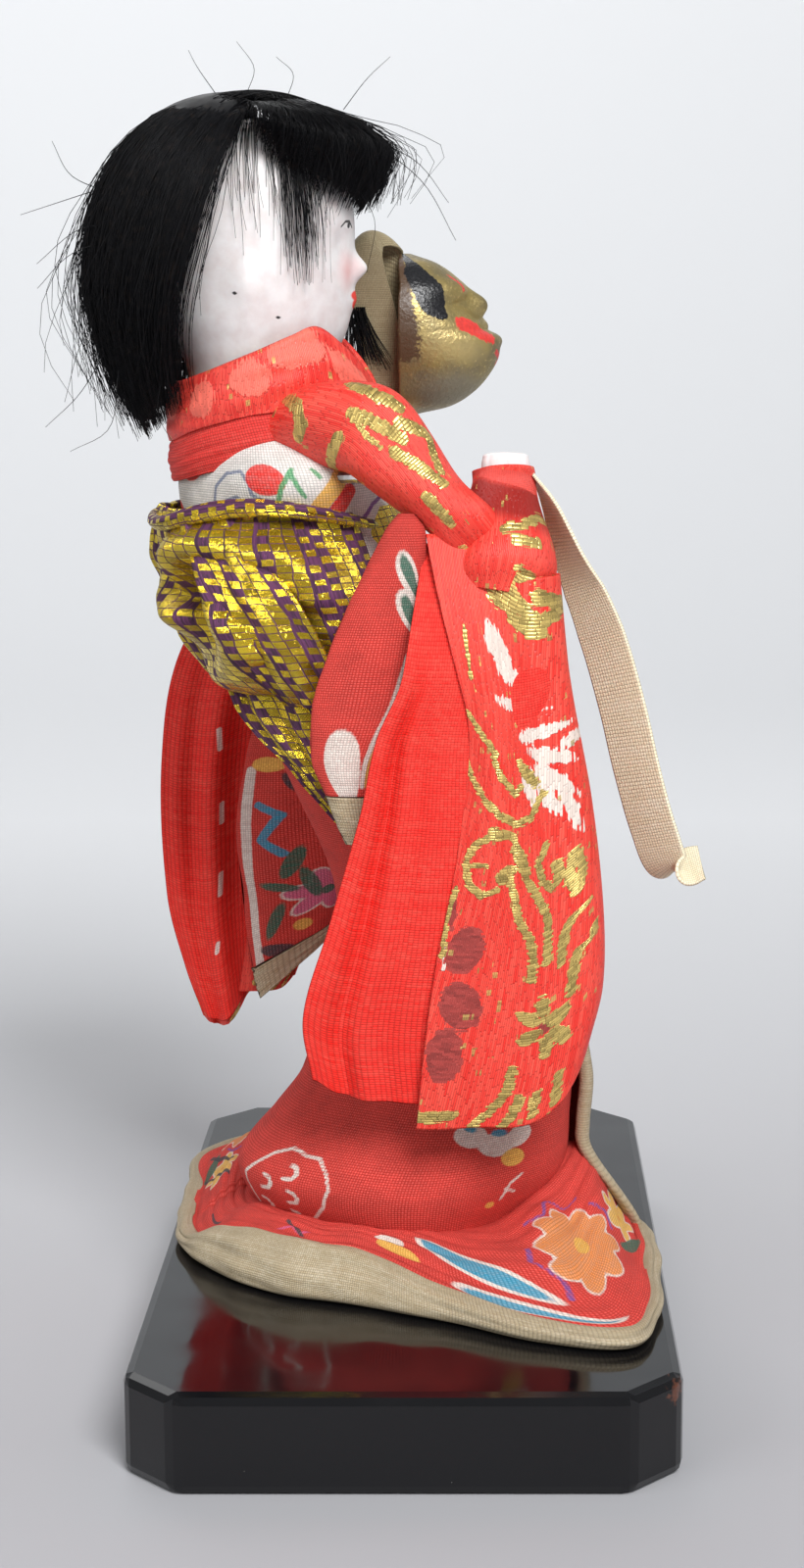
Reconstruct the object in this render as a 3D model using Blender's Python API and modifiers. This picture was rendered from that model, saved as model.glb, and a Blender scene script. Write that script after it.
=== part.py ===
"""A small kimono doll on a black lacquered board, modelled piece by piece in metres, +Z up.

The doll looks along +X. Its right side is -Y and its left side is +Y. The origin is the middle
of the board's underside. The head, with its hair, turns on a neck dowel in the torso block.
"""

import math

import bmesh
import bpy
from mathutils import Vector

# Board
BOARD_WIDTH = 0.066
BOARD_LENGTH = 0.113
BOARD_THICKNESS = 0.0124
BOARD_CORNER = 0.0065
BOARD_EDGE = 0.0013

# Clearances
SEAT_GAP = 0.0003
FIT_GAP = 0.00025
CUT_OVERRUN = 0.002

# Cloth thicknesses
CLOTH = 0.0009
LINING = 0.0007
SATIN = 0.0008
RIBBON = 0.0005
LAME = 0.0011

# Body: leg block and torso block, a leaning form that the kimono wraps
BODY_HEIGHT = 0.1095
BODY_LEAN = 0.0190
BODY_HALF_DEPTH = 0.0193
BODY_HALF_WIDTH = 0.0184
# Height, then lean, half depth and half width, each as a share of its size
BODY_SHARES = (
    (0.000, -0.053, 0.80, 0.815),
    (0.048, -0.053, 0.88, 0.890),
    (0.103, -0.042, 1.00, 1.000),
    (0.158, 0.079, 0.907, 0.935),
    (0.213, 0.184, 0.829, 0.848),
    (0.414, 0.237, 0.674, 0.728),
    (0.587, -0.105, 0.700, 0.717),
    (0.752, -0.579, 0.689, 0.674),
    (0.834, -0.737, 0.674, 0.668),
    (0.889, -0.832, 0.642, 0.652),
    (0.934, -0.895, 0.580, 0.587),
    (0.971, -0.947, 0.487, 0.500),
    (1.000, -0.989, 0.383, 0.402),
)
BODY_SPLIT_SHARE = 0.52
BODY_POINTS = 28
# Heights where every layer round the body has a ring, so that the layers stay parallel
BODY_LEVEL_SHARES = (0.0, 0.03, 0.06, 0.09, 0.12, 0.158, 0.213, 0.28, 0.35, 0.414, 0.5, 0.587, 0.67,
                     0.752, 0.8, 0.845, 0.889, 0.934, 0.971, 1.0)
WAIST_DOWEL_RADIUS = 0.0030
WAIST_DOWEL_LENGTH = 0.0280

# Nails through the board into the leg block
NAIL_RADIUS = 0.0008
NAIL_HEAD_RADIUS = 0.0021
NAIL_HEAD = 0.0008
NAIL_LENGTH = 0.0260
NAIL_RECESS = 0.0007
NAIL_SPREAD = 0.0170

# Head, in one with its thick neck
NECK_X = -0.0195
HEAD_HEIGHT = 0.0369
HEAD_HALF_DEPTH = 0.0126
HEAD_HALF_WIDTH = 0.0119
# Height, then front, back and side reach, as shares of the head's sizes
HEAD_SHARES = (
    (0.000, 0.595, 0.620, 0.630),
    (0.065, 0.635, 0.665, 0.690),
    (0.146, 0.680, 0.715, 0.750),
    (0.209, 0.790, 0.780, 0.810),
    (0.249, 0.873, 0.830, 0.850),
    (0.309, 0.935, 0.897, 0.910),
    (0.390, 0.965, 0.952, 0.958),
    (0.499, 0.980, 0.984, 0.992),
    (0.634, 1.000, 1.000, 1.000),
    (0.743, 0.952, 0.984, 0.966),
    (0.851, 0.790, 0.870, 0.840),
    (0.932, 0.571, 0.660, 0.630),
    (0.981, 0.300, 0.350, 0.336),
    (1.000, 0.040, 0.045, 0.040),
)
HEAD_POINTS = 26
FACE_CROWDING_SHARE = 0.45
CHIN_TAPER_SHARE = 0.16
NOSE_REACH = 0.0017
NOSE_HALF_WIDTH = 0.0014
NOSE_HALF_HEIGHT = 0.0017
NOSE_SHARE = 0.492
EYE_HOLLOW = 0.0007
EYE_SIZE = 0.0022
EYE_APART = 0.0046
EYE_SHARE = 0.575
LIP_REACH = 0.0005
LIP_SIZE = 0.0014
LIP_SHARE = 0.385
NECK_DOWEL_RADIUS = 0.0030
NECK_DOWEL_SOCKET = 0.0120
NECK_DOWEL_TENON = 0.0110

# Hair
HAIR_HEIGHT = 0.0410
HAIR_RISE = 0.0027
HAIR_HALF_DEPTH = 0.0206
HAIR_HALF_WIDTH = 0.0152
HAIR_SCALP_GAP = 0.0004
HAIR_INNER_RADIUS = 0.0127
HAIR_BACK_ANGLE = math.radians(92)
HAIR_TIP_ANGLE = math.radians(52)
# Way down from the crown, then the outer reach and the drop, as shares of the hair's sizes
HAIR_SHARES = (
    (0.00, 0.04, 0.000),
    (0.10, 0.36, 0.016),
    (0.20, 0.60, 0.066),
    (0.32, 0.80, 0.170),
    (0.45, 0.93, 0.305),
    (0.60, 1.00, 0.480),
    (0.75, 0.985, 0.650),
    (0.90, 0.87, 0.835),
    (1.00, 0.75, 0.975),
)
HAIR_TIP_LIFT = 0.0035
FRINGE_ANGLE = math.radians(84)
FRINGE_TOP_DROP = 0.0009
FRINGE_TIP_REACH = 0.0168
FRINGE_TIP_DROP = 0.0070
FRINGE_EDGE_DROP = 0.0133
FRINGE_EDGE_THICKNESS = 0.0008
FRINGE_SIDE_LIFT = 0.0075
FRINGE_SIDE_TUCK = 0.0028
FRINGE_SIDE_RISE = 0.0035
LOCK_WIDTH = 0.0032
LOCK_THICKNESS = 0.0005
LOCK_LENGTH = 0.0130
LOCK_ANGLE = math.radians(56)
LOCK_TOP_SHARE = 0.755

# Hem, a ring of padded cloth on the board, by its reach at each angle
HEM_REACH = 0.0515
HEM_REACH_SHARES = (
    (-165, 0.602),
    (-140, 0.592),
    (-120, 0.583),
    (-105, 0.575),
    (-90, 0.625),
    (-78, 0.714),
    (-66, 0.864),
    (-56, 1.000),
    (-47, 0.930),
    (-35, 0.757),
    (-18, 0.630),
    (0, 0.540),
    (20, 0.500),
    (38, 0.560),
    (55, 0.660),
    (72, 0.700),
    (90, 0.700),
    (108, 0.725),
    (125, 0.795),
    (140, 0.790),
    (158, 0.650),
    (178, 0.602),
)
HEM_POINTS = 40
HEM_NECK_HEIGHT = 0.0050
HEM_EDGE_HEIGHT = 0.0027
HEM_PUFF = 0.0010
HEM_REAR_PUFF = 0.0028
HEM_REAR_ANGLE = math.radians(142)
HEM_REAR_SPREAD = math.radians(40)
HEM_WAVE = 0.0006
HEM_WAVES = 7
HEM_WAVE_START = 0.6
HEM_PUFF_END_SHARE = 0.8
HEM_FALL_POWER = 1.6
HEM_TUCK = 0.0008
HEM_TUCK_SHARE = 0.2
HEM_LINING_SHOWS = 0.0011
HEM_LINING_LIFT = 0.0009
HEM_LINING_INNER_SHARE = 0.62
HEM_LINING_LIFT_SHARE = 0.8

# Skirt, front overlap and bodice
SKIRT_FOOT_HEIGHT = 0.0062
SKIRT_FOLD = 0.0007
SKIRT_FOLDS = 5
WAIST_SHARE = 0.655
BODICE_TOP_SHARE = 0.985
OVERLAP_ANGLE = math.radians(20)
OVERLAP_HALF_ANGLE = math.radians(34)
OVERLAP_FOOT_SHARE = 0.075
OVERLAP_FLARE = 0.0022

# Obi
OBI_TOP_SHARE = 0.885
OBI_BOTTOM_SHARE = 0.690
OBI_TILT = 0.0014
LOOP_RIGHT_PUFF = 0.0050
LOOP_LEFT_PUFF = 0.0040
LOOP_RIGHT_END = math.radians(304)
LOOP_LEFT_END = math.radians(104)
LOOP_TOP_SHARE = 0.894
LOOP_BOTTOM_SHARE = 0.686
LOOP_FOLD = 0.0007
TIE_HALF_ANGLE = math.radians(11)
TIE_CLEARANCE = math.radians(1.5)
TIE_TOP_SHARE = 0.874
TIE_BOTTOM_SHARE = 0.716
TIE_PUFF = 0.0026
TAIL_TOP_SHARE = 0.675
TAIL_TIP_SHARE = 0.527
TAIL_TOP_ANGLES = (math.radians(202), math.radians(268))
TAIL_TIP_ANGLES = (math.radians(236), math.radians(246))
TAIL_FOLD = 0.0005

# Collars round the neck: angle from the front in degrees, top and bottom heights as shares of the
# collar's height above its foot, and the inner reach there as shares of its radius
COLLAR_FOOT_SHARE = 0.936
COLLAR_HEIGHT = 0.0175
COLLAR_RADIUS = 0.0122
COLLAR_SHARES = (
    (0, 0.46, 0.13, 1.23, 1.37),
    (20, 0.70, 0.20, 1.16, 1.32),
    (35, 0.89, 0.28, 1.06, 1.24),
    (50, 1.00, 0.32, 1.01, 1.16),
    (65, 0.94, 0.29, 1.00, 1.09),
    (90, 0.81, 0.21, 0.98, 1.03),
    (120, 0.68, 0.12, 0.92, 0.95),
    (150, 0.61, 0.03, 0.86, 0.88),
    (180, 0.60, 0.00, 0.85, 0.87),
)
COLLAR_POINTS = 32
INNER_COLLAR = 0.0005
INNER_COLLAR_RISE = 0.0007
INNER_COLLAR_HEIGHT = 0.0052
INNER_COLLAR_DIP_SHARE = 0.22
UNDER_COLLAR_HEIGHT = 0.0032
UNDER_COLLAR_FLARE = 0.0002

# Arms: one wire through the torso, its route from the torso's middle line to each hand
ARM_X = -0.0130
ARM_SHARE = 0.913
ARM_REACH = 0.0252
ARM_SPREAD = 0.0200
ARM_DROP = 0.0070
ARM_RIGHT_SHARES = (
    (0.00, 0.00, 0.00),
    (0.00, -0.40, 0.05),
    (0.12, -0.68, 0.30),
    (0.45, -0.88, 0.25),
    (0.78, -0.99, -0.45),
    (0.95, -0.97, -0.95),
    (1.00, -0.88, -0.62),
    (1.00, -0.82, -0.15),
)
ARM_LEFT_SHARES = (
    (0.00, 0.00, 0.00),
    (0.00, 0.40, 0.05),
    (0.04, 0.78, -0.05),
    (0.12, 1.14, -0.75),
    (0.26, 1.22, -0.80),
    (0.38, 1.12, -0.30),
    (0.42, 1.02, 0.23),
)
WIRE_RADIUS = 0.0007
WIRE_STEP_COUNT = 2

# Upper sleeves and cuffs: stations with a centre as for the wire, and half sizes across and up
UPPER_SLEEVE_RADIUS = 0.0062
UPPER_RIGHT_STATION_SHARES = (
    (-0.10, -0.40, 0.60, 0.95),
    (0.10, -0.68, 0.74, 1.14),
    (0.32, -0.86, 0.68, 1.10),
    (0.58, -0.99, 0.34, 1.02),
    (0.80, -1.05, -0.30, 0.95),
    (0.92, -1.08, -0.72, 0.88),
)
UPPER_LEFT_STATION_SHARES = (
    (-0.10, 0.40, 0.60, 0.95),
    (0.00, 0.74, 0.60, 1.08),
    (0.06, 1.02, 0.10, 1.00),
    (0.13, 1.20, -0.55, 0.98),
    (0.17, 1.24, -0.80, 0.90),
)
SLEEVE_FLATNESS_SHARE = 0.86
SLEEVE_POINTS = 16
STEEP_SHARE = 0.5
CUFF_RADIUS = 0.0062
CUFF_DOOR_RADIUS = 0.0022
CUFF_RIGHT_STATION_SHARES = (
    (0.955, -1.12, -1.62, 1.22),
    (0.985, -1.06, -1.10, 1.12),
    (1.015, -0.94, -0.36, 0.95),
    (1.010, -0.85, 0.20, 0.88),
    (1.006, -0.83, 0.50, 0.86),
)
CUFF_LEFT_STATION_SHARES = (
    (0.27, 1.22, -1.66, 1.10),
    (0.30, 1.17, -0.75, 1.04),
    (0.37, 1.08, -0.10, 0.90),
    (0.41, 1.03, 0.22, 0.78),
)
HAND_LENGTH = 0.0085
HAND_WIDTH = 0.0050
HAND_THICKNESS = 0.0028
HAND_SEAT_SHARE = 0.25
# Way along the palm, then its half width and half thickness as shares of the hand's
PALM_SHARES = (
    (0.00, 0.64, 1.09),
    (0.15, 0.67, 1.09),
    (0.35, 0.90, 1.00),
    (0.55, 1.00, 1.00),
    (0.66, 0.96, 0.80),
)
PALM_POINTS = 12
FINGER_BASE_SHARE = 0.55
FINGER_LENGTH_SHARES = (0.45, 0.50, 0.47, 0.36)
FINGER_APART_SHARE = 0.5
FINGER_SPREAD_SHARE = 0.12
FINGER_RADIUS_SHARE = 0.29
FINGER_TIP_SHARE = 0.6
# Thumb: way along the hand and way across it, at its base and at its tip
THUMB_BASE_SHARES = (0.32, 0.60)
THUMB_TIP_SHARES = (0.72, 1.15)
THUMB_RADIUS_SHARE = 0.30
THUMB_TIP_RADIUS_SHARE = 0.20

# Hanging sleeves, each a panel folded round its front edge: at each drop share the rear edge, the
# front fold, the far rear edge, and the outer and inner faces, as shares of reach and spread
SLEEVE_RIGHT_DROP = 0.0655
SLEEVE_LEFT_DROP = 0.0700
SLEEVE_REACH = 0.0250
SLEEVE_SPREAD = 0.0300
SLEEVE_RIGHT_HANG = 0.01237
SLEEVE_LEFT_HANG = 0.01062
SLEEVE_RIGHT_SHARES = (
    (0.00, 0.10, 0.74, 0.20, -0.905, -0.625),
    (0.20, 0.30, 0.80, 0.22, -0.960, -0.630),
    (0.45, 0.26, 0.90, 0.20, -0.985, -0.640),
    (0.70, 0.14, 0.96, 0.14, -0.980, -0.655),
    (0.88, 0.08, 0.96, 0.10, -0.965, -0.680),
    (1.00, 0.05, 0.90, 0.10, -0.945, -0.720),
)
SLEEVE_RIGHT_LINING_SHARES = (
    (0.00, 0.02, 0.74, 0.30, -0.905, -0.625),
    (0.20, -0.05, 0.80, 0.32, -0.960, -0.630),
    (0.45, -0.16, 0.90, 0.28, -0.985, -0.640),
    (0.70, -0.36, 0.96, 0.20, -0.980, -0.655),
    (0.88, -0.49, 0.96, 0.16, -0.965, -0.680),
    (1.00, -0.48, 0.90, 0.16, -0.945, -0.720),
)
SLEEVE_LEFT_SHARES = (
    (0.00, -0.92, -0.16, -0.62, 1.020, 0.720),
    (0.22, -1.34, -0.20, -0.66, 1.060, 0.690),
    (0.45, -1.47, -0.26, -0.70, 1.070, 0.690),
    (0.75, -1.46, -0.36, -0.76, 1.040, 0.700),
    (0.90, -1.36, -0.44, -0.80, 1.000, 0.720),
    (1.00, -1.26, -0.52, -0.84, 0.980, 0.740),
)
SLEEVE_COLUMNS = 16
SLEEVE_ROWS = 8
SLEEVE_FRONT_LIFT = 0.0085
SLEEVE_REAR_RISE = 0.0050
SLEEVE_FOLD = 0.0016
SLEEVE_LINING_INSET = 0.0011
SLEEVE_CORNER_SHARE = 0.28

# Printed under-sleeves: drop share, centre and half width along X, half thickness, as shares
UNDER_SLEEVE_RIGHT_DROP = 0.0370
UNDER_SLEEVE_LEFT_DROP = 0.05365
UNDER_SLEEVE_END_SHARE = 0.93
UNDER_SLEEVE_POINTS = 14
UNDER_SLEEVE_HALF_WIDTH = 0.0058
UNDER_SLEEVE_HALF_THICKNESS = 0.0017
UNDER_SLEEVE_LEFT_SHARES = (
    (0.00, 0.20, 0.30, 0.60),
    (0.14, -0.30, 0.60, 0.90),
    (0.36, -1.10, 0.85, 1.00),
    (0.58, -1.45, 1.00, 1.00),
    (0.78, -1.50, 0.90, 0.90),
    (0.93, -1.30, 0.60, 0.70),
    (1.00, -1.20, 0.40, 0.50),
)
UNDER_SLEEVE_RIGHT_SHARES = (
    (0.00, 0.28, 0.35, 0.60),
    (0.14, 0.20, 0.72, 0.90),
    (0.36, -0.22, 0.95, 1.00),
    (0.58, -0.64, 1.00, 1.00),
    (0.78, -0.84, 0.78, 0.85),
    (0.93, -0.72, 0.46, 0.60),
    (1.00, -0.66, 0.30, 0.45),
)
UNDER_SLEEVE_RIGHT = (-0.0020, -0.0224)
UNDER_SLEEVE_RIGHT_HANG = 0.0058
UNDER_SLEEVE_LEFT = (-0.0115, 0.0277)
UNDER_SLEEVE_LEFT_HANG = 0.01172

# Mask, hollow behind
MASK_HEIGHT = 0.0205
MASK_HALF_WIDTH = 0.0082
MASK_DEPTH = 0.0130
MASK_WALL = 0.0011
# The foot of the mask's back edge, from the end of the left arm's wire
MASK_AHEAD = 0.0006
MASK_ASIDE = -0.0004
MASK_ABOVE = 0.0077
# Way down from the top, then the front reach and the half width as shares
MASK_SHARES = (
    (0.00, 0.10, 0.10),
    (0.06, 0.37, 0.52),
    (0.16, 0.58, 0.78),
    (0.26, 0.66, 0.92),
    (0.34, 0.69, 0.98),
    (0.42, 0.80, 1.00),
    (0.50, 0.97, 1.00),
    (0.62, 1.00, 0.94),
    (0.74, 0.91, 0.83),
    (0.86, 0.74, 0.66),
    (0.95, 0.50, 0.42),
    (1.00, 0.16, 0.12),
)
MASK_NOSE_REACH = 0.0024
MASK_NOSE_SIZE = 0.0016
MASK_NOSE_SHARE = 0.31
MASK_BROW_REACH = 0.0009
MASK_BROW_SHARE = 0.21
MASK_BROW_APART = 0.0038
MASK_LIP_GROOVE = 0.0009
MASK_LIP_SHARE = 0.485
MASK_COLUMNS = 16
MASK_ROWS = 14
TUFT_LENGTH = 0.0075
TUFT_RADIUS = 0.0013
# Where the tuft starts, across the ribbon behind the mask and down it
TUFT_ACROSS_SHARE = 0.25
TUFT_DOWN_SHARE = 0.55

# Ribbons
RIBBON_WIDTH = 0.0070
MASK_RIBBON_WIDTH = 0.0062
MASK_RIBBON_BULGE = 0.0052
# Way down the mask's ribbon, then its bulge and its height as shares of the mask's
MASK_RIBBON_SHARES = (
    (0.00, 0.00, 0.97),
    (0.08, 0.30, 1.12),
    (0.16, 0.75, 1.15),
    (0.26, 1.00, 1.05),
    (0.45, 0.85, 0.80),
    (0.65, 0.62, 0.50),
    (0.82, 0.42, 0.24),
    (0.93, 0.24, 0.06),
    (1.00, 0.00, -0.065),
)
HAND_RIBBON_DROP = 0.0490
HAND_RIBBON_REACH = 0.0220
# How far its flat side turns to the doll's right below the hand, and where it has turned and opened
HAND_RIBBON_TURN = math.radians(53)
HAND_RIBBON_TURN_SHARE = 0.3
HAND_RIBBON_KNOT_SHARE = 0.62
HAND_RIBBON_OPEN_SHARE = 0.4
# Way down the ribbon as reach, side step and drop shares, chosen by hand
HAND_RIBBON_SHARES = (
    (0.00, 0.00, -0.085),
    (0.165, 0.03, -0.060),
    (0.37, 0.06, 0.13),
    (0.577, 0.04, 0.30),
    (0.69, 0.02, 0.475),
    (0.76, 0.02, 0.68),
    (0.82, 0.02, 0.884),
    (0.86, 0.02, 0.98),
    (0.94, 0.02, 0.955),
)

BOARD_TOP = BOARD_THICKNESS
BODY_FOOT = BOARD_TOP + SEAT_GAP
BODY_TOP = BODY_FOOT + BODY_HEIGHT
NECK_Z = BODY_TOP + SEAT_GAP
BACK = math.pi
FULL_TURN = math.tau


def shade(name, colour, roughness, metallic=0.0):
    """A Principled material in one colour."""
    material = bpy.data.materials.new(name)
    material.use_nodes = True
    bsdf = material.node_tree.nodes["Principled BSDF"]
    bsdf.inputs["Base Color"].default_value = (*colour, 1.0)
    bsdf.inputs["Roughness"].default_value = roughness
    bsdf.inputs["Metallic"].default_value = metallic
    material.diffuse_color = (*colour, 1.0)
    return material


def along(rows, t):
    """The other columns of a table at t, on a smooth curve through its rows."""
    t = min(max(t, rows[0][0]), rows[-1][0])
    i = 0
    while i < len(rows) - 2 and t > rows[i + 1][0]:
        i += 1
    low, high = rows[i], rows[i + 1]
    before = rows[max(i - 1, 0)]
    after = rows[min(i + 2, len(rows) - 1)]
    span = high[0] - low[0]
    s = (t - low[0]) / span
    values = []
    for k in range(1, len(low)):
        slope_low = (high[k] - before[k]) / (high[0] - before[0]) * span
        slope_high = (after[k] - low[k]) / (after[0] - low[0]) * span
        values.append(
            (2 * s**3 - 3 * s**2 + 1) * low[k]
            + (s**3 - 2 * s**2 + s) * slope_low
            + (3 * s**2 - 2 * s**3) * high[k]
            + (s**3 - s**2) * slope_high
        )
    return values


def smooth_path(points, steps):
    """Points on a smooth curve through the given ones, with so many steps between each two."""
    rows = [(float(i), *point) for i, point in enumerate(points)]
    count = (len(points) - 1) * steps
    return [Vector(along(rows, i / steps)) for i in range(count + 1)]


def bump(distance, size):
    """A round bump, 1 at its middle, that fades over its size."""
    return math.exp(-((distance / size) ** 2))


def link(obj, collection, material=None):
    """Put an object in a collection and give it a material."""
    collection.objects.link(obj)
    if material:
        obj.data.materials.append(material)
    return obj


def finish(name, bm, collection, material=None):
    """Turn a closed bmesh into an object with outward faces and smooth shading."""
    bmesh.ops.recalc_face_normals(bm, faces=bm.faces)
    mesh = bpy.data.meshes.new(name)
    bm.to_mesh(mesh)
    bm.free()
    mesh.shade_smooth()
    mesh.set_sharp_from_angle(angle=math.radians(40))
    return link(bpy.data.objects.new(name, mesh), collection, material)


def loft(name, rings, collection, material=None, closed=False):
    """A solid through rings of unlike shape, capped at both ends or closed on itself."""
    bm = bmesh.new()
    loops = [[bm.verts.new(point) for point in ring] for ring in rings]
    count = len(loops[0])
    pairs = list(zip(loops, loops[1:]))
    if closed:
        pairs.append((loops[-1], loops[0]))
    else:
        bm.faces.new(loops[0])
        bm.faces.new(loops[-1])
    for low, high in pairs:
        for i in range(count):
            j = (i + 1) % count
            bm.faces.new((low[i], low[j], high[j], high[i]))
    return finish(name, bm, collection, material)


def wall_loft(name, outer, inner, collection, material=None):
    """A tube with a wall, from its outer rings and its inner rings, both bottom to top."""
    return loft(name, list(outer) + list(reversed(inner)), collection, material, closed=True)


def panel(name, columns, rows, place, thickness, collection, material, ring=False):
    """A sheet of cloth: a grid whose points place puts, thickened by Solidify."""
    bm = bmesh.new()
    bmesh.ops.create_grid(bm, x_segments=columns, y_segments=rows, size=0.5)
    for vert in bm.verts:
        vert.co = place(vert.co.x + 0.5, 0.5 - vert.co.y)
    if ring:
        bmesh.ops.remove_doubles(bm, verts=bm.verts, dist=SEAT_GAP * SEAT_GAP)
    bmesh.ops.recalc_face_normals(bm, faces=bm.faces)
    mesh = bpy.data.meshes.new(name)
    bm.to_mesh(mesh)
    bm.free()
    mesh.shade_smooth()
    obj = link(bpy.data.objects.new(name, mesh), collection, material)
    wall = obj.modifiers.new("thickness", "SOLIDIFY")
    wall.thickness = thickness
    wall.offset = 0.0
    wall.use_even_offset = True
    return obj


def shell_between(name, columns, rows, outer, inner, collection, material):
    """A closed shell between an outer and an inner sheet that are placed alike."""
    bm = bmesh.new()
    sheets = []
    for place in (outer, inner):
        sheet = [
            [bm.verts.new(place(i / columns, j / rows)) for i in range(columns + 1)]
            for j in range(rows + 1)
        ]
        for j in range(rows):
            for i in range(columns):
                bm.faces.new((sheet[j][i], sheet[j][i + 1], sheet[j + 1][i + 1], sheet[j + 1][i]))
        rim = sheet[0][:-1]
        rim += [row[-1] for row in sheet[:-1]]
        rim += sheet[-1][:0:-1]
        rim += [row[0] for row in sheet[:0:-1]]
        sheets.append(rim)
    out, into = sheets
    for i in range(len(out)):
        j = (i + 1) % len(out)
        bm.faces.new((out[i], out[j], into[j], into[i]))
    return finish(name, bm, collection, material)


def cylinder(name, radius, start, end, collection, material=None, sides=20, top_radius=None):
    """A capped cylinder or cone between two points."""
    axis = Vector(end) - Vector(start)
    bm = bmesh.new()
    bmesh.ops.create_cone(
        bm,
        cap_ends=True,
        segments=sides,
        radius1=radius,
        radius2=radius if top_radius is None else top_radius,
        depth=axis.length,
    )
    turn = axis.to_track_quat("Z", "Y").to_matrix().to_4x4()
    turn.translation = (Vector(start) + Vector(end)) / 2
    bmesh.ops.transform(bm, matrix=turn, verts=bm.verts)
    return finish(name, bm, collection, material)


def tube(name, points, radius, collection, material=None):
    """A round wire along points, made as a bevelled curve and kept as a mesh."""
    curve = bpy.data.curves.new(name, "CURVE")
    curve.dimensions = "3D"
    curve.bevel_depth = radius
    curve.bevel_resolution = 2
    curve.use_fill_caps = True
    spline = curve.splines.new("POLY")
    spline.points.add(len(points) - 1)
    for spot, point in zip(spline.points, points):
        spot.co = (*point, 1.0)
    guide = bpy.data.objects.new(name + "_route", curve)
    bpy.context.scene.collection.objects.link(guide)
    bpy.context.view_layer.update()
    mesh = bpy.data.meshes.new_from_object(guide.evaluated_get(bpy.context.evaluated_depsgraph_get()))
    bpy.data.objects.remove(guide)
    bm = bmesh.new()
    bm.from_mesh(mesh)
    bmesh.ops.remove_doubles(bm, verts=bm.verts, dist=radius / 100)
    bpy.data.meshes.remove(mesh)
    return finish(name, bm, collection, material)


def cut(obj, *tools):
    """Take the tools out of an object with Boolean modifiers."""
    for tool in tools:
        tool.hide_render = True
        tool.display_type = "WIRE"
        change = obj.modifiers.new("cut_" + tool.name, "BOOLEAN")
        change.operation = "DIFFERENCE"
        change.solver = "EXACT"
        change.object = tool


def join(obj, *others):
    """Add other solids to an object with Boolean modifiers."""
    for other in others:
        other.hide_render = True
        other.display_type = "WIRE"
        change = obj.modifiers.new("join_" + other.name, "BOOLEAN")
        change.operation = "UNION"
        change.solver = "EXACT"
        change.object = other


def body_z(share):
    """A height on the body block."""
    return BODY_FOOT + share * BODY_HEIGHT


def body_point(z, angle, offset=0.0):
    """A point at an angle round the body block, so far outside its surface."""
    lean, depth, width = along(BODY_SHARES, (z - BODY_FOOT) / BODY_HEIGHT)
    x = lean * BODY_LEAN + (depth * BODY_HALF_DEPTH + offset) * math.cos(angle)
    y = (width * BODY_HALF_WIDTH + offset) * math.sin(angle)
    return Vector((x, y, z))


def body_ring(z, offset=0.0, fold=None, count=BODY_POINTS):
    """A ring round the body, with an added fold at each angle if one is given."""
    ring = []
    for i in range(count):
        angle = FULL_TURN * i / count
        extra = fold(angle) if fold else 0.0
        ring.append(body_point(z, angle, offset + extra))
    return ring


def levels_between(low, high):
    """Heights from low to high by way of the body's own levels between them."""
    edge = SEAT_GAP * 2
    return [low] + [z for z in map(body_z, BODY_LEVEL_SHARES) if low + edge < z < high - edge] + [high]


def heights(low, high, count):
    """Evenly spaced heights from low to high."""
    return [low + (high - low) * i / (count - 1) for i in range(count)]


def arm_height():
    """The height where the arm wire goes through the torso."""
    return body_z(ARM_SHARE)


def arm_point(shares):
    """A point on an arm, from its shares of reach, spread and drop."""
    x, y, z = shares
    return Vector((ARM_X + x * ARM_REACH, y * ARM_SPREAD, arm_height() + z * ARM_DROP))


def arm_route(shares):
    """The route of the arm wire from the torso's middle to one hand."""
    return smooth_path([arm_point(row) for row in shares], WIRE_STEP_COUNT)


def build_board(parts, cutters, lacquer, steel):
    """The lacquered board with its nail holes, and the two nails."""
    bm = bmesh.new()
    bmesh.ops.create_cube(bm, size=1.0)
    bmesh.ops.scale(bm, vec=(BOARD_WIDTH, BOARD_LENGTH, BOARD_THICKNESS), verts=bm.verts)
    bmesh.ops.translate(bm, vec=(0, 0, BOARD_THICKNESS / 2), verts=bm.verts)
    upright = [edge for edge in bm.edges if abs(edge.verts[0].co.z - edge.verts[1].co.z) > BOARD_EDGE]
    bmesh.ops.bevel(bm, geom=upright, offset=BOARD_CORNER, affect="EDGES", segments=1, profile=0.5)
    board = finish("lacquered_board", bm, parts, lacquer)
    edge = board.modifiers.new("edge", "BEVEL")
    edge.width = BOARD_EDGE
    edge.segments = 2
    edge.limit_method = "ANGLE"
    edge.angle_limit = math.radians(30)

    for side, label in ((-1, "right"), (1, "left")):
        x = body_point(BODY_FOOT, 0).x / 2 + body_point(BODY_FOOT, BACK).x / 2
        y = side * NAIL_SPREAD / 2
        foot = NAIL_RECESS
        tip = foot + NAIL_LENGTH
        nail = cylinder(f"foot_nail_{label}", NAIL_HEAD_RADIUS, (x, y, foot), (x, y, foot + NAIL_HEAD),
                        parts, steel)
        shank = cylinder(f"nail_shank_{label}", NAIL_RADIUS, (x, y, foot + NAIL_HEAD / 2), (x, y, tip),
                         cutters, sides=12)
        join(nail, shank)
        hole = cylinder(f"nail_hole_{label}", NAIL_RADIUS + FIT_GAP, (x, y, -CUT_OVERRUN),
                        (x, y, tip + SEAT_GAP), cutters, sides=12)
        sink = cylinder(f"nail_sink_{label}", NAIL_HEAD_RADIUS + FIT_GAP, (x, y, -CUT_OVERRUN),
                        (x, y, foot + NAIL_HEAD + SEAT_GAP), cutters)
        cut(board, hole, sink)
    return board


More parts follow.
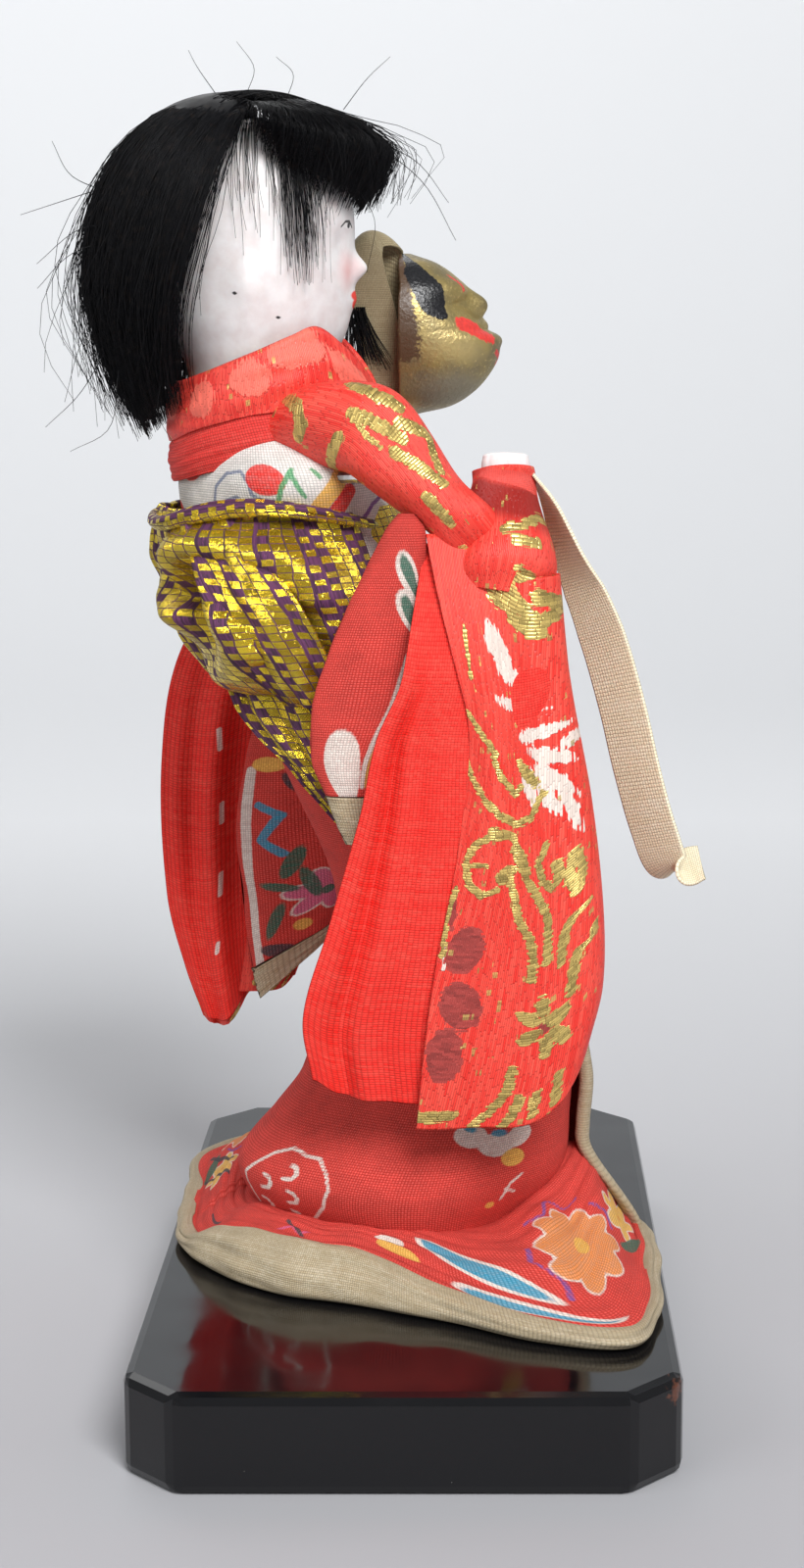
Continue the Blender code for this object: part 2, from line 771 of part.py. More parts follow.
def build_blocks(parts, cutters, wood, straw):
    """The leg block, the torso block and the dowel that joins them."""
    split = body_z(BODY_SPLIT_SHARE)
    leg = loft("leg_block", [body_ring(z) for z in levels_between(BODY_FOOT, split)], parts, wood)
    torso = loft(
        "torso_block",
        [body_ring(z) for z in levels_between(split + SEAT_GAP, BODY_TOP)],
        parts,
        straw,
    )
    middle = body_point(split, 0).x / 2 + body_point(split, BACK).x / 2
    reach = WAIST_DOWEL_LENGTH / 2
    cylinder("waist_dowel", WAIST_DOWEL_RADIUS, (middle, 0, split - reach),
             (middle, 0, split + reach), parts, wood)
    socket = cylinder("waist_socket", WAIST_DOWEL_RADIUS + FIT_GAP,
                      (middle, 0, split - reach - SEAT_GAP),
                      (middle, 0, split + reach + SEAT_GAP), cutters)
    neck_socket = cylinder("neck_socket", NECK_DOWEL_RADIUS + FIT_GAP,
                           (NECK_X, 0, BODY_TOP - NECK_DOWEL_SOCKET - SEAT_GAP),
                           (NECK_X, 0, BODY_TOP + CUT_OVERRUN), cutters)
    cut(leg, socket, *(bpy.data.objects[f"nail_hole_{side}"] for side in ("right", "left")))
    cut(torso, socket, neck_socket)
    return leg, torso


def hem_reach(angle):
    """How far the hem reaches from the origin at an angle."""
    rows = HEM_REACH_SHARES
    turn = math.degrees(angle) % 360
    if turn > 180:
        turn -= 360
    low, high = rows[0], rows[-1]
    wrapped = [(high[0] - 360, high[1]), *rows, (low[0] + 360, low[1])]
    return along(wrapped, turn)[0] * HEM_REACH


def hem_edge(angle, extra=0.0):
    """A point above the board on the hem's outline."""
    reach = hem_reach(angle) + extra
    return Vector((reach * math.cos(angle), reach * math.sin(angle), 0))


def build_hem(parts, cotton, cream):
    """The padded hem that spreads on the board, and its lining, turned out along the edge."""
    neck_z = BODY_FOOT + HEM_NECK_HEIGHT

    def hem_place(u, v):
        angle = FULL_TURN * u
        inner = body_point(neck_z, angle, SEAT_GAP + CLOTH / 2)
        outer = hem_edge(angle)
        spot = inner.lerp(outer, v)
        wave = HEM_WAVE * math.sin(HEM_WAVES * angle + HEM_WAVE_START) * v
        rear = HEM_REAR_PUFF * bump(angle - HEM_REAR_ANGLE, HEM_REAR_SPREAD)
        puff = (HEM_PUFF + rear) * math.sin(math.pi * min(v / HEM_PUFF_END_SHARE, 1.0))
        puff -= HEM_TUCK * bump(v, HEM_TUCK_SHARE)
        fall = (HEM_NECK_HEIGHT - HEM_EDGE_HEIGHT) * v**HEM_FALL_POWER
        spot.z = neck_z - fall + puff + wave
        return spot

    def lining_place(u, v):
        angle = FULL_TURN * u
        outer = hem_edge(angle, HEM_LINING_SHOWS)
        inner = hem_edge(angle) * HEM_LINING_INNER_SHARE
        spot = inner.lerp(outer, v)
        beyond = max(0.0, v - HEM_LINING_LIFT_SHARE) / (1 - HEM_LINING_LIFT_SHARE)
        lift = HEM_LINING_LIFT * beyond**2
        spot.z = BOARD_TOP + SEAT_GAP + LINING / 2 + lift
        return spot

    panel("kimono_hem", HEM_POINTS, 4, hem_place, CLOTH, parts, cotton, ring=True)
    panel("hem_lining", HEM_POINTS, 3, lining_place, LINING, parts, cream, ring=True)


def build_kimono(parts, cotton):
    """The printed skirt, its front overlap and the bodice."""
    foot = BODY_FOOT + SKIRT_FOOT_HEIGHT
    waist = body_z(WAIST_SHARE)

    def fold_at(z):
        depth = SKIRT_FOLD * (waist - z) / (waist - foot)
        return lambda angle: depth * (1 + math.cos(SKIRT_FOLDS * angle + 1.1)) / 2

    levels = levels_between(foot, waist)
    inner = [body_ring(z, SEAT_GAP, fold_at(z)) for z in levels]
    outer = [body_ring(z, SEAT_GAP + CLOTH, fold_at(z)) for z in levels]
    wall_loft("kimono_skirt", outer, inner, parts, cotton)

    def overlap_place(u, v):
        z = waist + (body_z(OVERLAP_FOOT_SHARE) - waist) * v
        angle = OVERLAP_ANGLE + OVERLAP_HALF_ANGLE * (2 * u - 1)
        flare = OVERLAP_FLARE * v**6 * (1 - u)
        clear = 3 * SEAT_GAP + CLOTH + SKIRT_FOLD + CLOTH / 2
        return body_point(z, angle, clear + flare)

    panel("front_overlap", 6, 8, overlap_place, CLOTH, parts, cotton)

    top = body_z(BODICE_TOP_SHARE)
    levels = levels_between(waist + SEAT_GAP, top)
    inner = [body_ring(z, SEAT_GAP) for z in levels]
    outer = [body_ring(z, SEAT_GAP + CLOTH) for z in levels]
    bodice = wall_loft("kimono_bodice", outer, inner, parts, cotton)
    return bodice


def collar_row(angle):
    """The collar's heights and radii at an angle from the front, worked out in metres."""
    turn = abs(math.degrees(angle))
    top, bottom, top_reach, bottom_reach = along(COLLAR_SHARES, turn)
    foot = body_z(COLLAR_FOOT_SHARE)
    return (
        foot + top * COLLAR_HEIGHT,
        foot + bottom * COLLAR_HEIGHT,
        top_reach * COLLAR_RADIUS,
        bottom_reach * COLLAR_RADIUS,
    )


def neck_point(radius, angle, z):
    """A point round the neck's axis."""
    return Vector((NECK_X + radius * math.cos(angle), radius * math.sin(angle), z))


def collar_ring(share, offset, count=COLLAR_POINTS):
    """A ring on the collar, from its bottom edge at 0 to its top edge at 1."""
    ring = []
    for i in range(count):
        angle = FULL_TURN * i / count
        if angle > BACK:
            angle -= FULL_TURN
        top, bottom, top_reach, bottom_reach = collar_row(angle)
        reach = bottom_reach + (top_reach - bottom_reach) * share + offset
        ring.append(neck_point(reach, angle, bottom + (top - bottom) * share))
    return ring


def build_collars(parts, cutters, satin, plain, cream):
    """The satin collar, the cream inner collar and the plain band below."""
    levels = (0, 0.5, 1)
    wall_loft(
        "satin_collar",
        [collar_ring(share, SATIN) for share in levels],
        [collar_ring(share, 0) for share in levels],
        parts,
        satin,
    )

    def inner_ring(offset, share):
        ring = []
        for i in range(COLLAR_POINTS):
            angle = FULL_TURN * i / COLLAR_POINTS
            if angle > BACK:
                angle -= FULL_TURN
            top, bottom, top_reach, bottom_reach = collar_row(angle)
            front = max(0.0, math.cos(angle))
            high = top + INNER_COLLAR_RISE - INNER_COLLAR_DIP_SHARE * COLLAR_HEIGHT * front
            low = max(high - INNER_COLLAR_HEIGHT, bottom)
            z = low + (high - low) * share
            ring.append(neck_point(top_reach - SEAT_GAP + offset, angle, z))
        return ring

    wall_loft(
        "cream_collar",
        [inner_ring(0, share) for share in (0, 1)],
        [inner_ring(-INNER_COLLAR, share) for share in (0, 1)],
        parts,
        cream,
    )

    def under_ring(share, offset):
        ring = []
        for i in range(COLLAR_POINTS):
            angle = FULL_TURN * i / COLLAR_POINTS
            if angle > BACK:
                angle -= FULL_TURN
            bottom = collar_row(angle)[1]
            z = bottom - SEAT_GAP - UNDER_COLLAR_HEIGHT * (1 - share)
            flare = UNDER_COLLAR_FLARE * share
            ring.append(body_point(z, angle, 2 * SEAT_GAP + CLOTH + flare + offset))
        return ring

    wall_loft(
        "under_collar",
        [under_ring(share, SATIN) for share in (0, 1)],
        [under_ring(share, 0) for share in (0, 1)],
        parts,
        plain,
    )
    rings = [collar_ring(share, SATIN + SEAT_GAP) for share in (-0.25, 0, 0.5, 1, 1.25)]
    return loft("collar_room", rings, cutters)


def build_obi(parts, lame):
    """The obi band, its two loops, the tie between them and the pointed tail."""
    inside = 2 * SEAT_GAP + CLOTH

    def tilted_ring(share, offset):
        z = body_z(share)
        ring = []
        for point, i in zip(body_ring(z, offset), range(BODY_POINTS)):
            tilt = OBI_TILT * math.cos(FULL_TURN * i / BODY_POINTS)
            ring.append(body_point(z + tilt, FULL_TURN * i / BODY_POINTS, offset))
        return ring

    shares = heights(OBI_BOTTOM_SHARE, OBI_TOP_SHARE, 3)
    wall_loft(
        "obi_band",
        [tilted_ring(share, inside + LAME) for share in shares],
        [tilted_ring(share, inside) for share in shares],
        parts,
        lame,
    )
    seat = inside + LAME + SEAT_GAP

    def bow(name, start, end, puff, low_share, high_share, columns, folds):
        def outer(u, v):
            angle = start + (end - start) * u
            swell = math.sin(math.pi * (0.06 + 0.88 * u)) ** 0.5
            swell *= math.sin(math.pi * (0.08 + 0.84 * v)) ** 0.6
            ridge = LOOP_FOLD * math.cos(folds * math.pi * v + 2 * u) * swell
            z = body_z(high_share + (low_share - high_share) * v)
            return body_point(z, angle, seat + LAME + puff * swell + ridge)

        def inner(u, v):
            angle = start + (end - start) * u
            z = body_z(high_share + (low_share - high_share) * v)
            return body_point(z, angle, seat)

        shell_between(name, columns, 7, outer, inner, parts, lame)

    clear = TIE_HALF_ANGLE + TIE_CLEARANCE
    bow("obi_loop_right", BACK + clear, LOOP_RIGHT_END, LOOP_RIGHT_PUFF, LOOP_BOTTOM_SHARE,
        LOOP_TOP_SHARE, 11, 5)
    bow("obi_loop_left", LOOP_LEFT_END, BACK - clear, LOOP_LEFT_PUFF, LOOP_BOTTOM_SHARE,
        LOOP_TOP_SHARE, 11, 5)
    bow("obi_tie", BACK - TIE_HALF_ANGLE, BACK + TIE_HALF_ANGLE, TIE_PUFF, TIE_BOTTOM_SHARE,
        TIE_TOP_SHARE, 4, 2)

    def tail_place(u, v):
        z = body_z(TAIL_TOP_SHARE + (TAIL_TIP_SHARE - TAIL_TOP_SHARE) * v)
        left, right = (top + (tip - top) * v for top, tip in zip(TAIL_TOP_ANGLES, TAIL_TIP_ANGLES))
        angle = left + (right - left) * u
        ridge = TAIL_FOLD * (1 + math.cos(5 * math.pi * u)) / 2 * (1 - v)
        return body_point(z, angle, inside + SKIRT_FOLD + LAME / 2 + SEAT_GAP + ridge)

    panel("obi_tail", 8, 7, tail_place, LAME, parts, lame)


def carried_frames(route):
    """At each centre of a route the two directions square to it, carried along without a twist."""
    headings = []
    for i in range(len(route)):
        ahead = route[min(i + 1, len(route) - 1)] - route[max(i - 1, 0)]
        headings.append(ahead.normalized())
    side = headings[0].cross(Vector((0, 0, 1)))
    if side.length < STEEP_SHARE:
        side = headings[0].cross(Vector((1, 0, 0)))
    side.normalize()
    frames = []
    for i, heading in enumerate(headings):
        if i:
            side = headings[i - 1].rotation_difference(heading) @ side
        side = (side - heading * side.dot(heading)).normalized()
        frames.append((side, side.cross(heading).normalized()))
    return frames


def station_ring(here, frame, across, high):
    """A ring of points round a centre, on the two directions of its frame."""
    side, up = frame
    ring = []
    for i in range(SLEEVE_POINTS):
        angle = FULL_TURN * i / SLEEVE_POINTS
        ring.append(here + side * across * math.cos(angle) + up * high * math.sin(angle))
    return ring


def sleeve_tube(name, stations, radius, wall, collection, material):
    """A tube of cloth round an arm, through stations given in shares."""
    route = [arm_point(row[:3]) for row in stations]
    outer = []
    inner = []
    for here, frame, row in zip(route, carried_frames(route), stations):
        size = row[3] * radius
        flat = size * SLEEVE_FLATNESS_SHARE
        outer.append(station_ring(here, frame, flat, size))
        inner.append(station_ring(here, frame, flat - wall, size - wall))
    if wall <= 0:
        return loft(name, outer, collection, material)
    return wall_loft(name, outer, inner, collection, material)


def build_arms(parts, cutters, torso, bodice, collar_room, wire, skin, brocade):
    """The arm wire through the torso, hands, upper sleeves and cuffs."""
    right = arm_route(ARM_RIGHT_SHARES)
    left = arm_route(ARM_LEFT_SHARES)
    whole = list(reversed(left)) + right[1:]
    tube("arm_wire", whole, WIRE_RADIUS, parts, wire)
    bore = tube("arm_bore", whole, WIRE_RADIUS + FIT_GAP, cutters)
    cut(torso, bore)
    cut(bodice, bore)

    top = body_z(BODICE_TOP_SHARE)
    levels = levels_between(body_z(WAIST_SHARE), top)
    clear = 3 * SEAT_GAP + CLOTH + SATIN
    body_room = loft("body_room", [body_ring(z, clear) for z in levels], cutters)

    for side, stations, cuff_stations, way_in in (
        ("right", UPPER_RIGHT_STATION_SHARES, CUFF_RIGHT_STATION_SHARES, ARM_RIGHT_SHARES[3:6]),
        ("left", UPPER_LEFT_STATION_SHARES, CUFF_LEFT_STATION_SHARES, ARM_LEFT_SHARES[2:4]),
    ):
        upper = sleeve_tube(f"upper_sleeve_{side}", stations, UPPER_SLEEVE_RADIUS, SATIN, parts, brocade)
        cuff = sleeve_tube(f"cuff_{side}", cuff_stations, CUFF_RADIUS, SATIN, parts, brocade)
        door = cylinder(f"cuff_door_{side}", CUFF_DOOR_RADIUS, arm_point(way_in[0]),
                        arm_point(way_in[-1]), cutters, sides=12)
        cut(cuff, door)
        room = sleeve_tube(f"cuff_room_{side}", cuff_stations, CUFF_RADIUS + SEAT_GAP, 0, cutters, None)
        sleeve_tube(f"upper_room_{side}", stations, UPPER_SLEEVE_RADIUS + SEAT_GAP, 0, cutters, None)
        cut(upper, body_room, collar_room, room, bore)

    for side, route in (("right", right), ("left", left)):
        build_hand(side, route, parts, cutters, skin, bore)


def build_hand(side, route, parts, cutters, skin, bore):
    """A small moulded hand on the end of the arm wire: palm, fingers and thumb."""
    end = route[-1]
    heading = (route[-1] - route[-2]).normalized()
    across = heading.cross(Vector((1, 0, 0))).normalized()
    flat = across.cross(heading).normalized()
    start = end - heading * (HAND_LENGTH * HAND_SEAT_SHARE)
    half_width = HAND_WIDTH / 2
    half_thickness = HAND_THICKNESS / 2

    def spot(way, aside):
        return start + heading * HAND_LENGTH * way + flat * half_width * aside

    def ring(way, wide, thick):
        points = []
        for i in range(PALM_POINTS):
            angle = FULL_TURN * i / PALM_POINTS
            lift = across * half_thickness * thick * math.sin(angle)
            points.append(spot(way, wide * math.cos(angle)) + lift)
        return points

    palm = loft(f"hand_{side}", [ring(*row) for row in PALM_SHARES], parts, skin)
    fingers = []
    for i, length in enumerate(FINGER_LENGTH_SHARES):
        aside = FINGER_APART_SHARE * (i - (len(FINGER_LENGTH_SHARES) - 1) / 2)
        base = spot(FINGER_BASE_SHARE, aside)
        tip = spot(FINGER_BASE_SHARE + length, aside * (1 + FINGER_SPREAD_SHARE))
        size = half_width * FINGER_RADIUS_SHARE
        fingers.append(cylinder(f"finger_{side}_{i}", size, base, tip, cutters, sides=8,
                                top_radius=size * FINGER_TIP_SHARE))
    fingers.append(cylinder(f"thumb_{side}", half_width * THUMB_RADIUS_SHARE, spot(*THUMB_BASE_SHARES),
                            spot(*THUMB_TIP_SHARES), cutters, sides=8,
                            top_radius=half_width * THUMB_TIP_RADIUS_SHARE))
    join(palm, *fingers)
    cut(palm, bore)


def sleeve_place(shares, u, v, inset, fold):
    """A point on a hanging sleeve, from the rear edge round the front fold to the inner face."""
    rear, front, far, outer, inner = along(shares, v)
    corner = SLEEVE_CORNER_SHARE
    turn = 0.5
    x_rear, x_front, x_far = (value * SLEEVE_REACH for value in (rear, front, far))
    y_out, y_in = outer * SLEEVE_SPREAD, inner * SLEEVE_SPREAD
    side = math.copysign(1, y_out)
    y_out -= side * inset
    y_in += side * inset
    x_front -= inset
    half_gap = abs(y_out - y_in) / 2
    if u <= turn - corner / 2:
        s = u / (turn - corner / 2)
        x = x_rear + (x_front - half_gap - x_rear) * s
        y = y_out
        y -= side * fold * (1 - math.cos(math.pi * 4 * s)) / 2 * (1 - s) * v
    elif u >= turn + corner / 2:
        s = (u - turn - corner / 2) / (1 - turn - corner / 2)
        x = x_front - half_gap + (x_far - x_front + half_gap) * s
        y = y_in
    else:
        s = (u - turn + corner / 2) / corner * math.pi
        x = x_front - half_gap + half_gap * math.sin(s)
        y = (y_out + y_in) / 2 + (y_out - y_in) / 2 * math.cos(s)
    return x, y


def build_sleeves(parts, brocade, plain):
    """The hanging brocade sleeves and their plain linings, folded round the front edge."""

    def placer(top, drop, shares, inset, fold):
        def place(u, v):
            x, y = sleeve_place(shares, u, v, inset, fold)
            front = bump(u - 0.5, 0.22)
            rise = SLEEVE_REAR_RISE * max(0.0, 1 - 2.4 * u) ** 2 * (1 - v)
            foot = (drop - inset) - SLEEVE_FRONT_LIFT * front
            z = top + rise - inset * (1 if v < 0.01 else 0) - foot * v
            return Vector((x, y, z))

        return place

    for side, hang, drop, shares, lining_shares in (
        ("right", SLEEVE_RIGHT_HANG, SLEEVE_RIGHT_DROP, SLEEVE_RIGHT_SHARES, SLEEVE_RIGHT_LINING_SHARES),
        ("left", SLEEVE_LEFT_HANG, SLEEVE_LEFT_DROP, SLEEVE_LEFT_SHARES, SLEEVE_LEFT_SHARES),
    ):
        top = arm_height() - hang
        rooms = [bpy.data.objects[f"{kind}_room_{side}"] for kind in ("cuff", "upper")]
        outside = panel(f"sleeve_{side}", SLEEVE_COLUMNS, SLEEVE_ROWS,
                        placer(top, drop, shares, 0, 0), SATIN, parts, brocade)
        inside = panel(f"sleeve_lining_{side}", SLEEVE_COLUMNS, SLEEVE_ROWS,
                       placer(top, drop, lining_shares, SLEEVE_LINING_INSET, SLEEVE_FOLD),
                       LINING, parts, plain)
        cut(outside, *rooms)
        cut(inside, *rooms)


def build_under_sleeves(parts, cotton, cream):
    """The puffed under-sleeves, and the cream edge below each one."""
    for side, (x0, y0), hang, drop, shares in (
        ("right", UNDER_SLEEVE_RIGHT, UNDER_SLEEVE_RIGHT_HANG, UNDER_SLEEVE_RIGHT_DROP,
         UNDER_SLEEVE_RIGHT_SHARES),
        ("left", UNDER_SLEEVE_LEFT, UNDER_SLEEVE_LEFT_HANG, UNDER_SLEEVE_LEFT_DROP,
         UNDER_SLEEVE_LEFT_SHARES),
    ):
        top = arm_height() - hang

        def ring(share, x0=x0, y0=y0, top=top, drop=drop, shares=shares):
            shift, wide, thick = along(shares, share)
            points = []
            for i in range(UNDER_SLEEVE_POINTS):
                angle = FULL_TURN * i / UNDER_SLEEVE_POINTS
                x = x0 + UNDER_SLEEVE_HALF_WIDTH * (shift + wide * math.cos(angle))
                y = y0 + UNDER_SLEEVE_HALF_THICKNESS * thick * math.sin(angle)
                points.append(Vector((x, y, top - drop * share)))
            return points

        puff = [ring(share) for share in heights(0, UNDER_SLEEVE_END_SHARE, 8)]
        sleeve = loft(f"under_sleeve_{side}", puff, parts, cotton)
        cut(sleeve, *(bpy.data.objects[f"{kind}_room_{side}"] for kind in ("cuff", "upper")))
        edge = UNDER_SLEEVE_END_SHARE + SEAT_GAP / drop
        loft(f"under_sleeve_edge_{side}", [ring(share) for share in heights(edge, 1, 3)], parts, cream)


def mask_seat():
    """The foot of the mask's back edge."""
    return arm_point(ARM_LEFT_SHARES[-1]) + Vector((MASK_AHEAD, MASK_ASIDE, MASK_ABOVE))


def mask_front(u, v):
    """A point on the mask's face, from its top edge down and from side to side."""
    depth, wide = along(MASK_SHARES, v)
    angle = math.pi * (u - 0.5)
    x = MASK_DEPTH * depth * math.cos(angle) ** 0.9 if abs(angle) < math.pi / 2 - 0.001 else 0.0
    y = MASK_HALF_WIDTH * wide * math.sin(angle)
    z_down = MASK_HEIGHT * v
    nose = bump(y, MASK_NOSE_SIZE) * bump(z_down - MASK_NOSE_SHARE * MASK_HEIGHT, MASK_NOSE_SIZE)
    x += MASK_NOSE_REACH * nose
    for eye in (-1, 1):
        brow = bump(y - eye * MASK_BROW_APART, MASK_NOSE_SIZE * 1.6)
        x += MASK_BROW_REACH * brow * bump(z_down - MASK_BROW_SHARE * MASK_HEIGHT, MASK_NOSE_SIZE)
    groove = bump(z_down - MASK_LIP_SHARE * MASK_HEIGHT, MASK_NOSE_SIZE / 2)
    x -= MASK_LIP_GROOVE * groove * math.cos(angle)
    return mask_seat() + Vector((x, y, MASK_HEIGHT - z_down))


def build_mask(parts, gold, black, cream):
    """The hollow gold mask, its ribbon loop and the tuft of hair behind it."""
    panel("mask_shell", MASK_COLUMNS, MASK_ROWS, mask_front, MASK_WALL, parts, gold)

    def ribbon_place(u, v):
        bulge, rise = along(MASK_RIBBON_SHARES, v)
        x = -2 * SEAT_GAP - MASK_RIBBON_WIDTH * (1 - u)
        return mask_seat() + Vector((x, -bulge * MASK_RIBBON_BULGE, rise * MASK_HEIGHT))

    panel("mask_ribbon", 4, 14, ribbon_place, RIBBON, parts, cream)
    top = ribbon_place(TUFT_ACROSS_SHARE, TUFT_DOWN_SHARE)
    start = top - Vector((0, RIBBON + SEAT_GAP + TUFT_RADIUS, 0))
    cylinder("mask_tuft", TUFT_RADIUS, start, start - Vector((TUFT_RADIUS, 0, TUFT_LENGTH)), parts,
             black, sides=10, top_radius=TUFT_RADIUS / 3)


def build_hand_ribbon(parts, cream):
    """The flat ribbon that hangs from the right hand."""
    hand = arm_point(ARM_RIGHT_SHARES[-1]) + Vector((HAND_WIDTH * 0.62, 0, HAND_LENGTH * 0.2))
    rows = []
    for i, (reach, side, drop) in enumerate(HAND_RIBBON_SHARES):
        spot = hand + Vector((reach * HAND_RIBBON_REACH, side * HAND_RIBBON_REACH,
                              -drop * HAND_RIBBON_DROP))
        rows.append((i / (len(HAND_RIBBON_SHARES) - 1), *spot))

    def place(u, v):
        here = Vector(along(rows, v))
        ahead = Vector(along(rows, min(v + 0.02, 1.0))) - Vector(along(rows, max(v - 0.02, 0.0)))
        heading = ahead.normalized()
        turn = min(1.0, v / HAND_RIBBON_TURN_SHARE)
        lay = Vector((math.sin(HAND_RIBBON_TURN * turn), -math.cos(HAND_RIBBON_TURN * turn), 0))
        across = (lay - heading * lay.dot(heading)).normalized()
        narrow = HAND_RIBBON_KNOT_SHARE + (1 - HAND_RIBBON_KNOT_SHARE) * min(1.0, v / HAND_RIBBON_OPEN_SHARE)
        return here + across * (u - 0.5) * RIBBON_WIDTH * narrow

    panel("hand_ribbon", 2, 18, place, RIBBON, parts, cream)


def head_row(z):
    """The head's reach to the front, back and side at a height above the neck's foot."""
    front, back, side = along(HEAD_SHARES, z / HEAD_HEIGHT)
    return front * HEAD_HALF_DEPTH, back * HEAD_HALF_DEPTH, side * HEAD_HALF_WIDTH


def head_radius(z, angle):
    """The head's plain radius at a height and an angle from the front, without the face."""
    front, back, side = head_row(z)
    along_x = front if math.cos(angle) > 0 else back
    return 1 / math.hypot(math.cos(angle) / along_x, math.sin(angle) / side)


def head_point(z, angle):
    """A point on the head, with its face, from the neck's foot on the neck's axis."""
    front, back, side = head_row(z)
    ahead = math.cos(angle)
    x = (front if ahead > 0 else back) * ahead
    low = bump(z - 0.28 * HEAD_HEIGHT, 0.16 * HEAD_HEIGHT)
    y = side * math.sin(angle) * (1 - CHIN_TAPER_SHARE * low * max(0.0, ahead))
    if ahead > 0:
        rise = NOSE_SHARE * HEAD_HEIGHT
        x += NOSE_REACH * bump(y, NOSE_HALF_WIDTH) * bump(z - rise, NOSE_HALF_HEIGHT)
        x += LIP_REACH * bump(y, LIP_SIZE * 1.3) * bump(z - LIP_SHARE * HEAD_HEIGHT, LIP_SIZE)
        for eye in (-1, 1):
            hollow = bump(y - eye * EYE_APART, EYE_SIZE) * bump(z - EYE_SHARE * HEAD_HEIGHT, EYE_SIZE)
            x -= EYE_HOLLOW * hollow
    return Vector((x, y, z))


def build_head(parts, cutters, pivot, skin, wood):
    """The head with its moulded face, and the dowel that turns in the torso."""
    rings = []
    for share in [0, 0.09, 0.17, 0.24] + heights(0.30, 0.64, 9) + heights(0.7, 1.0, 7):
        ring = []
        for i in range(HEAD_POINTS):
            turn = FULL_TURN * i / HEAD_POINTS
            ring.append(head_point(share * HEAD_HEIGHT, turn - FACE_CROWDING_SHARE * math.sin(turn)))
        rings.append(ring)
    head = loft("head", rings, parts, skin)
    dowel_foot = -(NECK_Z - BODY_TOP) - NECK_DOWEL_SOCKET
    dowel = cylinder("neck_dowel", NECK_DOWEL_RADIUS, (0, 0, dowel_foot), (0, 0, NECK_DOWEL_TENON),
                     parts, wood)
    socket = cylinder("head_socket", NECK_DOWEL_RADIUS + FIT_GAP, (0, 0, -CUT_OVERRUN),
                      (0, 0, NECK_DOWEL_TENON + SEAT_GAP), cutters)
    cut(head, socket)
    for piece in (head, dowel, socket):
        piece.parent = pivot


def hair_outer(angle, way):
    """A point on the hair's outside, at an angle from the front and a way down from the crown."""
    reach, drop = along(HAIR_SHARES, way)
    back = max(0.0, -math.cos(angle))
    depth = HAIR_HALF_WIDTH + (HAIR_HALF_DEPTH - HAIR_HALF_WIDTH) * back
    radius = reach * depth
    z = HEAD_HEIGHT + HAIR_RISE - drop * HAIR_HEIGHT
    return radius, z


def build_hair(parts, pivot, black):
    """The bob, the blunt fringe and the two temple locks."""
    crown = HEAD_HEIGHT + HAIR_RISE

    def hair_angle(u, v):
        spread = HAIR_BACK_ANGLE + (HAIR_TIP_ANGLE - HAIR_BACK_ANGLE) * v**1.1
        return BACK + spread * (2 * u - 1)

    def lift(u, v):
        return HAIR_TIP_LIFT * abs(2 * u - 1) * v**3

    def outer(u, v):
        angle = hair_angle(u, v)
        radius, z = hair_outer(angle, v)
        return Vector((radius * math.cos(angle), radius * math.sin(angle), z + lift(u, v)))

    def inner(u, v):
        angle = hair_angle(u, v)
        foot = crown - HAIR_SHARES[-1][2] * HAIR_HEIGHT
        under = HEAD_HEIGHT + HAIR_SCALP_GAP
        z = under + (foot - under) * v**1.7
        if z > HEAD_HEIGHT * 0.999:
            radius = HAIR_SCALP_GAP
        else:
            radius = head_radius(z, angle) + HAIR_SCALP_GAP
        radius += (HAIR_INNER_RADIUS - radius) * min(1.0, max(0.0, (v - 0.62) / 0.12))
        return Vector((radius * math.cos(angle), radius * math.sin(angle), z + lift(u, v)))

    bob = shell_between("hair_bob", 18, 11, outer, inner, parts, black)

    def fringe_section(angle):
        wide = abs(angle) / FRINGE_ANGLE
        edge_drop = FRINGE_EDGE_DROP - FRINGE_SIDE_LIFT * wide**2.5
        tip_reach = FRINGE_TIP_REACH - FRINGE_SIDE_TUCK * wide**2
        tip_drop = FRINGE_TIP_DROP - FRINGE_SIDE_RISE * wide**2
        edge_z = crown - edge_drop
        under_z = HEAD_HEIGHT + HAIR_SCALP_GAP
        points = []
        for share in (0, 0.35, 0.6, 0.8, 0.93):
            z = edge_z + (under_z - edge_z) * share
            points.append((head_radius(min(z, HEAD_HEIGHT * 0.985), angle) + 2 * HAIR_SCALP_GAP, z))
        points.append((HAIR_SCALP_GAP * 3, under_z + HAIR_SCALP_GAP))
        points.append((HAIR_SCALP_GAP * 3, crown - FRINGE_TOP_DROP))
        points.append((tip_reach * 0.45, crown - FRINGE_TOP_DROP * 1.4))
        points.append((tip_reach * 0.78, crown - tip_drop * 0.52))
        points.append((tip_reach, crown - tip_drop))
        points.append((points[0][0] + FRINGE_EDGE_THICKNESS, edge_z))
        return [Vector((r * math.cos(angle), r * math.sin(angle), z)) for r, z in points]

    angles = heights(-FRINGE_ANGLE, FRINGE_ANGLE, 13)
    fringe = loft("hair_fringe", [fringe_section(angle) for angle in angles], parts, black)

    pieces = [bob, fringe]
    for side, sign in (("right", -1), ("left", 1)):
        def place(u, v, sign=sign):
            z = HEAD_HEIGHT * LOCK_TOP_SHARE - LOCK_LENGTH * v
            width = LOCK_WIDTH * (1 - 0.75 * v) / HEAD_HALF_WIDTH
            angle = sign * (LOCK_ANGLE + width * (u - 0.5))
            radius = head_radius(z, angle) + HAIR_SCALP_GAP + LOCK_THICKNESS / 2
            return Vector((radius * math.cos(angle), radius * math.sin(angle), z))

        pieces.append(panel(f"hair_lock_{side}", 2, 6, place, LOCK_THICKNESS, parts, black))
    for piece in pieces:
        piece.parent = pivot


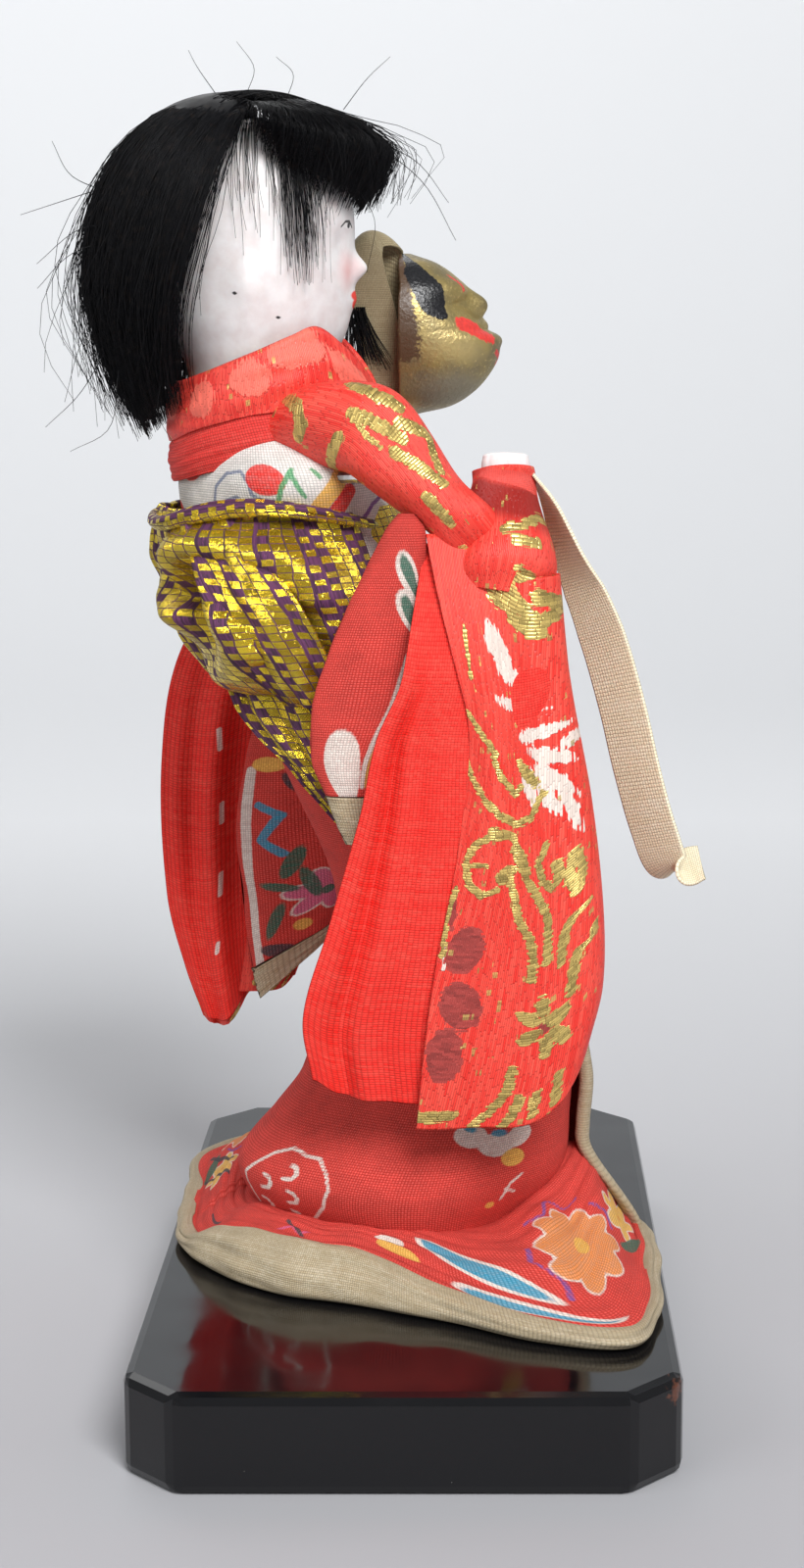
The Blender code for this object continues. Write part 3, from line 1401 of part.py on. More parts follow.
def main():
    """Build the doll."""
    for obj in list(bpy.data.objects):
        bpy.data.objects.remove(obj, do_unlink=True)
    parts = bpy.data.collections.new("mask_doll")
    cutters = bpy.data.collections.new("cutters")
    for collection in (parts, cutters):
        bpy.context.scene.collection.children.link(collection)

    lacquer = shade("black_lacquer", (0.012, 0.011, 0.012), 0.12)
    steel = shade("nail_steel", (0.45, 0.45, 0.46), 0.40, 1.0)
    wood = shade("plain_wood", (0.62, 0.45, 0.28), 0.70)
    straw = shade("wound_straw", (0.55, 0.47, 0.30), 0.90)
    skin = shade("white_shell_paint", (0.84, 0.81, 0.79), 0.45)
    black = shade("black_hair", (0.010, 0.010, 0.012), 0.45)
    cotton = shade("printed_red_cotton", (0.72, 0.06, 0.05), 0.85)
    plain = shade("plain_red_cotton", (0.78, 0.04, 0.03), 0.80)
    satin = shade("red_satin", (0.80, 0.08, 0.05), 0.35)
    brocade = shade("red_brocade", (0.78, 0.05, 0.03), 0.38)
    lame = shade("gold_lame", (0.72, 0.52, 0.12), 0.30, 0.8)
    gold = shade("gold_paint", (0.50, 0.38, 0.16), 0.38, 0.7)
    cream = shade("cream_silk", (0.78, 0.66, 0.45), 0.55)

    build_board(parts, cutters, lacquer, steel)
    leg, torso = build_blocks(parts, cutters, wood, straw)
    build_hem(parts, cotton, cream)
    bodice = build_kimono(parts, cotton)
    collar_room = build_collars(parts, cutters, satin, plain, cream)
    build_obi(parts, lame)
    build_arms(parts, cutters, torso, bodice, collar_room, steel, skin, brocade)
    build_sleeves(parts, brocade, plain)
    build_under_sleeves(parts, cotton, cream)
    build_mask(parts, gold, black, cream)
    build_hand_ribbon(parts, cream)

    pivot = bpy.data.objects.new("neck_axis", None)
    pivot.location = (NECK_X, 0, NECK_Z)
    bpy.context.scene.collection.objects.link(pivot)
    build_head(parts, cutters, pivot, skin, wood)
    build_hair(parts, pivot, black)


main()
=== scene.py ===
"""Dresses the kimono doll's solids: painted head, hair, silk, brocade, gold mask and lacquered board.

The doll looks along +X, its right side is -Y and +Z is up. All sizes are in metres unless a name or
a docstring says millimetres, which the cloth patterns use.
"""

import logging
import math
import random
from dataclasses import dataclass, field
from enum import Enum
from typing import Callable, Optional, Sequence, Union

import bmesh
import bpy
import numpy as np
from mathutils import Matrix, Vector

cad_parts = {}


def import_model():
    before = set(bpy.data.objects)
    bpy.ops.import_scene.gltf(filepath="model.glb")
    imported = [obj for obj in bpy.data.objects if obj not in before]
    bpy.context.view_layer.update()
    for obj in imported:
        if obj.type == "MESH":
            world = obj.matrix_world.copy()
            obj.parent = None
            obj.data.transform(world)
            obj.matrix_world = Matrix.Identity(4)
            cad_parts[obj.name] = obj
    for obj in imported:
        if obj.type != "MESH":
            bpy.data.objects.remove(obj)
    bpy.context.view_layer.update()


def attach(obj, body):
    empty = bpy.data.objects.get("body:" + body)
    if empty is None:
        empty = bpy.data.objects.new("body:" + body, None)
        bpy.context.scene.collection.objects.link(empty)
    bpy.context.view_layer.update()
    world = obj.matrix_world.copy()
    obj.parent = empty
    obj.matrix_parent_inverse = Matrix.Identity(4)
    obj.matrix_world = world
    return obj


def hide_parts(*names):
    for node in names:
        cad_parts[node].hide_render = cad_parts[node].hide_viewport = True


LOG = logging.getLogger("kimono_doll")

Array = np.ndarray
Colour = tuple[float, float, float]
Pair = tuple[float, float]
Table = Sequence[Sequence[float]]
Place = Callable[[Array, Array], Array]
Socket = bpy.types.NodeSocket
Value = Union[float, Sequence[float], Socket]

MM = 0.001
UV_MM = 100.0
DEPTH_LIMIT_MM = 3.0
WELD = 0.003 * MM
FULL_TURN = math.tau
BACK = math.pi
RIPPLE_WAVES = 6
RIPPLE_SCALE = 3.4
PETAL_REACH, PETAL_LENGTH, PETAL_WIDTH, HEART_SIZE = 0.28, 0.46, 0.26, 0.2


# Curves, folds and other number work


def follow(table: Table, t: Array) -> Array:
    """The other columns of a table at t, on a smooth curve through its rows.

    Args:
        table: Rows of a knot and its values.
        t: Where to read it.

    Returns:
        One row of values for each t.
    """
    rows = np.asarray(table, float)
    knots, values = rows[:, 0], rows[:, 1:]
    after = np.minimum(np.arange(len(knots)) + 1, len(knots) - 1)
    before = np.maximum(np.arange(len(knots)) - 1, 0)
    slopes = (values[after] - values[before]) / (knots[after] - knots[before])[:, None]
    t = np.clip(np.asarray(t, float), knots[0], knots[-1])
    i = np.clip(np.searchsorted(knots, t, side="right") - 1, 0, len(knots) - 2)
    span = (knots[i + 1] - knots[i])[:, None]
    s = (t - knots[i])[:, None] / span
    return (
        (2 * s**3 - 3 * s**2 + 1) * values[i]
        + (s**3 - 2 * s**2 + s) * span * slopes[i]
        + (3 * s**2 - 2 * s**3) * values[i + 1]
        + (s**3 - s**2) * span * slopes[i + 1]
    )


def bump(distance: Array, size: float) -> Array:
    """A round bump, 1 at its middle, that fades over its size."""
    return np.exp(-((distance / size) ** 2))


def ease(t: Array, low: float, high: float) -> Array:
    """0 below low and 1 above high, with a smooth step between them."""
    s = np.clip((t - low) / (high - low), 0.0, 1.0)
    return s * s * (3 - 2 * s)


def ripple(u: Array, v: Array, seed: int, waves: float) -> Array:
    """Soft uneven waves over a sheet, from about -1 to 1.

    Args:
        u: Place across, 0 to 1.
        v: Place along, 0 to 1.
        seed: Which of the many sets of waves.
        waves: About how many waves cross the sheet.

    Returns:
        The height of the waves at each place.
    """
    draw = random.Random(seed)
    total = np.zeros_like(u)
    for _ in range(RIPPLE_WAVES):
        across, along = draw.uniform(-1, 1) * waves, draw.uniform(-1, 1) * waves
        total += np.sin(FULL_TURN * (across * u + along * v) + draw.uniform(0, FULL_TURN))
    return total / RIPPLE_SCALE


def half_turned(angle: Array, turn: float = FULL_TURN) -> Array:
    """An angle brought to within half a turn of the front."""
    return (angle + turn / 2) % turn - turn / 2


def points(x: Array, y: Array, z: Array) -> Array:
    """Three arrays of coordinates as rows of points."""
    return np.stack(np.broadcast_arrays(x, y, z), axis=-1)


# Printed and woven motifs, drawn as distances on the flat cloth, in millimetres


class Ink(Enum):
    """A colour of a motif: the attribute that holds its distance, and the channel there."""

    GOLD = ("motif_a", 0)
    PALE = ("motif_a", 1)
    DARK = ("motif_a", 2)
    BLUE = ("motif_b", 0)
    GREEN = ("motif_b", 1)
    PINK = ("motif_b", 2)
    # On the gold mask this channel holds a painted highlight on the cheeks.
    YELLOW = ("motif_c", 0)
    # On the brocade this channel holds a painted shade that darkens the satin; on the cotton it is purple print.
    PURPLE = ("motif_c", 1)
    BAND = ("motif_c", 2)


@dataclass(frozen=True)
class Line:
    """A stroke of even width along a few points."""

    ink: Ink
    width: float
    route: Sequence[Pair]

    def depth(self, u: Array, v: Array) -> Array:
        """How far inside the stroke each place is, in millimetres, and less than 0 outside it."""
        nearest = np.full_like(u, 1e6)
        for (a, b), (c, d) in zip(self.route, self.route[1:]):
            length = max((c - a) ** 2 + (d - b) ** 2, 1e-9)
            s = np.clip(((u - a) * (c - a) + (v - b) * (d - b)) / length, 0, 1)
            nearest = np.minimum(nearest, np.hypot(u - a - s * (c - a), v - b - s * (d - b)))
        return self.width / 2 - nearest


@dataclass(frozen=True)
class Leaf:
    """A leaf, petal or spot: an ellipse that may be pointed, turned about its middle."""

    ink: Ink
    at: Pair
    length: float
    width: float
    turn: float = 0.0
    point: float = 0.0

    def depth(self, u: Array, v: Array) -> Array:
        """How far inside the leaf each place is, in millimetres, and less than 0 outside it."""
        angle = math.radians(self.turn)
        a = (u - self.at[0]) * math.cos(angle) + (v - self.at[1]) * math.sin(angle)
        b = (v - self.at[1]) * math.cos(angle) - (u - self.at[0]) * math.sin(angle)
        half = self.width / 2 * (1 - self.point * np.clip(a / self.length + 0.5, 0, 1))
        reach = np.sqrt((2 * a / self.length) ** 2 + (b / np.maximum(half, 0.05)) ** 2)
        return (1 - reach) * min(self.length, self.width) / 2


Shape = Union[Line, Leaf]


def strokes(ink: Ink, width: float, *routes: Table) -> list[Shape]:
    """Strokes of one ink and width along several routes."""
    return [Line(ink, width, route) for route in routes]


def leaves(ink: Ink, *rows: Sequence[float]) -> list[Shape]:
    """Leaves of one ink, from rows of place, length, width, turn and point."""
    return [Leaf(ink, (row[0], row[1]), *row[2:]) for row in rows]


def flower(ink: Ink, heart: Ink, at: Pair, size: float, petals: int,
           edge: float = 0.5) -> list[Shape]:
    """A flower with a pale edge round its petals and a heart of another colour."""
    shapes: list[Shape] = []
    reach, length, width = size * PETAL_REACH, size * PETAL_LENGTH, size * PETAL_WIDTH
    for i in range(petals):
        turn = 360 * (i + 0.3) / petals
        middle = (at[0] + reach * math.cos(math.radians(turn)), at[1] + reach * math.sin(math.radians(turn)))
        shapes.append(Leaf(Ink.PALE, middle, length + edge, width + edge, turn))
        shapes.append(Leaf(ink, middle, length, width, turn))
    shapes.append(Leaf(heart, at, size * HEART_SIZE, size * HEART_SIZE))
    return shapes


def moved(shapes: Sequence[Shape], du: float, dv: float, flip: bool = False) -> list[Shape]:
    """The same motif at another place on the cloth, mirrored across if flip is set."""
    sign = -1 if flip else 1
    out: list[Shape] = []
    for shape in shapes:
        if isinstance(shape, Line):
            route = [(sign * a + du, b + dv) for a, b in shape.route]
            out.append(Line(shape.ink, shape.width, route))
        else:
            at = (sign * shape.at[0] + du, shape.at[1] + dv)
            turn = 180 - shape.turn if flip else shape.turn
            out.append(Leaf(shape.ink, at, shape.length, shape.width, turn, shape.point))
    return out


def paint(mesh: bpy.types.Mesh, u: Array, v: Array, shapes: Sequence[Shape]) -> None:
    """Keep, at each vertex, how far inside the nearest motif of each ink it is.

    Args:
        mesh: The sheet's mesh.
        u: Place of each vertex across the flat cloth, in millimetres.
        v: Place of each vertex along it.
        shapes: The motifs.
    """
    layers: dict[str, Array] = {}
    for ink in Ink:
        layers.setdefault(ink.value[0], np.full((len(u), 4), -DEPTH_LIMIT_MM))
    for shape in shapes:
        name, channel = shape.ink.value
        layer = layers[name]
        layer[:, channel] = np.maximum(layer[:, channel], shape.depth(u, v))
    for name, layer in layers.items():
        layer[:, 3] = 1.0
        kept = mesh.attributes.new(name, "FLOAT_COLOR", "POINT")
        kept.data.foreach_set("color", np.clip(layer, -DEPTH_LIMIT_MM, DEPTH_LIMIT_MM).astype(np.float32).ravel())


# Meshes


@dataclass(frozen=True)
class Sheet:
    """A grid that a place function shapes: cloth, skin or shell.

    Attributes:
        name: The piece's name.
        columns: Faces across.
        rows: Faces along.
        flat: Width and length of the flat cloth, in millimetres.
        wall: Thickness that Solidify gives it, or 0.
        ring: Whether the two sides meet.
    """

    name: str
    columns: int
    rows: int
    flat: Pair
    wall: float = 0.0
    ring: bool = False

    def make(self, place: Place, shapes: Sequence[Shape] = (), caps: bool = False) -> bpy.types.Object:
        """Build the sheet.

        Args:
            place: Gives a point for each place across and along, both from 0 to 1.
            shapes: Motifs on the cloth.
            caps: Whether the open ends are closed with a face.

        Returns:
            The new object.
        """
        mesh = bpy.data.meshes.new(self.name)
        bm = bmesh.new()
        bm.loops.layers.uv.new("cloth")
        bmesh.ops.create_grid(bm, x_segments=self.columns, y_segments=self.rows, size=0.5, calc_uvs=True)
        bm.to_mesh(mesh)
        bm.free()
        flat = np.empty(len(mesh.vertices) * 3)
        mesh.vertices.foreach_get("co", flat)
        u, v = flat[0::3] + 0.5, 0.5 - flat[1::3]
        mesh.vertices.foreach_set("co", place(u, v).ravel())
        index = np.empty(len(mesh.loops), int)
        mesh.loops.foreach_get("vertex_index", index)
        cloth = np.stack((u * self.flat[0], v * self.flat[1]), axis=-1)
        mesh.uv_layers["cloth"].data.foreach_set("uv", (cloth[index] / UV_MM).ravel())
        paint(mesh, cloth[:, 0], cloth[:, 1], shapes)
        obj = bpy.data.objects.new(self.name, mesh)
        bpy.context.scene.collection.objects.link(obj)
        bm = bmesh.new()
        bm.from_mesh(mesh)
        if self.ring or caps:
            bmesh.ops.remove_doubles(bm, verts=bm.verts, dist=WELD)
        if caps:
            rim = [edge for edge in bm.edges if edge.is_boundary]
            bmesh.ops.holes_fill(bm, edges=rim, sides=0)
        bmesh.ops.recalc_face_normals(bm, faces=bm.faces)
        bm.to_mesh(mesh)
        bm.free()
        mesh.shade_smooth()
        if self.wall:
            wall = obj.modifiers.new("wall", "SOLIDIFY")
            wall.thickness = self.wall
            wall.offset = 0.0
        return obj


def strands(name: str, paths: Sequence[Array], radius: float, tip: float = 0.5) -> bpy.types.Object:
    """Many thin fibres as one mesh, each a bevelled curve that thins to its tip.

    Args:
        name: The piece's name.
        paths: The points of each fibre.
        radius: Half its thickness at the root.
        tip: The share of that left at the tip.

    Returns:
        The mesh object.
    """
    curve = bpy.data.curves.new(name, "CURVE")
    curve.dimensions = "3D"
    curve.bevel_depth = radius
    curve.bevel_resolution = 0
    curve.use_fill_caps = True
    for path in paths:
        spline = curve.splines.new("POLY")
        spline.points.add(len(path) - 1)
        spline.points.foreach_set("co", np.c_[path, np.ones(len(path))].ravel())
        spline.points.foreach_set("radius", np.linspace(1.0, tip, len(path)))
    guide = bpy.data.objects.new(name + "_guide", curve)
    bpy.context.scene.collection.objects.link(guide)
    bpy.context.view_layer.update()
    mesh = bpy.data.meshes.new_from_object(guide.evaluated_get(bpy.context.evaluated_depsgraph_get()))
    bpy.data.objects.remove(guide)
    mesh.name = name
    mesh.shade_smooth()
    obj = bpy.data.objects.new(name, mesh)
    bpy.context.scene.collection.objects.link(obj)
    return obj


# Shader nodes


class Graph:
    """A node tree with short calls for the nodes that the finishes use."""

    def __init__(self, tree: bpy.types.NodeTree) -> None:
        """Start on a node tree."""
        self.tree = tree

    def plug(self, socket: Socket, value: Value) -> None:
        """Link a socket to another, or set its own value."""
        if isinstance(value, Socket):
            self.tree.links.new(value, socket)
        elif socket.type == "RGBA" and len(value) == 3:
            socket.default_value = (*value, 1.0)
        else:
            socket.default_value = value

    def node(self, kind: str, settings: Optional[dict] = None, **values: Value) -> bpy.types.Node:
        """Add a node.

        Args:
            kind: The node's type, without its ShaderNode prefix.
            settings: Its own settings.
            **values: What goes into its inputs, with an underscore for a space.

        Returns:
            The node.
        """
        node = self.tree.nodes.new("ShaderNode" + kind)
        for key, value in (settings or {}).items():
            setattr(node, key, value)
        for key, value in values.items():
            self.plug(node.inputs[key.replace("_", " ")], value)
        return node

    def math(self, operation: str, *values: Value) -> Socket:
        """The result of a Math node."""
        node = self.node("Math", {"operation": operation})
        for socket, value in zip(node.inputs, values):
            self.plug(socket, value)
        return node.outputs[0]

    def spread(self, value: Value, low: float, high: float, first: float = 0.0,
               last: float = 1.0) -> Socket:
        """A value from one range on another, held inside it."""
        node = self.node("MapRange", Value=value, From_Min=low, From_Max=high, To_Min=first, To_Max=last)
        return node.outputs[0]

    def mix(self, share: Value, first: Value, second: Value) -> Socket:
        """Two colours mixed."""
        node = self.node("Mix", {"data_type": "RGBA"})
        for i, value in ((0, share), (6, first), (7, second)):
            self.plug(node.inputs[i], value)
        return node.outputs[2]

    def scaled(self, vector: Value, factor: Value) -> Socket:
        """A colour or a vector, multiplied by a factor."""
        return self.node("VectorMath", {"operation": "SCALE"}, Vector=vector, Scale=factor).outputs[0]

    def plus(self, first: Value, second: Value) -> Socket:
        """The sum of two values."""
        return self.math("ADD", first, second)

    def minus(self, first: Value, second: Value) -> Socket:
        """The first value less the second."""
        return self.math("SUBTRACT", first, second)

    def times(self, first: Value, second: Value) -> Socket:
        """The product of two values."""
        return self.math("MULTIPLY", first, second)

    def divide(self, first: Value, second: Value) -> Socket:
        """The first value divided by the second."""
        return self.math("DIVIDE", first, second)

    def hump(self, value: Value) -> Socket:
        """A smooth hump over each whole step of a value, 0 at its ends and 1 at its middle."""
        return self.math("SINE", self.times(self.math("FRACT", value), math.pi))

    def between(self, share: Value, first: float, last: float) -> Socket:
        """A share from 0 to 1, laid between two values."""
        return self.spread(share, 0.0, 1.0, first, last)

    def split(self, vector: Socket) -> list[Socket]:
        """The three parts of a vector."""
        return list(self.node("SeparateXYZ", Vector=vector).outputs)

    def join(self, x: Value, y: Value, z: Value = 0.0) -> Socket:
        """Three numbers as a vector."""
        return self.node("CombineXYZ", X=x, Y=y, Z=z).outputs[0]

    def chance(self, x: Value, y: Value, seed: float = 0.0) -> Socket:
        """A random number for each whole x and y."""
        return self.node("TexWhiteNoise", {"noise_dimensions": "3D"},
                         Vector=self.join(x, y, seed)).outputs["Value"]

    def cloud(self, vector: Value, scale: float, detail: float = 3.0) -> Socket:
        """Soft noise from 0 to 1."""
        return self.node("TexNoise", Vector=vector, Scale=scale, Detail=detail).outputs["Fac"]

    def group(self, tree: bpy.types.NodeTree, **values: Value) -> dict[str, Socket]:
        """Place a node group and give its outputs by name."""
        node = self.tree.nodes.new("ShaderNodeGroup")
        node.node_tree = tree
        for key, value in values.items():
            self.plug(node.inputs[key.replace("_", " ")], value)
        return {socket.name: socket for socket in node.outputs}


def effect(name: str, inputs: dict[str, tuple[str, float]], outputs: Sequence[str],
           wire: Callable[[Graph, dict[str, Socket]], dict[str, Socket]]) -> bpy.types.NodeTree:
    """Build a shader node group.

    Args:
        name: The group's name.
        inputs: Each input's kind and first value.
        outputs: The names of its outputs, all plain values.
        wire: Wires the inside, from the inputs to the outputs.

    Returns:
        The group.
    """
    tree = bpy.data.node_groups.new(name, "ShaderNodeTree")
    for label, (kind, first) in inputs.items():
        socket = tree.interface.new_socket(name=label, in_out="INPUT", socket_type="NodeSocket" + kind)
        if kind == "Float":
            socket.default_value = first
    for label in outputs:
        tree.interface.new_socket(name=label, in_out="OUTPUT", socket_type="NodeSocketFloat")
    start, end = tree.nodes.new("NodeGroupInput"), tree.nodes.new("NodeGroupOutput")
    graph = Graph(tree)
    for label, socket in wire(graph, {s.name: s for s in start.outputs}).items():
        graph.plug(end.inputs[label], socket)
    return tree


class Effects:
    """The shader node groups that more than one finish uses."""

    def __init__(self) -> None:
        """Build every group."""
        vector = ("Vector", 0.0)
        self.weave = effect(
            "crossed_threads",
            {"Place": vector, "Pitch": ("Float", 0.3)},
            ("Height", "Tone"),
            self._weave,
        )
        self.floats = effect(
            "long_threads",
            {"Place": vector, "Pitch": ("Float", 0.2), "Length": ("Float", 2.0), "Seed": ("Float", 0.0)},
            ("Height", "Tone", "End"),
            self._floats,
        )
        self.motif = effect(
            "motif_edge",
            {"Depth": ("Float", 0.0), "Jitter": ("Float", 0.0), "Ragged": ("Float", 0.2),
             "Softness": ("Float", 0.08)},
            ("Mask",),
            self._motif,
        )
        self.wear = effect(
            "dust_and_mottle",
            {"Place": vector, "Scale": ("Float", 1.0), "Amount": ("Float", 0.1)},
            ("Mottle", "Specks"),
            self._wear,
        )

    @staticmethod
    def _weave(graph: Graph, given: dict[str, Socket]) -> dict[str, Socket]:
        """Plain weave: threads that pass over and under each other."""
        x, y, _ = graph.split(given["Place"])
        x, y = graph.divide(x, given["Pitch"]), graph.divide(y, given["Pitch"])
        column, row = graph.math("FLOOR", x), graph.math("FLOOR", y)
        over = graph.math("PINGPONG", graph.plus(column, row), 1.0)
        across = graph.hump(x)
        along = graph.hump(y)
        warp = graph.times(graph.math("POWER", across, 0.7), graph.math("POWER", along, 0.35))
        weft = graph.times(graph.math("POWER", along, 0.7), graph.math("POWER", across, 0.35))
        height = graph.plus(graph.times(warp, over), graph.times(graph.times(weft, 0.86), graph.minus(1.0, over)))
        by_cell = graph.chance(column, row)
        by_thread = graph.chance(row, 3.5)
        tone = graph.plus(graph.times(by_cell, 0.6), graph.times(by_thread, 0.4))
        return {"Height": height, "Tone": tone}

    @staticmethod
    def _floats(graph: Graph, given: dict[str, Socket]) -> dict[str, Socket]:
        """Satin: long threads side by side, each broken at its own places."""
        x, y, _ = graph.split(given["Place"])
        x = graph.divide(x, given["Pitch"])
        column = graph.math("FLOOR", x)
        shift = graph.times(graph.chance(column, given["Seed"]), 7.0)
        y = graph.plus(graph.divide(y, given["Length"]), shift)
        row = graph.math("FLOOR", y)
        across = graph.hump(x)
        along = graph.hump(y)
        end = graph.spread(along, 0.0, 0.25)
        height = graph.times(graph.math("POWER", across, 0.6), end)
        return {"Height": height, "Tone": graph.chance(column, row, 1.7), "End": end}

    @staticmethod
    def _motif(graph: Graph, given: dict[str, Socket]) -> dict[str, Socket]:
        """The mask of a motif from its depth, with an edge that the threads make ragged."""
        ragged = graph.times(graph.minus(given["Jitter"], 0.5), given["Ragged"])
        depth = graph.plus(given["Depth"], ragged)
        mask = graph.plus(graph.divide(depth, given["Softness"]), 0.5)
        return {"Mask": graph.node("Clamp", Value=mask).outputs[0]}

    @staticmethod
    def _wear(graph: Graph, given: dict[str, Socket]) -> dict[str, Socket]:
        """Uneven tone and a few specks of dust."""
        place = graph.scaled(given["Place"], given["Scale"])
        mottle = graph.cloud(place, 1.0, 4.0)
        cells = graph.node("TexVoronoi", {"voronoi_dimensions": "3D"}, Vector=place, Scale=2.2)
        near = graph.spread(cells.outputs["Distance"], 0.02, 0.07, 1.0, 0.0)
        few = graph.math("LESS_THAN", graph.split(cells.outputs["Color"])[0], given["Amount"])
        return {"Mottle": mottle, "Specks": graph.times(near, few)}


class Surface(Graph):
    """A material that is being wired, with its Principled shader."""

    def __init__(self, name: str, effects: Effects) -> None:
        """Start a material with its shader and the shared effects."""
        self.material = bpy.data.materials.new(name)
        self.material.use_nodes = True
        super().__init__(self.material.node_tree)
        self.shader = self.tree.nodes["Principled BSDF"]
        self.effects = effects

    def set(self, **values: Value) -> None:
        """Plug values into the shader."""
        for key, value in values.items():
            self.plug(self.shader.inputs[key.replace("_", " ")], value)

    def cloth_place(self) -> Socket:
        """Place on the flat cloth, in millimetres."""
        uv = self.node("UVMap", {"uv_map": "cloth"}).outputs[0]
        return self.scaled(uv, UV_MM)

    def object_place(self) -> Socket:
        """Place in the part's own frame, in millimetres."""
        where = self.node("TexCoord").outputs["Object"]
        return self.scaled(where, 1 / MM)

    def depth_of(self, ink: Ink) -> Socket:
        """How far inside a motif of one ink the place is, in millimetres."""
        name, channel = ink.value
        colour = self.node("Attribute", {"attribute_name": name}).outputs["Color"]
        return self.split(colour)[channel]

    def mask_of(self, ink: Ink, jitter: Value = 0.5, ragged: float = 0.0, softness: float = 0.1) -> Socket:
        """The mask of one ink, from 0 to 1."""
        return self.group(self.effects.motif, Depth=self.depth_of(ink), Jitter=jitter, Ragged=ragged,
                          Softness=softness)["Mask"]

    def raise_by(self, height: Socket, depth: float, below: Optional[Socket] = None) -> Socket:
        """A normal from a height, with its depth in millimetres."""
        node = self.node("Bump", Height=height, Distance=depth * MM, Strength=1.0)
        if below is not None:
            self.plug(node.inputs["Normal"], below)
        return node.outputs[0]


# Finishes


class Finish:
    """What a piece looks like, which wires its own material."""

    def build(self, name: str, effects: Effects) -> bpy.types.Material:
        """Make the material."""
        s = Surface(name, effects)
        self.wire(s)
        return s.material


@dataclass(frozen=True)
class Lacquer(Finish):
    """Black lacquer with faint ripples, dust and one worn corner."""

    black: Colour = (0.004, 0.004, 0.005)
    dust: Colour = (0.30, 0.29, 0.27)
    rust: Colour = (0.10, 0.035, 0.02)
    worn_corner: tuple[float, float, float] = (31.5, -50.5, 10.5)
    chip_mm: Pair = (2.9, 3.6)
    rough: Pair = (0.06, 0.15)
    specular: float = 0.42
    ripple_mm: float = 0.10

    def wire(self, s: Surface) -> None:
        """Wire the shader."""
        place = s.object_place()
        wear = s.group(s.effects.wear, Place=place, Scale=0.55, Amount=0.05)
        away = s.node("VectorMath", {"operation": "DISTANCE"}, Vector=place)
        away.inputs[1].default_value = self.worn_corner
        reach = s.plus(away.outputs["Value"], s.times(s.cloud(place, 1.1), 4.0))
        chip = s.spread(reach, *self.chip_mm, 1.0, 0.0)
        colour = s.mix(s.times(wear["Specks"], 0.8), self.black, self.dust)
        s.set(Base_Color=s.mix(chip, colour, self.rust), Specular_IOR_Level=self.specular)
        rough = s.spread(s.cloud(place, 0.12), 0.3, 0.7, *self.rough)
        s.set(Roughness=s.plus(rough, s.times(wear["Specks"], 0.5)))
        s.set(Normal=s.raise_by(s.cloud(place, 0.09, 1.0), self.ripple_mm))


@dataclass(frozen=True)
class ShellPaint(Finish):
    """Matt shell-white paint over wood, with the face's colours where the mesh has them."""

    white: Colour = (0.80, 0.77, 0.765)
    shade: Colour = (0.70, 0.63, 0.62)
    blush: Colour = (0.86, 0.38, 0.36)
    lips: Colour = (0.78, 0.05, 0.03)
    line: Colour = (0.02, 0.016, 0.016)
    soil: Colour = (0.20, 0.13, 0.09)
    eye_white: Colour = (0.82, 0.80, 0.79)
    brow_tint: float = 6.0
    blush_share: float = 0.55
    soil_share: float = 0.65
    rough: Pair = (0.38, 0.52)
    subsurface: float = 0.06
    subsurface_reach: tuple[float, float, float] = (0.0012, 0.0006, 0.0004)
    relief_mm: float = 0.02

    def wire(self, s: Surface) -> None:
        """Wire the shader."""
        place = s.object_place()
        wear = s.group(s.effects.wear, Place=place, Scale=0.5, Amount=0.035)
        colour = s.mix(s.spread(wear["Mottle"], 0.35, 0.75), self.white, self.shade)
        cheeks = s.spread(s.depth_of(Ink.PINK), -2.0, 1.6)
        colour = s.mix(s.times(cheeks, self.blush_share), colour, self.blush)
        colour = s.mix(s.times(wear["Specks"], self.soil_share), colour, self.soil)
        colour = s.mix(s.mask_of(Ink.YELLOW, softness=0.7), colour, s.scaled(self.line, self.brow_tint))
        colour = s.mix(s.mask_of(Ink.PALE, softness=0.2), colour, self.eye_white)
        colour = s.mix(s.mask_of(Ink.DARK, softness=0.12), colour, self.line)
        colour = s.mix(s.mask_of(Ink.BAND, softness=0.25), colour, self.lips)
        s.set(Base_Color=colour, Roughness=s.spread(wear["Mottle"], 0.3, 0.7, *self.rough))
        s.set(Subsurface_Weight=self.subsurface, Subsurface_Radius=self.subsurface_reach)
        s.set(Normal=s.raise_by(s.cloud(place, 1.6), self.relief_mm))


@dataclass(frozen=True)
class Hair(Finish):
    """Black thread hair, a little brown where it has faded."""

    black: Colour = (0.004, 0.004, 0.005)
    faded: Colour = (0.030, 0.020, 0.014)
    faded_share: float = 0.6
    rough: Pair = (0.40, 0.62)
    specular: float = 0.13

    def wire(self, s: Surface) -> None:
        """Wire the shader."""
        place = s.object_place()
        patch = s.spread(s.cloud(place, 0.9, 5.0), 0.55, 0.85)
        s.set(Base_Color=s.mix(s.times(patch, self.faded_share), self.black, self.faded))
        s.set(Roughness=s.spread(s.cloud(place, 0.4), 0.3, 0.7, *self.rough), Specular_IOR_Level=self.specular)


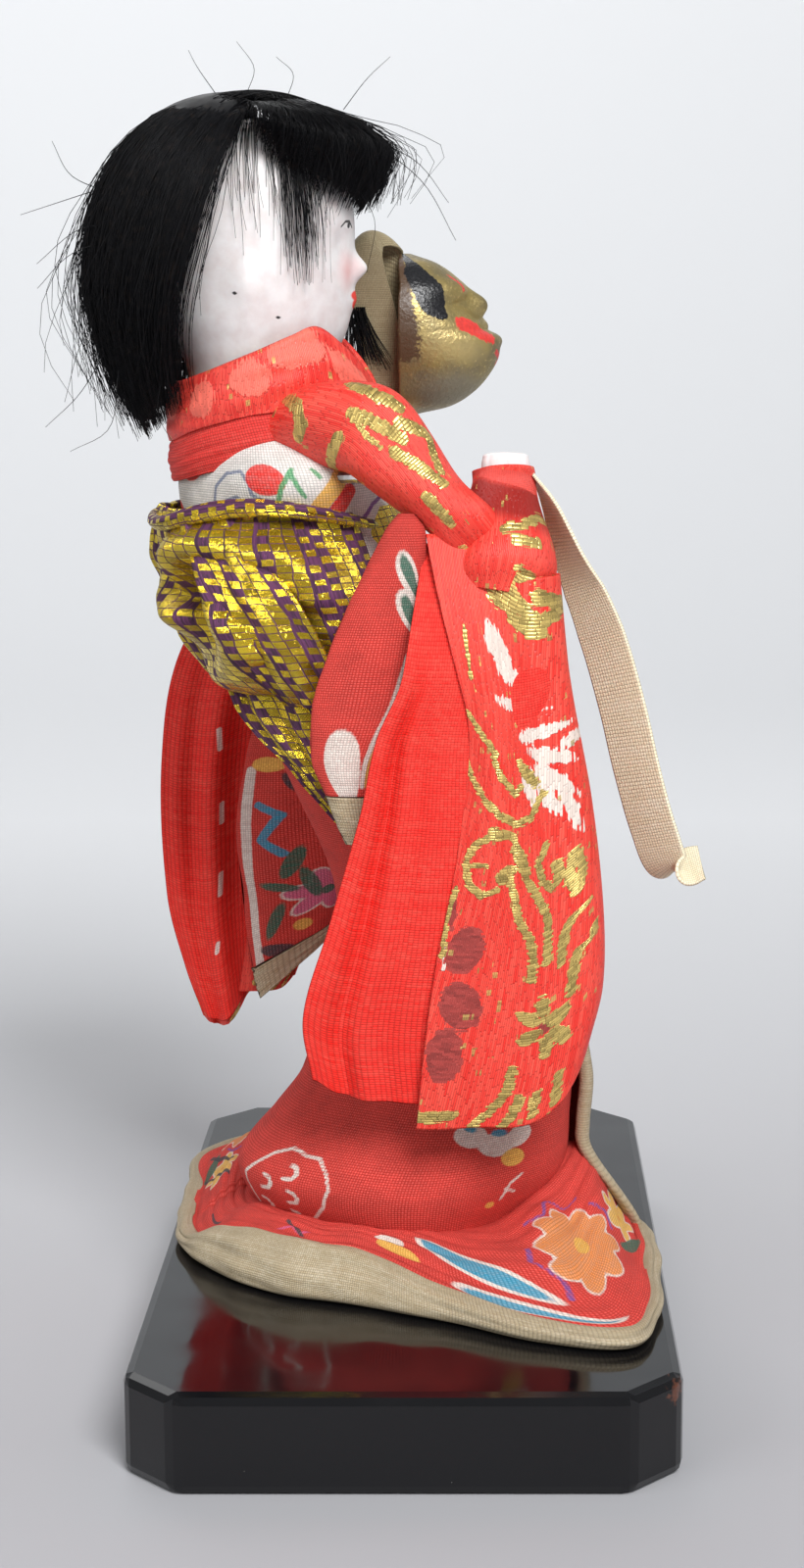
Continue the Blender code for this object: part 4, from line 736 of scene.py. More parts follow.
@dataclass(frozen=True)
class Brocade(Finish):
    """Red satin with woven motifs in flat gold strips, pale floss and dark red floss, and a painted shade where the
    shade ink lies.
    """

    ground: Colour = (0.80, 0.030, 0.020)
    glow: Colour = (0.92, 0.090, 0.060)
    gold: Colour = (0.52, 0.38, 0.12)
    pale: Colour = (0.86, 0.72, 0.64)
    dark: Colour = (0.33, 0.045, 0.038)
    band: Colour = (0.86, 0.085, 0.065)
    metal: float = 0.62
    lean: float = 0.10
    satin_mm: Pair = (0.21, 2.3)
    strip_mm: Pair = (0.34, 1.05)
    shade: Pair = (0.62, 1.05)
    floss: Pair = (0.82, 1.06)
    leaf: Pair = (0.70, 1.55)
    rough: Pair = (0.36, 0.52)
    painted_shade_tint: float = 0.34
    tie_cells: Pair = (1.9, 1.3)
    tie_chance: float = 0.035
    specular: float = 0.40
    relief_mm: float = 0.05

    def wire(self, s: Surface) -> None:
        """Wire the shader."""
        place = s.cloth_place()
        x, y, _ = s.split(place)
        lean = s.join(s.plus(x, s.times(y, self.lean)), y)
        satin = s.group(s.effects.floats, Place=lean, Pitch=self.satin_mm[0], Length=self.satin_mm[1])
        strips = s.group(s.effects.floats, Place=s.join(y, x), Pitch=self.strip_mm[0],
                         Length=self.strip_mm[1], Seed=4.0)
        plain = s.group(s.effects.weave, Place=place, Pitch=self.strip_mm[0])
        colour = s.mix(satin["Tone"], self.ground, self.glow)
        colour = s.scaled(colour, s.between(satin["Height"], *self.shade))
        jitter = {"jitter": strips["Tone"], "ragged": 0.34, "softness": 0.06}
        pale, dark = s.mask_of(Ink.PALE, satin["Tone"], 0.5, 0.08), s.mask_of(Ink.DARK, **jitter)
        gold, band = s.mask_of(Ink.GOLD, **jitter), s.mask_of(Ink.BAND, softness=0.2)
        # Painted shade: the satin is darkened where the shade ink lies, as on the cuff's shaded side.
        deep = s.times(s.mask_of(Ink.PURPLE, softness=1.4), 0.9)
        colour = s.mix(deep, colour, s.scaled(self.ground, self.painted_shade_tint))
        floss = s.between(satin["Tone"], *self.floss)
        shadow = s.spread(satin["Height"], 0.0, 0.7, 0.72, 1.0)
        colour = s.mix(pale, colour, s.scaled(self.pale, s.times(floss, shadow)))
        colour = s.mix(dark, colour, s.scaled(self.dark, s.between(strips["Tone"], 0.75, 1.3)))
        column, row = (s.math("FLOOR", s.times(value, size)) for value, size in zip((x, y), self.tie_cells))
        ties = s.math("LESS_THAN", s.chance(column, row, 9.0), self.tie_chance)
        glint = s.times(ties, s.math("GREATER_THAN", satin["Tone"], 0.5))
        shine = s.math("MAXIMUM", gold, s.times(glint, 0.7))
        leaf = s.scaled(self.gold, s.between(strips["Tone"], *self.leaf))
        # Painted shade: the gold is darker where each strip dips at its edges and ends.
        leaf = s.scaled(leaf, s.spread(strips["Height"], 0.0, 0.4, 0.35, 1.0))
        colour = s.mix(shine, colour, leaf)
        # Painted shade: the plain band is darker between its threads.
        colour = s.mix(band, colour, s.scaled(self.band, s.between(plain["Height"], 0.6, 1.1)))
        rough = s.between(satin["Tone"], *self.rough)
        rough = s.minus(rough, s.times(shine, 0.12))
        s.set(Base_Color=colour, Metallic=s.times(shine, self.metal), Roughness=rough)
        height = s.plus(s.times(satin["Height"], s.minus(1.0, gold)),
                        s.times(strips["Height"], gold))
        bold = s.times(s.math("MAXIMUM", pale, gold), 1.2)
        s.set(Normal=s.raise_by(s.plus(height, bold), self.relief_mm))
        s.set(Specular_IOR_Level=self.specular)


@dataclass(frozen=True)
class PrintedCotton(Finish):
    """Plain-woven red cotton, printed with flowers and leaves in several inks."""

    ground: Colour = (0.66, 0.050, 0.038)
    pale: Colour = (0.80, 0.73, 0.66)
    blue: Colour = (0.035, 0.30, 0.46)
    green: Colour = (0.035, 0.14, 0.095)
    pink: Colour = (0.68, 0.11, 0.24)
    yellow: Colour = (0.82, 0.46, 0.09)
    purple: Colour = (0.22, 0.08, 0.30)
    gold: Colour = (0.76, 0.25, 0.06)
    dark: Colour = (0.05, 0.05, 0.06)
    pitch: float = 0.30
    bleed_mm: float = 0.16
    worn: Colour = (0.95, 0.62, 0.55)
    worn_share: float = 0.10
    rough: Pair = (0.78, 0.92)
    specular: float = 0.22
    relief_mm: float = 0.07

    def wire(self, s: Surface) -> None:
        """Wire the shader."""
        place = s.cloth_place()
        weave = s.group(s.effects.weave, Place=place, Pitch=self.pitch)
        cloud = s.cloud(place, 0.35, 4.0)
        colour: Value = s.scaled(self.ground, s.spread(cloud, 0.3, 0.7, 0.88, 1.08))
        bleed = {"jitter": s.cloud(place, 3.0), "ragged": 0.25, "softness": self.bleed_mm}
        for ink, dye in ((Ink.PALE, self.pale), (Ink.GOLD, self.gold), (Ink.YELLOW, self.yellow),
                         (Ink.PINK, self.pink), (Ink.BLUE, self.blue), (Ink.GREEN, self.green),
                         (Ink.PURPLE, self.purple), (Ink.DARK, self.dark)):
            strength = s.times(s.mask_of(ink, **bleed), s.between(weave["Tone"], 0.84, 1.0))
            colour = s.mix(strength, colour, dye)
        worn = s.spread(weave["Height"], 0.55, 1.0, 0.0, self.worn_share)
        colour = s.mix(worn, colour, self.worn)
        light = s.times(s.spread(weave["Height"], 0.0, 0.8, 0.55, 1.05),
                       s.between(weave["Tone"], 0.88, 1.08))
        s.set(Base_Color=s.scaled(colour, light), Roughness=s.between(weave["Tone"], *self.rough))
        s.set(Normal=s.raise_by(weave["Height"], self.relief_mm), Specular_IOR_Level=self.specular)


@dataclass(frozen=True)
class PlainCloth(Finish):
    """Plain-woven silk or cotton in one colour, with white basting stitches where the mesh has them."""

    dye: Colour = (0.86, 0.022, 0.015)
    glow: Colour = (0.93, 0.085, 0.060)
    stitch: Colour = (0.85, 0.68, 0.62)
    pitch: float = 0.34
    rough: float = 0.62
    specular: float = 0.25
    shade: Pair = (0.58, 1.06)
    relief_mm: float = 0.07

    def wire(self, s: Surface) -> None:
        """Wire the shader."""
        place = s.cloth_place()
        weave = s.group(s.effects.weave, Place=place, Pitch=self.pitch)
        cloud = s.cloud(place, 0.25, 4.0)
        colour = s.mix(s.times(weave["Tone"], s.spread(cloud, 0.3, 0.7, 0.3, 1.0)),
                       self.dye, self.glow)
        colour = s.mix(s.mask_of(Ink.PALE, softness=0.1), colour, self.stitch)
        light = s.spread(weave["Height"], 0.0, 0.85, *self.shade)
        s.set(Base_Color=s.scaled(colour, light),
              Roughness=s.between(weave["Tone"], self.rough - 0.06, self.rough + 0.12))
        s.set(Normal=s.raise_by(weave["Height"], self.relief_mm), Specular_IOR_Level=self.specular)


@dataclass(frozen=True)
class Lame(Finish):
    """Flat gold strips over and under purple threads, each square of foil tilted its own way."""

    gold: Colour = (1.0, 0.74, 0.055)
    old_gold: Colour = (0.60, 0.42, 0.04)
    thread: Colour = (0.075, 0.018, 0.060)
    strip: float = 1.00
    cell: float = 1.45
    laced_share: float = 0.32
    gaps: Pair = (0.09, 0.18)
    foil_tone: Pair = (0.75, 1.1)
    thread_tone: Pair = (0.5, 1.8)
    metal: float = 0.85
    rough: Pair = (0.7, 0.20)
    tilt: float = 2.4
    crumple: float = 0.6
    relief_mm: float = 0.17

    def wire(self, s: Surface) -> None:
        """Wire the shader."""
        place = s.cloth_place()
        x, y, _ = s.split(place)
        x = s.plus(x, s.times(s.cloud(place, 0.2, 2.0), 1.6))
        y = s.plus(y, s.times(s.cloud(place, 0.15, 2.0), 1.2))
        across, along = s.divide(x, self.cell), s.divide(y, self.strip)
        column, inside = s.math("FLOOR", across), s.math("FRACT", across)
        row, within = s.math("FLOOR", along), s.math("FRACT", along)
        luck, other, kind = s.chance(column, row, 2.0), s.chance(column, row, 6.0), s.chance(column, 3.0)
        check = s.math("PINGPONG", s.plus(column, row), 1.0)
        laced = s.math("LESS_THAN", kind, self.laced_share)
        under = s.times(laced, check)
        gap = s.plus(self.gaps[0], s.times(laced, self.gaps[1]))
        side = s.math("GREATER_THAN", inside, gap)
        seam = s.math("GREATER_THAN", s.math("SINE", s.times(within, math.pi)), 0.16)
        metal = s.times(s.times(side, seam), s.minus(1.0, under))
        fibres = s.group(s.effects.floats, Place=place, Pitch=0.15, Length=3.0, Seed=2.0)
        foil = s.scaled(s.mix(luck, self.old_gold, self.gold), s.between(other, *self.foil_tone))
        cord = s.scaled(self.thread, s.between(fibres["Tone"], *self.thread_tone))
        s.set(Base_Color=s.mix(metal, cord, foil), Metallic=s.times(metal, self.metal))
        s.set(Roughness=s.between(metal, *self.rough))
        tilt = s.plus(s.times(inside, s.minus(luck, 0.5)),
                      s.times(within, s.minus(other, 0.5)))
        crumple = s.plus(s.times(tilt, self.tilt), s.times(s.cloud(place, 1.6), self.crumple))
        height = s.plus(s.times(crumple, metal), s.times(fibres["Height"], 0.4))
        s.set(Normal=s.raise_by(height, self.relief_mm))


@dataclass(frozen=True)
class GoldPaint(Finish):
    """Rough gold paint on clay, with black brows, red lips, a bare brown rim and a painted highlight on the cheeks.
    """

    gold: Colour = (0.46, 0.35, 0.13)
    dull: Colour = (0.27, 0.22, 0.12)
    bright: Colour = (0.74, 0.57, 0.24)
    clay: Colour = (0.085, 0.045, 0.022)
    worn: Colour = (0.30, 0.27, 0.20)
    black: Colour = (0.010, 0.010, 0.012)
    red: Colour = (0.66, 0.045, 0.035)
    cheek_highlight_share: float = 0.6
    worn_share: float = 0.85
    rim_ragged: float = 2.2
    metal: float = 0.72
    rough: Pair = (0.50, 0.30)
    relief_mm: float = 0.10

    def wire(self, s: Surface) -> None:
        """Wire the shader."""
        place = s.object_place()
        broad, fine = s.cloud(place, 0.22, 4.0), s.cloud(place, 2.2, 5.0)
        colour = s.mix(s.spread(broad, 0.35, 0.62), self.dull, self.gold)
        # Painted highlight: the gold is brighter on the cheeks, where the highlight ink lies.
        cheek = s.spread(s.depth_of(Ink.YELLOW), -0.6, 1.6, 0.0, self.cheek_highlight_share)
        flecks_and_cheek_highlight = s.math("MAXIMUM", s.spread(fine, 0.58, 0.78), cheek)
        colour = s.mix(flecks_and_cheek_highlight, colour, self.bright)
        colour = s.mix(s.spread(s.depth_of(Ink.PALE), -0.8, 1.4, 0.0, self.worn_share), colour, self.worn)
        bare = s.plus(s.depth_of(Ink.GOLD), s.times(s.minus(fine, 0.5), self.rim_ragged))
        bare = s.spread(bare, -0.2, 0.2)
        colour = s.mix(bare, colour, self.clay)
        ragged = {"jitter": fine, "ragged": 0.8, "softness": 0.14}
        red, black = s.mask_of(Ink.BAND, **ragged), s.mask_of(Ink.DARK, **ragged)
        colour = s.mix(red, colour, s.scaled(self.red, s.spread(fine, 0.3, 0.7, 0.8, 1.15)))
        colour = s.mix(black, colour, self.black)
        paint_over = s.math("MAXIMUM", s.math("MAXIMUM", red, black), bare)
        s.set(Base_Color=colour, Metallic=s.between(paint_over, self.metal, 0.0))
        rough = s.spread(fine, 0.35, 0.7, *self.rough)
        s.set(Roughness=s.minus(rough, s.times(black, 0.14)))
        s.set(Normal=s.raise_by(s.plus(fine, s.times(broad, 0.7)), self.relief_mm))


@dataclass(frozen=True)
class Grain(Finish):
    """A plain hidden material such as wood, straw or steel, with a streaked grain."""

    colour: Colour
    streak: Colour
    rough: float
    metal: float = 0.0
    stretch: float = 8.0
    relief_mm: float = 0.05

    def wire(self, s: Surface) -> None:
        """Wire the shader."""
        x, y, z = s.split(s.object_place())
        drawn = s.join(x, y, s.divide(z, self.stretch))
        grain = s.cloud(drawn, 0.8, 5.0)
        s.set(Base_Color=s.mix(s.spread(grain, 0.35, 0.7), self.colour, self.streak), Metallic=self.metal)
        s.set(Roughness=s.spread(grain, 0.3, 0.7, self.rough - 0.05, self.rough + 0.1))
        s.set(Normal=s.raise_by(grain, self.relief_mm))


class Wardrobe:
    """Every material of the doll, built once."""

    def __init__(self) -> None:
        """Build the shared effects and the materials."""
        effects = Effects()
        red = (0.80, 0.028, 0.020)
        cream = PlainCloth((0.42, 0.33, 0.20), (0.61, 0.53, 0.39), (0.8, 0.7, 0.5), 0.36, 0.55, 0.3)
        finishes = {
            "black_lacquer": Lacquer(),
            "shell_paint": ShellPaint(),
            "thread_hair": Hair(),
            "gold_brocade": Brocade(),
            "salmon_satin": Brocade(pale=(0.93, 0.16, 0.11), ground=(0.72, 0.026, 0.020)),
            "printed_cotton": PrintedCotton(),
            "pale_print": PrintedCotton(ground=(0.76, 0.73, 0.69), gold=red, pale=(0.20, 0.24, 0.34),
                                        green=(0.10, 0.36, 0.16), pitch=0.33),
            "red_lining": PlainCloth(),
            "red_under_cloth": PlainCloth((0.70, 0.035, 0.028), (0.80, 0.10, 0.08), pitch=0.36),
            "cream_lining": cream,
            "cream_ribbon": PlainCloth((0.90, 0.78, 0.54), (1.0, 0.92, 0.72), pitch=0.40, rough=0.42,
                                       specular=0.1),
            # Painted shade: a darker cream for the ribbon that lies in shade behind the mask.
            "old_ribbon": PlainCloth((0.36, 0.29, 0.17), (0.50, 0.42, 0.27), pitch=0.28, rough=0.45,
                                     specular=0.1),
            "gold_lame": Lame(),
            "gold_paint": GoldPaint(),
            "steel": Grain((0.45, 0.45, 0.46), (0.30, 0.28, 0.27), 0.40, 1.0),
            "plain_wood": Grain((0.62, 0.45, 0.28), (0.45, 0.30, 0.17), 0.70),
            "bare_clay": Grain((0.20, 0.13, 0.08), (0.11, 0.07, 0.045), 0.85, stretch=1.0),
            "wound_straw": Grain((0.55, 0.47, 0.30), (0.40, 0.32, 0.18), 0.90, stretch=0.2),
        }
        self.kept = {name: finish.build(name, effects) for name, finish in finishes.items()}

    def __getitem__(self, name: str) -> bpy.types.Material:
        """The material of that name."""
        return self.kept[name]


class Hold(Enum):
    """How a sheet of cloth is held."""

    DRAPED = "draped"
    HUNG = "hung"
    LAID = "laid"
    FOLDED = "folded"
    STRETCHED = "stretched"


@dataclass
class Assembly:
    """A sub-assembly of the doll, which dresses what it makes."""

    wardrobe: Wardrobe

    def dress(self, obj: bpy.types.Object, finish: str, slot: str, *nodes: str,
              body: str = "root") -> bpy.types.Object:
        """Give a piece its material, its body and the solids that it stands for."""
        obj.data.materials.clear()
        obj.data.materials.append(self.wardrobe[finish])
        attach(obj, body)
        if nodes:
            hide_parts(*nodes)
        LOG.info("%s: %s, %d points", obj.name, finish, len(obj.data.vertices))
        return obj

    def lay_cloth(self, sheet: Sheet, place: Place, looks: tuple[str, ...], hold: Hold, *rests_on: str,
                  shapes: Sequence[Shape] = ()) -> None:
        """Make and dress a sheet of cloth.

        Args:
            sheet: Its grid and flat size.
            place: What shapes it.
            looks: Its finish and slot, and the solid that it stands for, if any.
            hold: How it is held; not used.
            *rests_on: The pieces that it lies on or hangs from; not used.
            shapes: Its motifs.
        """
        obj = self.dress(sheet.make(place, shapes), *looks)
        width, length = sheet.flat


# The form inside the clothes


@dataclass(frozen=True)
class Body:
    """The leaning form that the kimono wraps, as the solids have it."""

    foot: float = 0.0127
    height: float = 0.1095
    lean: float = 0.0190
    half_depth: float = 0.0193
    half_width: float = 0.0184
    shares: Table = (
        (0.000, -0.053, 0.80, 0.815),
        (0.048, -0.053, 0.88, 0.890),
        (0.103, -0.042, 1.00, 1.000),
        (0.158, 0.079, 0.907, 0.935),
        (0.213, 0.184, 0.829, 0.848),
        (0.414, 0.237, 0.674, 0.728),
        (0.587, -0.105, 0.700, 0.717),
        (0.752, -0.579, 0.689, 0.674),
        (0.834, -0.737, 0.674, 0.668),
        (0.889, -0.832, 0.642, 0.652),
        (0.934, -0.895, 0.580, 0.587),
        (0.971, -0.947, 0.487, 0.500),
        (1.000, -0.989, 0.383, 0.402),
    )

    def z(self, share: Union[float, Array]) -> Union[float, Array]:
        """A height on the form."""
        return self.foot + share * self.height

    def point(self, z: Array, angle: Array, offset: Union[float, Array] = 0.0) -> Array:
        """Points at an angle round the form, so far outside it."""
        z = np.broadcast_to(z, np.shape(angle)).astype(float)
        lean, depth, width = follow(self.shares, (z - self.foot) / self.height).T
        x = lean * self.lean + (depth * self.half_depth + offset) * np.cos(angle)
        y = (width * self.half_width + offset) * np.sin(angle)
        return points(x, y, z)


BODY = Body()
NECK_X = -0.0195
NECK_Z = 0.1225
HEAD_HEIGHT = 0.0369


def round_neck(radius: Array, angle: Array, z: Array) -> Array:
    """Points at a radius and an angle round the neck's axis."""
    return points(NECK_X + radius * np.cos(angle), radius * np.sin(angle), z)


@dataclass(frozen=True)
class Tube:
    """A tube of cloth round an arm, through stations of a place and a radius in millimetres."""

    stations: Table
    seam: float = 0.5
    flatness: float = 0.86

    def frames(self) -> tuple[Array, Array, Array, Array]:
        """The centre, the two directions across and the size at each station."""
        route = [Vector(row[:3]) * MM for row in self.stations]
        headings = [(route[min(i + 1, len(route) - 1)] - route[max(i - 1, 0)]).normalized()
                    for i in range(len(route))]
        side = headings[0].cross(Vector((0, 0, 1)))
        if side.length < 0.5:
            side = headings[0].cross(Vector((1, 0, 0)))
        sides, ups = [], []
        for i, heading in enumerate(headings):
            if i:
                side = headings[i - 1].rotation_difference(heading) @ side
            side = (side - heading * side.dot(heading)).normalized()
            sides.append(side)
            ups.append(side.cross(heading).normalized())
        sizes = [row[3] * MM for row in self.stations]
        return np.array(route), np.array(sides), np.array(ups), np.array(sizes)

    def place(self, angle: Array, v: Array, offset: Union[float, Array] = 0.0) -> Array:
        """Points round the tube at an angle and a share of its length."""
        route, sides, ups, sizes = self.frames()
        knots = np.linspace(0, 1, len(route))
        rows = np.c_[knots, route, sides, ups, sizes]
        values = follow(rows, v)
        size = values[:, 9] + offset
        flat = values[:, 9] * self.flatness + offset
        return (values[:, 0:3] + values[:, 3:6] * (flat * np.cos(angle))[:, None]
                + values[:, 6:9] * (size * np.sin(angle))[:, None])


@dataclass
class Board(Assembly):
    """The lacquered board and the hidden wood, straw and steel, which keep their solids."""

    finishes: tuple[tuple[str, str], ...] = (
        ("lacquered_board", "black_lacquer"),
        ("foot_nail_right", "steel"),
        ("foot_nail_left", "steel"),
        ("arm_wire", "steel"),
        ("leg_block", "plain_wood"),
        ("waist_dowel", "plain_wood"),
        ("neck_dowel", "plain_wood"),
        ("torso_block", "wound_straw"),
    )

    def build(self) -> None:
        """Give each kept solid its finish."""
        for name, finish in self.finishes:
            obj = bpy.data.objects[name]
            material = self.wardrobe[finish]
            if obj.material_slots:
                for slot in obj.material_slots:
                    slot.material = material
            else:
                obj.data.materials.append(material)
            LOG.info("%s: %s", name, finish)


@dataclass
class Kimono(Assembly):
    """The printed skirt, hem, front overlap, bodice and under-sleeves, with the cream lining."""

    board_top: float = 0.0124
    seat: float = 0.0003
    cloth_wall: float = 0.0009
    waist_share: float = 0.655
    skirt_top_share: float = 0.702
    bodice_top_share: float = 0.985
    skirt_foot: float = 0.0062
    reach: float = 0.0515
    hem_rise: float = 0.0062
    hem_puff: float = 0.0016
    hem_rear_puff: float = 0.0034
    hem_front_wave: float = 0.0014
    hem_fold: float = 0.0007
    lining_swell: float = 0.0012
    lining_tuck: float = 0.014
    lining_seat: float = 0.0005
    rolled_share: float = 0.76
    skirt_fold: float = 0.0008
    skirt_swell: float = 0.0012
    shoulder_swell: float = 0.0052
    overlap_angles: Pair = (math.radians(-10), math.radians(64))
    overlap_turn_out: float = 0.0096
    overlap_turn_down: float = 0.0052
    reach_shares: Table = (
        (-165, 0.602), (-140, 0.592), (-120, 0.583), (-105, 0.575), (-90, 0.625), (-78, 0.714),
        (-68, 0.864), (-58, 0.985), (-49, 0.895), (-36, 0.745), (-18, 0.640), (-6, 0.590),
        (4, 0.510), (20, 0.480), (38, 0.560), (55, 0.660), (72, 0.700), (90, 0.700), (108, 0.725),
        (125, 0.795), (140, 0.790), (158, 0.650), (178, 0.602),
    )
    roll_mm: Table = (
        (-180, 1.0), (-163, 1.4), (-150, 4.2), (-135, 5.6), (-115, 5.4), (-98, 4.6), (-84, 3.0),
        (-70, 2.0), (-54, 1.4), (-30, 1.2), (0, 1.5), (60, 2.0), (120, 1.8), (180, 1.0),
    )
    slant_mm: Table = (
        (-180, 0.2), (-163, 0.5), (-150, 2.0), (-115, 3.4), (-98, 3.6), (-84, 2.2), (-70, 1.0),
        (-54, 0.5), (0, 0.4), (120, 0.4), (180, 0.2),
    )

    def hem_reach(self, angle: Array) -> Array:
        """How far the hem reaches from the origin at an angle."""
        rows = self.reach_shares
        wrapped = [(rows[-1][0] - 360, rows[-1][1]), *rows, (rows[0][0] + 360, rows[0][1])]
        turn = half_turned(np.degrees(angle), 360)
        return follow(wrapped, turn)[:, 0] * self.reach

    def roll(self, angle: Array) -> Array:
        """How high the rolled lining stands at an angle."""
        turn = half_turned(np.degrees(angle), 360)
        return follow(self.roll_mm, turn)[:, 0] * MM

    def slant(self, angle: Array) -> Array:
        """How far the lining leans in over the hem at an angle."""
        turn = half_turned(np.degrees(angle), 360)
        return follow(self.slant_mm, turn)[:, 0] * MM

    def hem_place(self, u: Array, v: Array) -> Array:
        """The printed top of the hem, from the skirt's foot out to the rolled edge."""
        angle = FULL_TURN * u
        turn = half_turned(angle)
        rise = self.hem_rise * bump(turn + math.radians(8), math.radians(26))
        neck_z = BODY.foot + 0.0052 + rise
        inner = BODY.point(neck_z, angle, 0.0008 + 0.2 * rise)
        far = self.hem_reach(angle) - 0.0004 - self.slant(angle)
        outer = points(far * np.cos(angle), far * np.sin(angle), 0 * far)
        spot = inner + (outer - inner) * v[:, None]
        edge_z = self.board_top + self.roll(angle) + 0.0007
        fold = self.hem_fold * np.sin(7 * angle + 0.6) + 0.0004 * np.sin(17 * angle + 2.0)
        rear = self.hem_rear_puff * bump(turn - math.radians(142), math.radians(40))
        front = self.hem_front_wave * np.sin(3.2 * math.pi * v + 9 * turn)
        front = front * bump(turn + math.radians(40), math.radians(28))
        puff = (self.hem_puff + rear) * np.sin(math.pi * np.clip(v * 1.1, 0, 1)) * (1 - 0.3 * v)
        along = fold * v * (1.2 - v) + front * v * (1 - v) * 2.5
        spot[:, 2] = neck_z + (edge_z - neck_z) * ease(v, 0.05, 1.0) + puff + along
        spot[:, 2] += 0.00025 * ripple(u, v, 9, 9.0)
        return spot

    def lining_place(self, u: Array, v: Array) -> Array:
        """The cream lining, rolled out round the hem's edge and tucked in below it."""
        angle = FULL_TURN * u
        high, lean = self.roll(angle), self.slant(angle)
        far = self.hem_reach(angle)
        turn = math.pi * (0.70 - 1.20 * np.clip(v / self.rolled_share, 0, 1))
        lump = 0.12 * np.sin(23 * angle) + 0.14 * np.sin(9 * angle + 1) + 0.22 * ripple(u, v, 16, 14.0)
        out = self.lining_swell * np.cos(turn) * (1 + lump)
        crest = np.clip(np.sin(turn) * 0.5 + 0.5, 0, 1)
        tuck = ease(v, self.rolled_share, 1.0) * self.lining_tuck
        radius = far + out - tuck - lean * crest**1.3 - 0.0002
        floor = self.board_top + self.lining_seat
        z = floor + high * crest * (1 + 0.12 * lump) + 0.0004 * crest
        return points(radius * np.cos(angle), radius * np.sin(angle), np.maximum(z, floor))

    def skirt_place(self, u: Array, v: Array) -> Array:
        """The skirt, from the waist down to the crease above the hem."""
        angle = FULL_TURN * u
        foot, waist = BODY.foot + self.skirt_foot - 0.0012, BODY.z(self.skirt_top_share)
        z = waist + (foot - waist) * v
        low = (waist - z) / (waist - foot)
        turn = half_turned(angle)
        under = 1 - bump(turn - math.radians(20), math.radians(50))
        folds = self.skirt_fold * low * (1 + np.cos(5 * angle + 1.1)) * under
        soft = self.skirt_swell * under * bump(z - 0.025, 0.009) + 0.00035 * ripple(u, v, 3, 3.0)
        return BODY.point(z, angle, self.seat + self.cloth_wall / 2 + folds + soft + 0.0003)

    def bodice_place(self, u: Array, v: Array) -> Array:
        """The bodice, from under the collar down to the waist."""
        angle = FULL_TURN * u
        top, waist = BODY.z(self.bodice_top_share), BODY.z(self.skirt_top_share)
        z = top + (waist - top) * v
        slack = 0.00025 * (1 + np.sin(4 * angle + 9 * v)) + 0.0002 * (1 + ripple(u, v, 5, 3.0))
        turn = half_turned(angle)
        near = bump(turn + math.radians(72), math.radians(38)) + 0.7 * bump(turn - math.radians(80), 0.6)
        shoulder = (self.shoulder_swell * bump(z - 0.1150, 0.0050) + 0.0014 * bump(z - 0.107, 0.006)) * near
        return BODY.point(z, angle, self.seat + self.cloth_wall / 2 + slack + shoulder)

    def overlap_place(self, u: Array, v: Array) -> Array:
        """The front overlap, whose near edge turns out forward at the foot and lies on the hem."""
        waist, foot = BODY.z(self.waist_share), BODY.foot + 0.0060
        z = waist + (foot - waist) * v
        angle = self.overlap_angles[0] + self.overlap_angles[1] * u
        clear = 3 * self.seat + self.cloth_wall + 0.0008 + 0.0011 * v
        wave = 0.0007 * np.sin(9 * v + 3 * u) * v + 0.0003 * ripple(u, v, 8, 3.0)
        out = BODY.point(z, angle, clear + wave)
        swing = ease(v, 0.87, 1.0) ** 1.3 * np.clip(1 - u / 0.45, 0, 1) ** 1.2
        out[:, 0] += self.overlap_turn_out * swing
        out[:, 1] -= 0.0006 * swing
        out[:, 2] -= self.overlap_turn_down * swing * v
        return out

    def overlap_edge_place(self, u: Array, v: Array) -> Array:
        """The cream lining that shows along the overlap's front edge."""
        here = self.overlap_place(0 * u, v)
        ahead = self.overlap_place(0 * u + 0.03, v)
        out = here - ahead
        out /= np.linalg.norm(out, axis=1)[:, None]
        wide = (0.0007 + 0.0007 * ease(v, 0.4, 1.0))[:, None]
        turn = (math.pi * (u - 0.5))[:, None]
        up = points(np.cos(-0.4 + 0 * u), np.sin(-0.4 + 0 * u), 0 * u)
        return here + out * wide * np.cos(turn) + up * 0.0008 * np.sin(turn)

    def build(self) -> None:
        """Build every piece of the kimono."""
        cotton = ("printed_cotton", "print")
        self.lay_cloth(Sheet("hem_cloth", 360, 54, (150.0, 23.0), 0.0007, True), self.hem_place,
                       (*cotton, "kimono_hem"), Hold.DRAPED, "lacquered_board", shapes=self.hem_motifs())
        self.lay_cloth(Sheet("rolled_lining", 420, 36, (240.0, 21.0), 0.0005, True), self.lining_place,
                       ("cream_lining", "cream", "hem_lining"), Hold.LAID, "lacquered_board")
        self.lay_cloth(Sheet("skirt_cloth", 300, 190, (106.0, 73.3), 0.0006, True), self.skirt_place,
                       (*cotton, "kimono_skirt"), Hold.DRAPED, "leg_block", "torso_block",
                       shapes=self.skirt_motifs())
        self.lay_cloth(Sheet("bodice_cloth", 300, 100, (84.0, 34.3), 0.0005, True), self.bodice_place,
                       ("pale_print", "print", "kimono_bodice"), Hold.STRETCHED, "torso_block",
                       shapes=self.bodice_motifs())
        self.lay_cloth(Sheet("overlap_cloth", 90, 180, (24.0, 68.0), 0.0006), self.overlap_place,
                       (*cotton, "front_overlap"), Hold.DRAPED, "skirt_cloth", shapes=self.overlap_motifs())
        edge = Sheet("overlap_lining_edge", 14, 160, (10.0, 69.0), 0.0004)
        self.dress(edge.make(self.overlap_edge_place), "cream_lining", "cream")

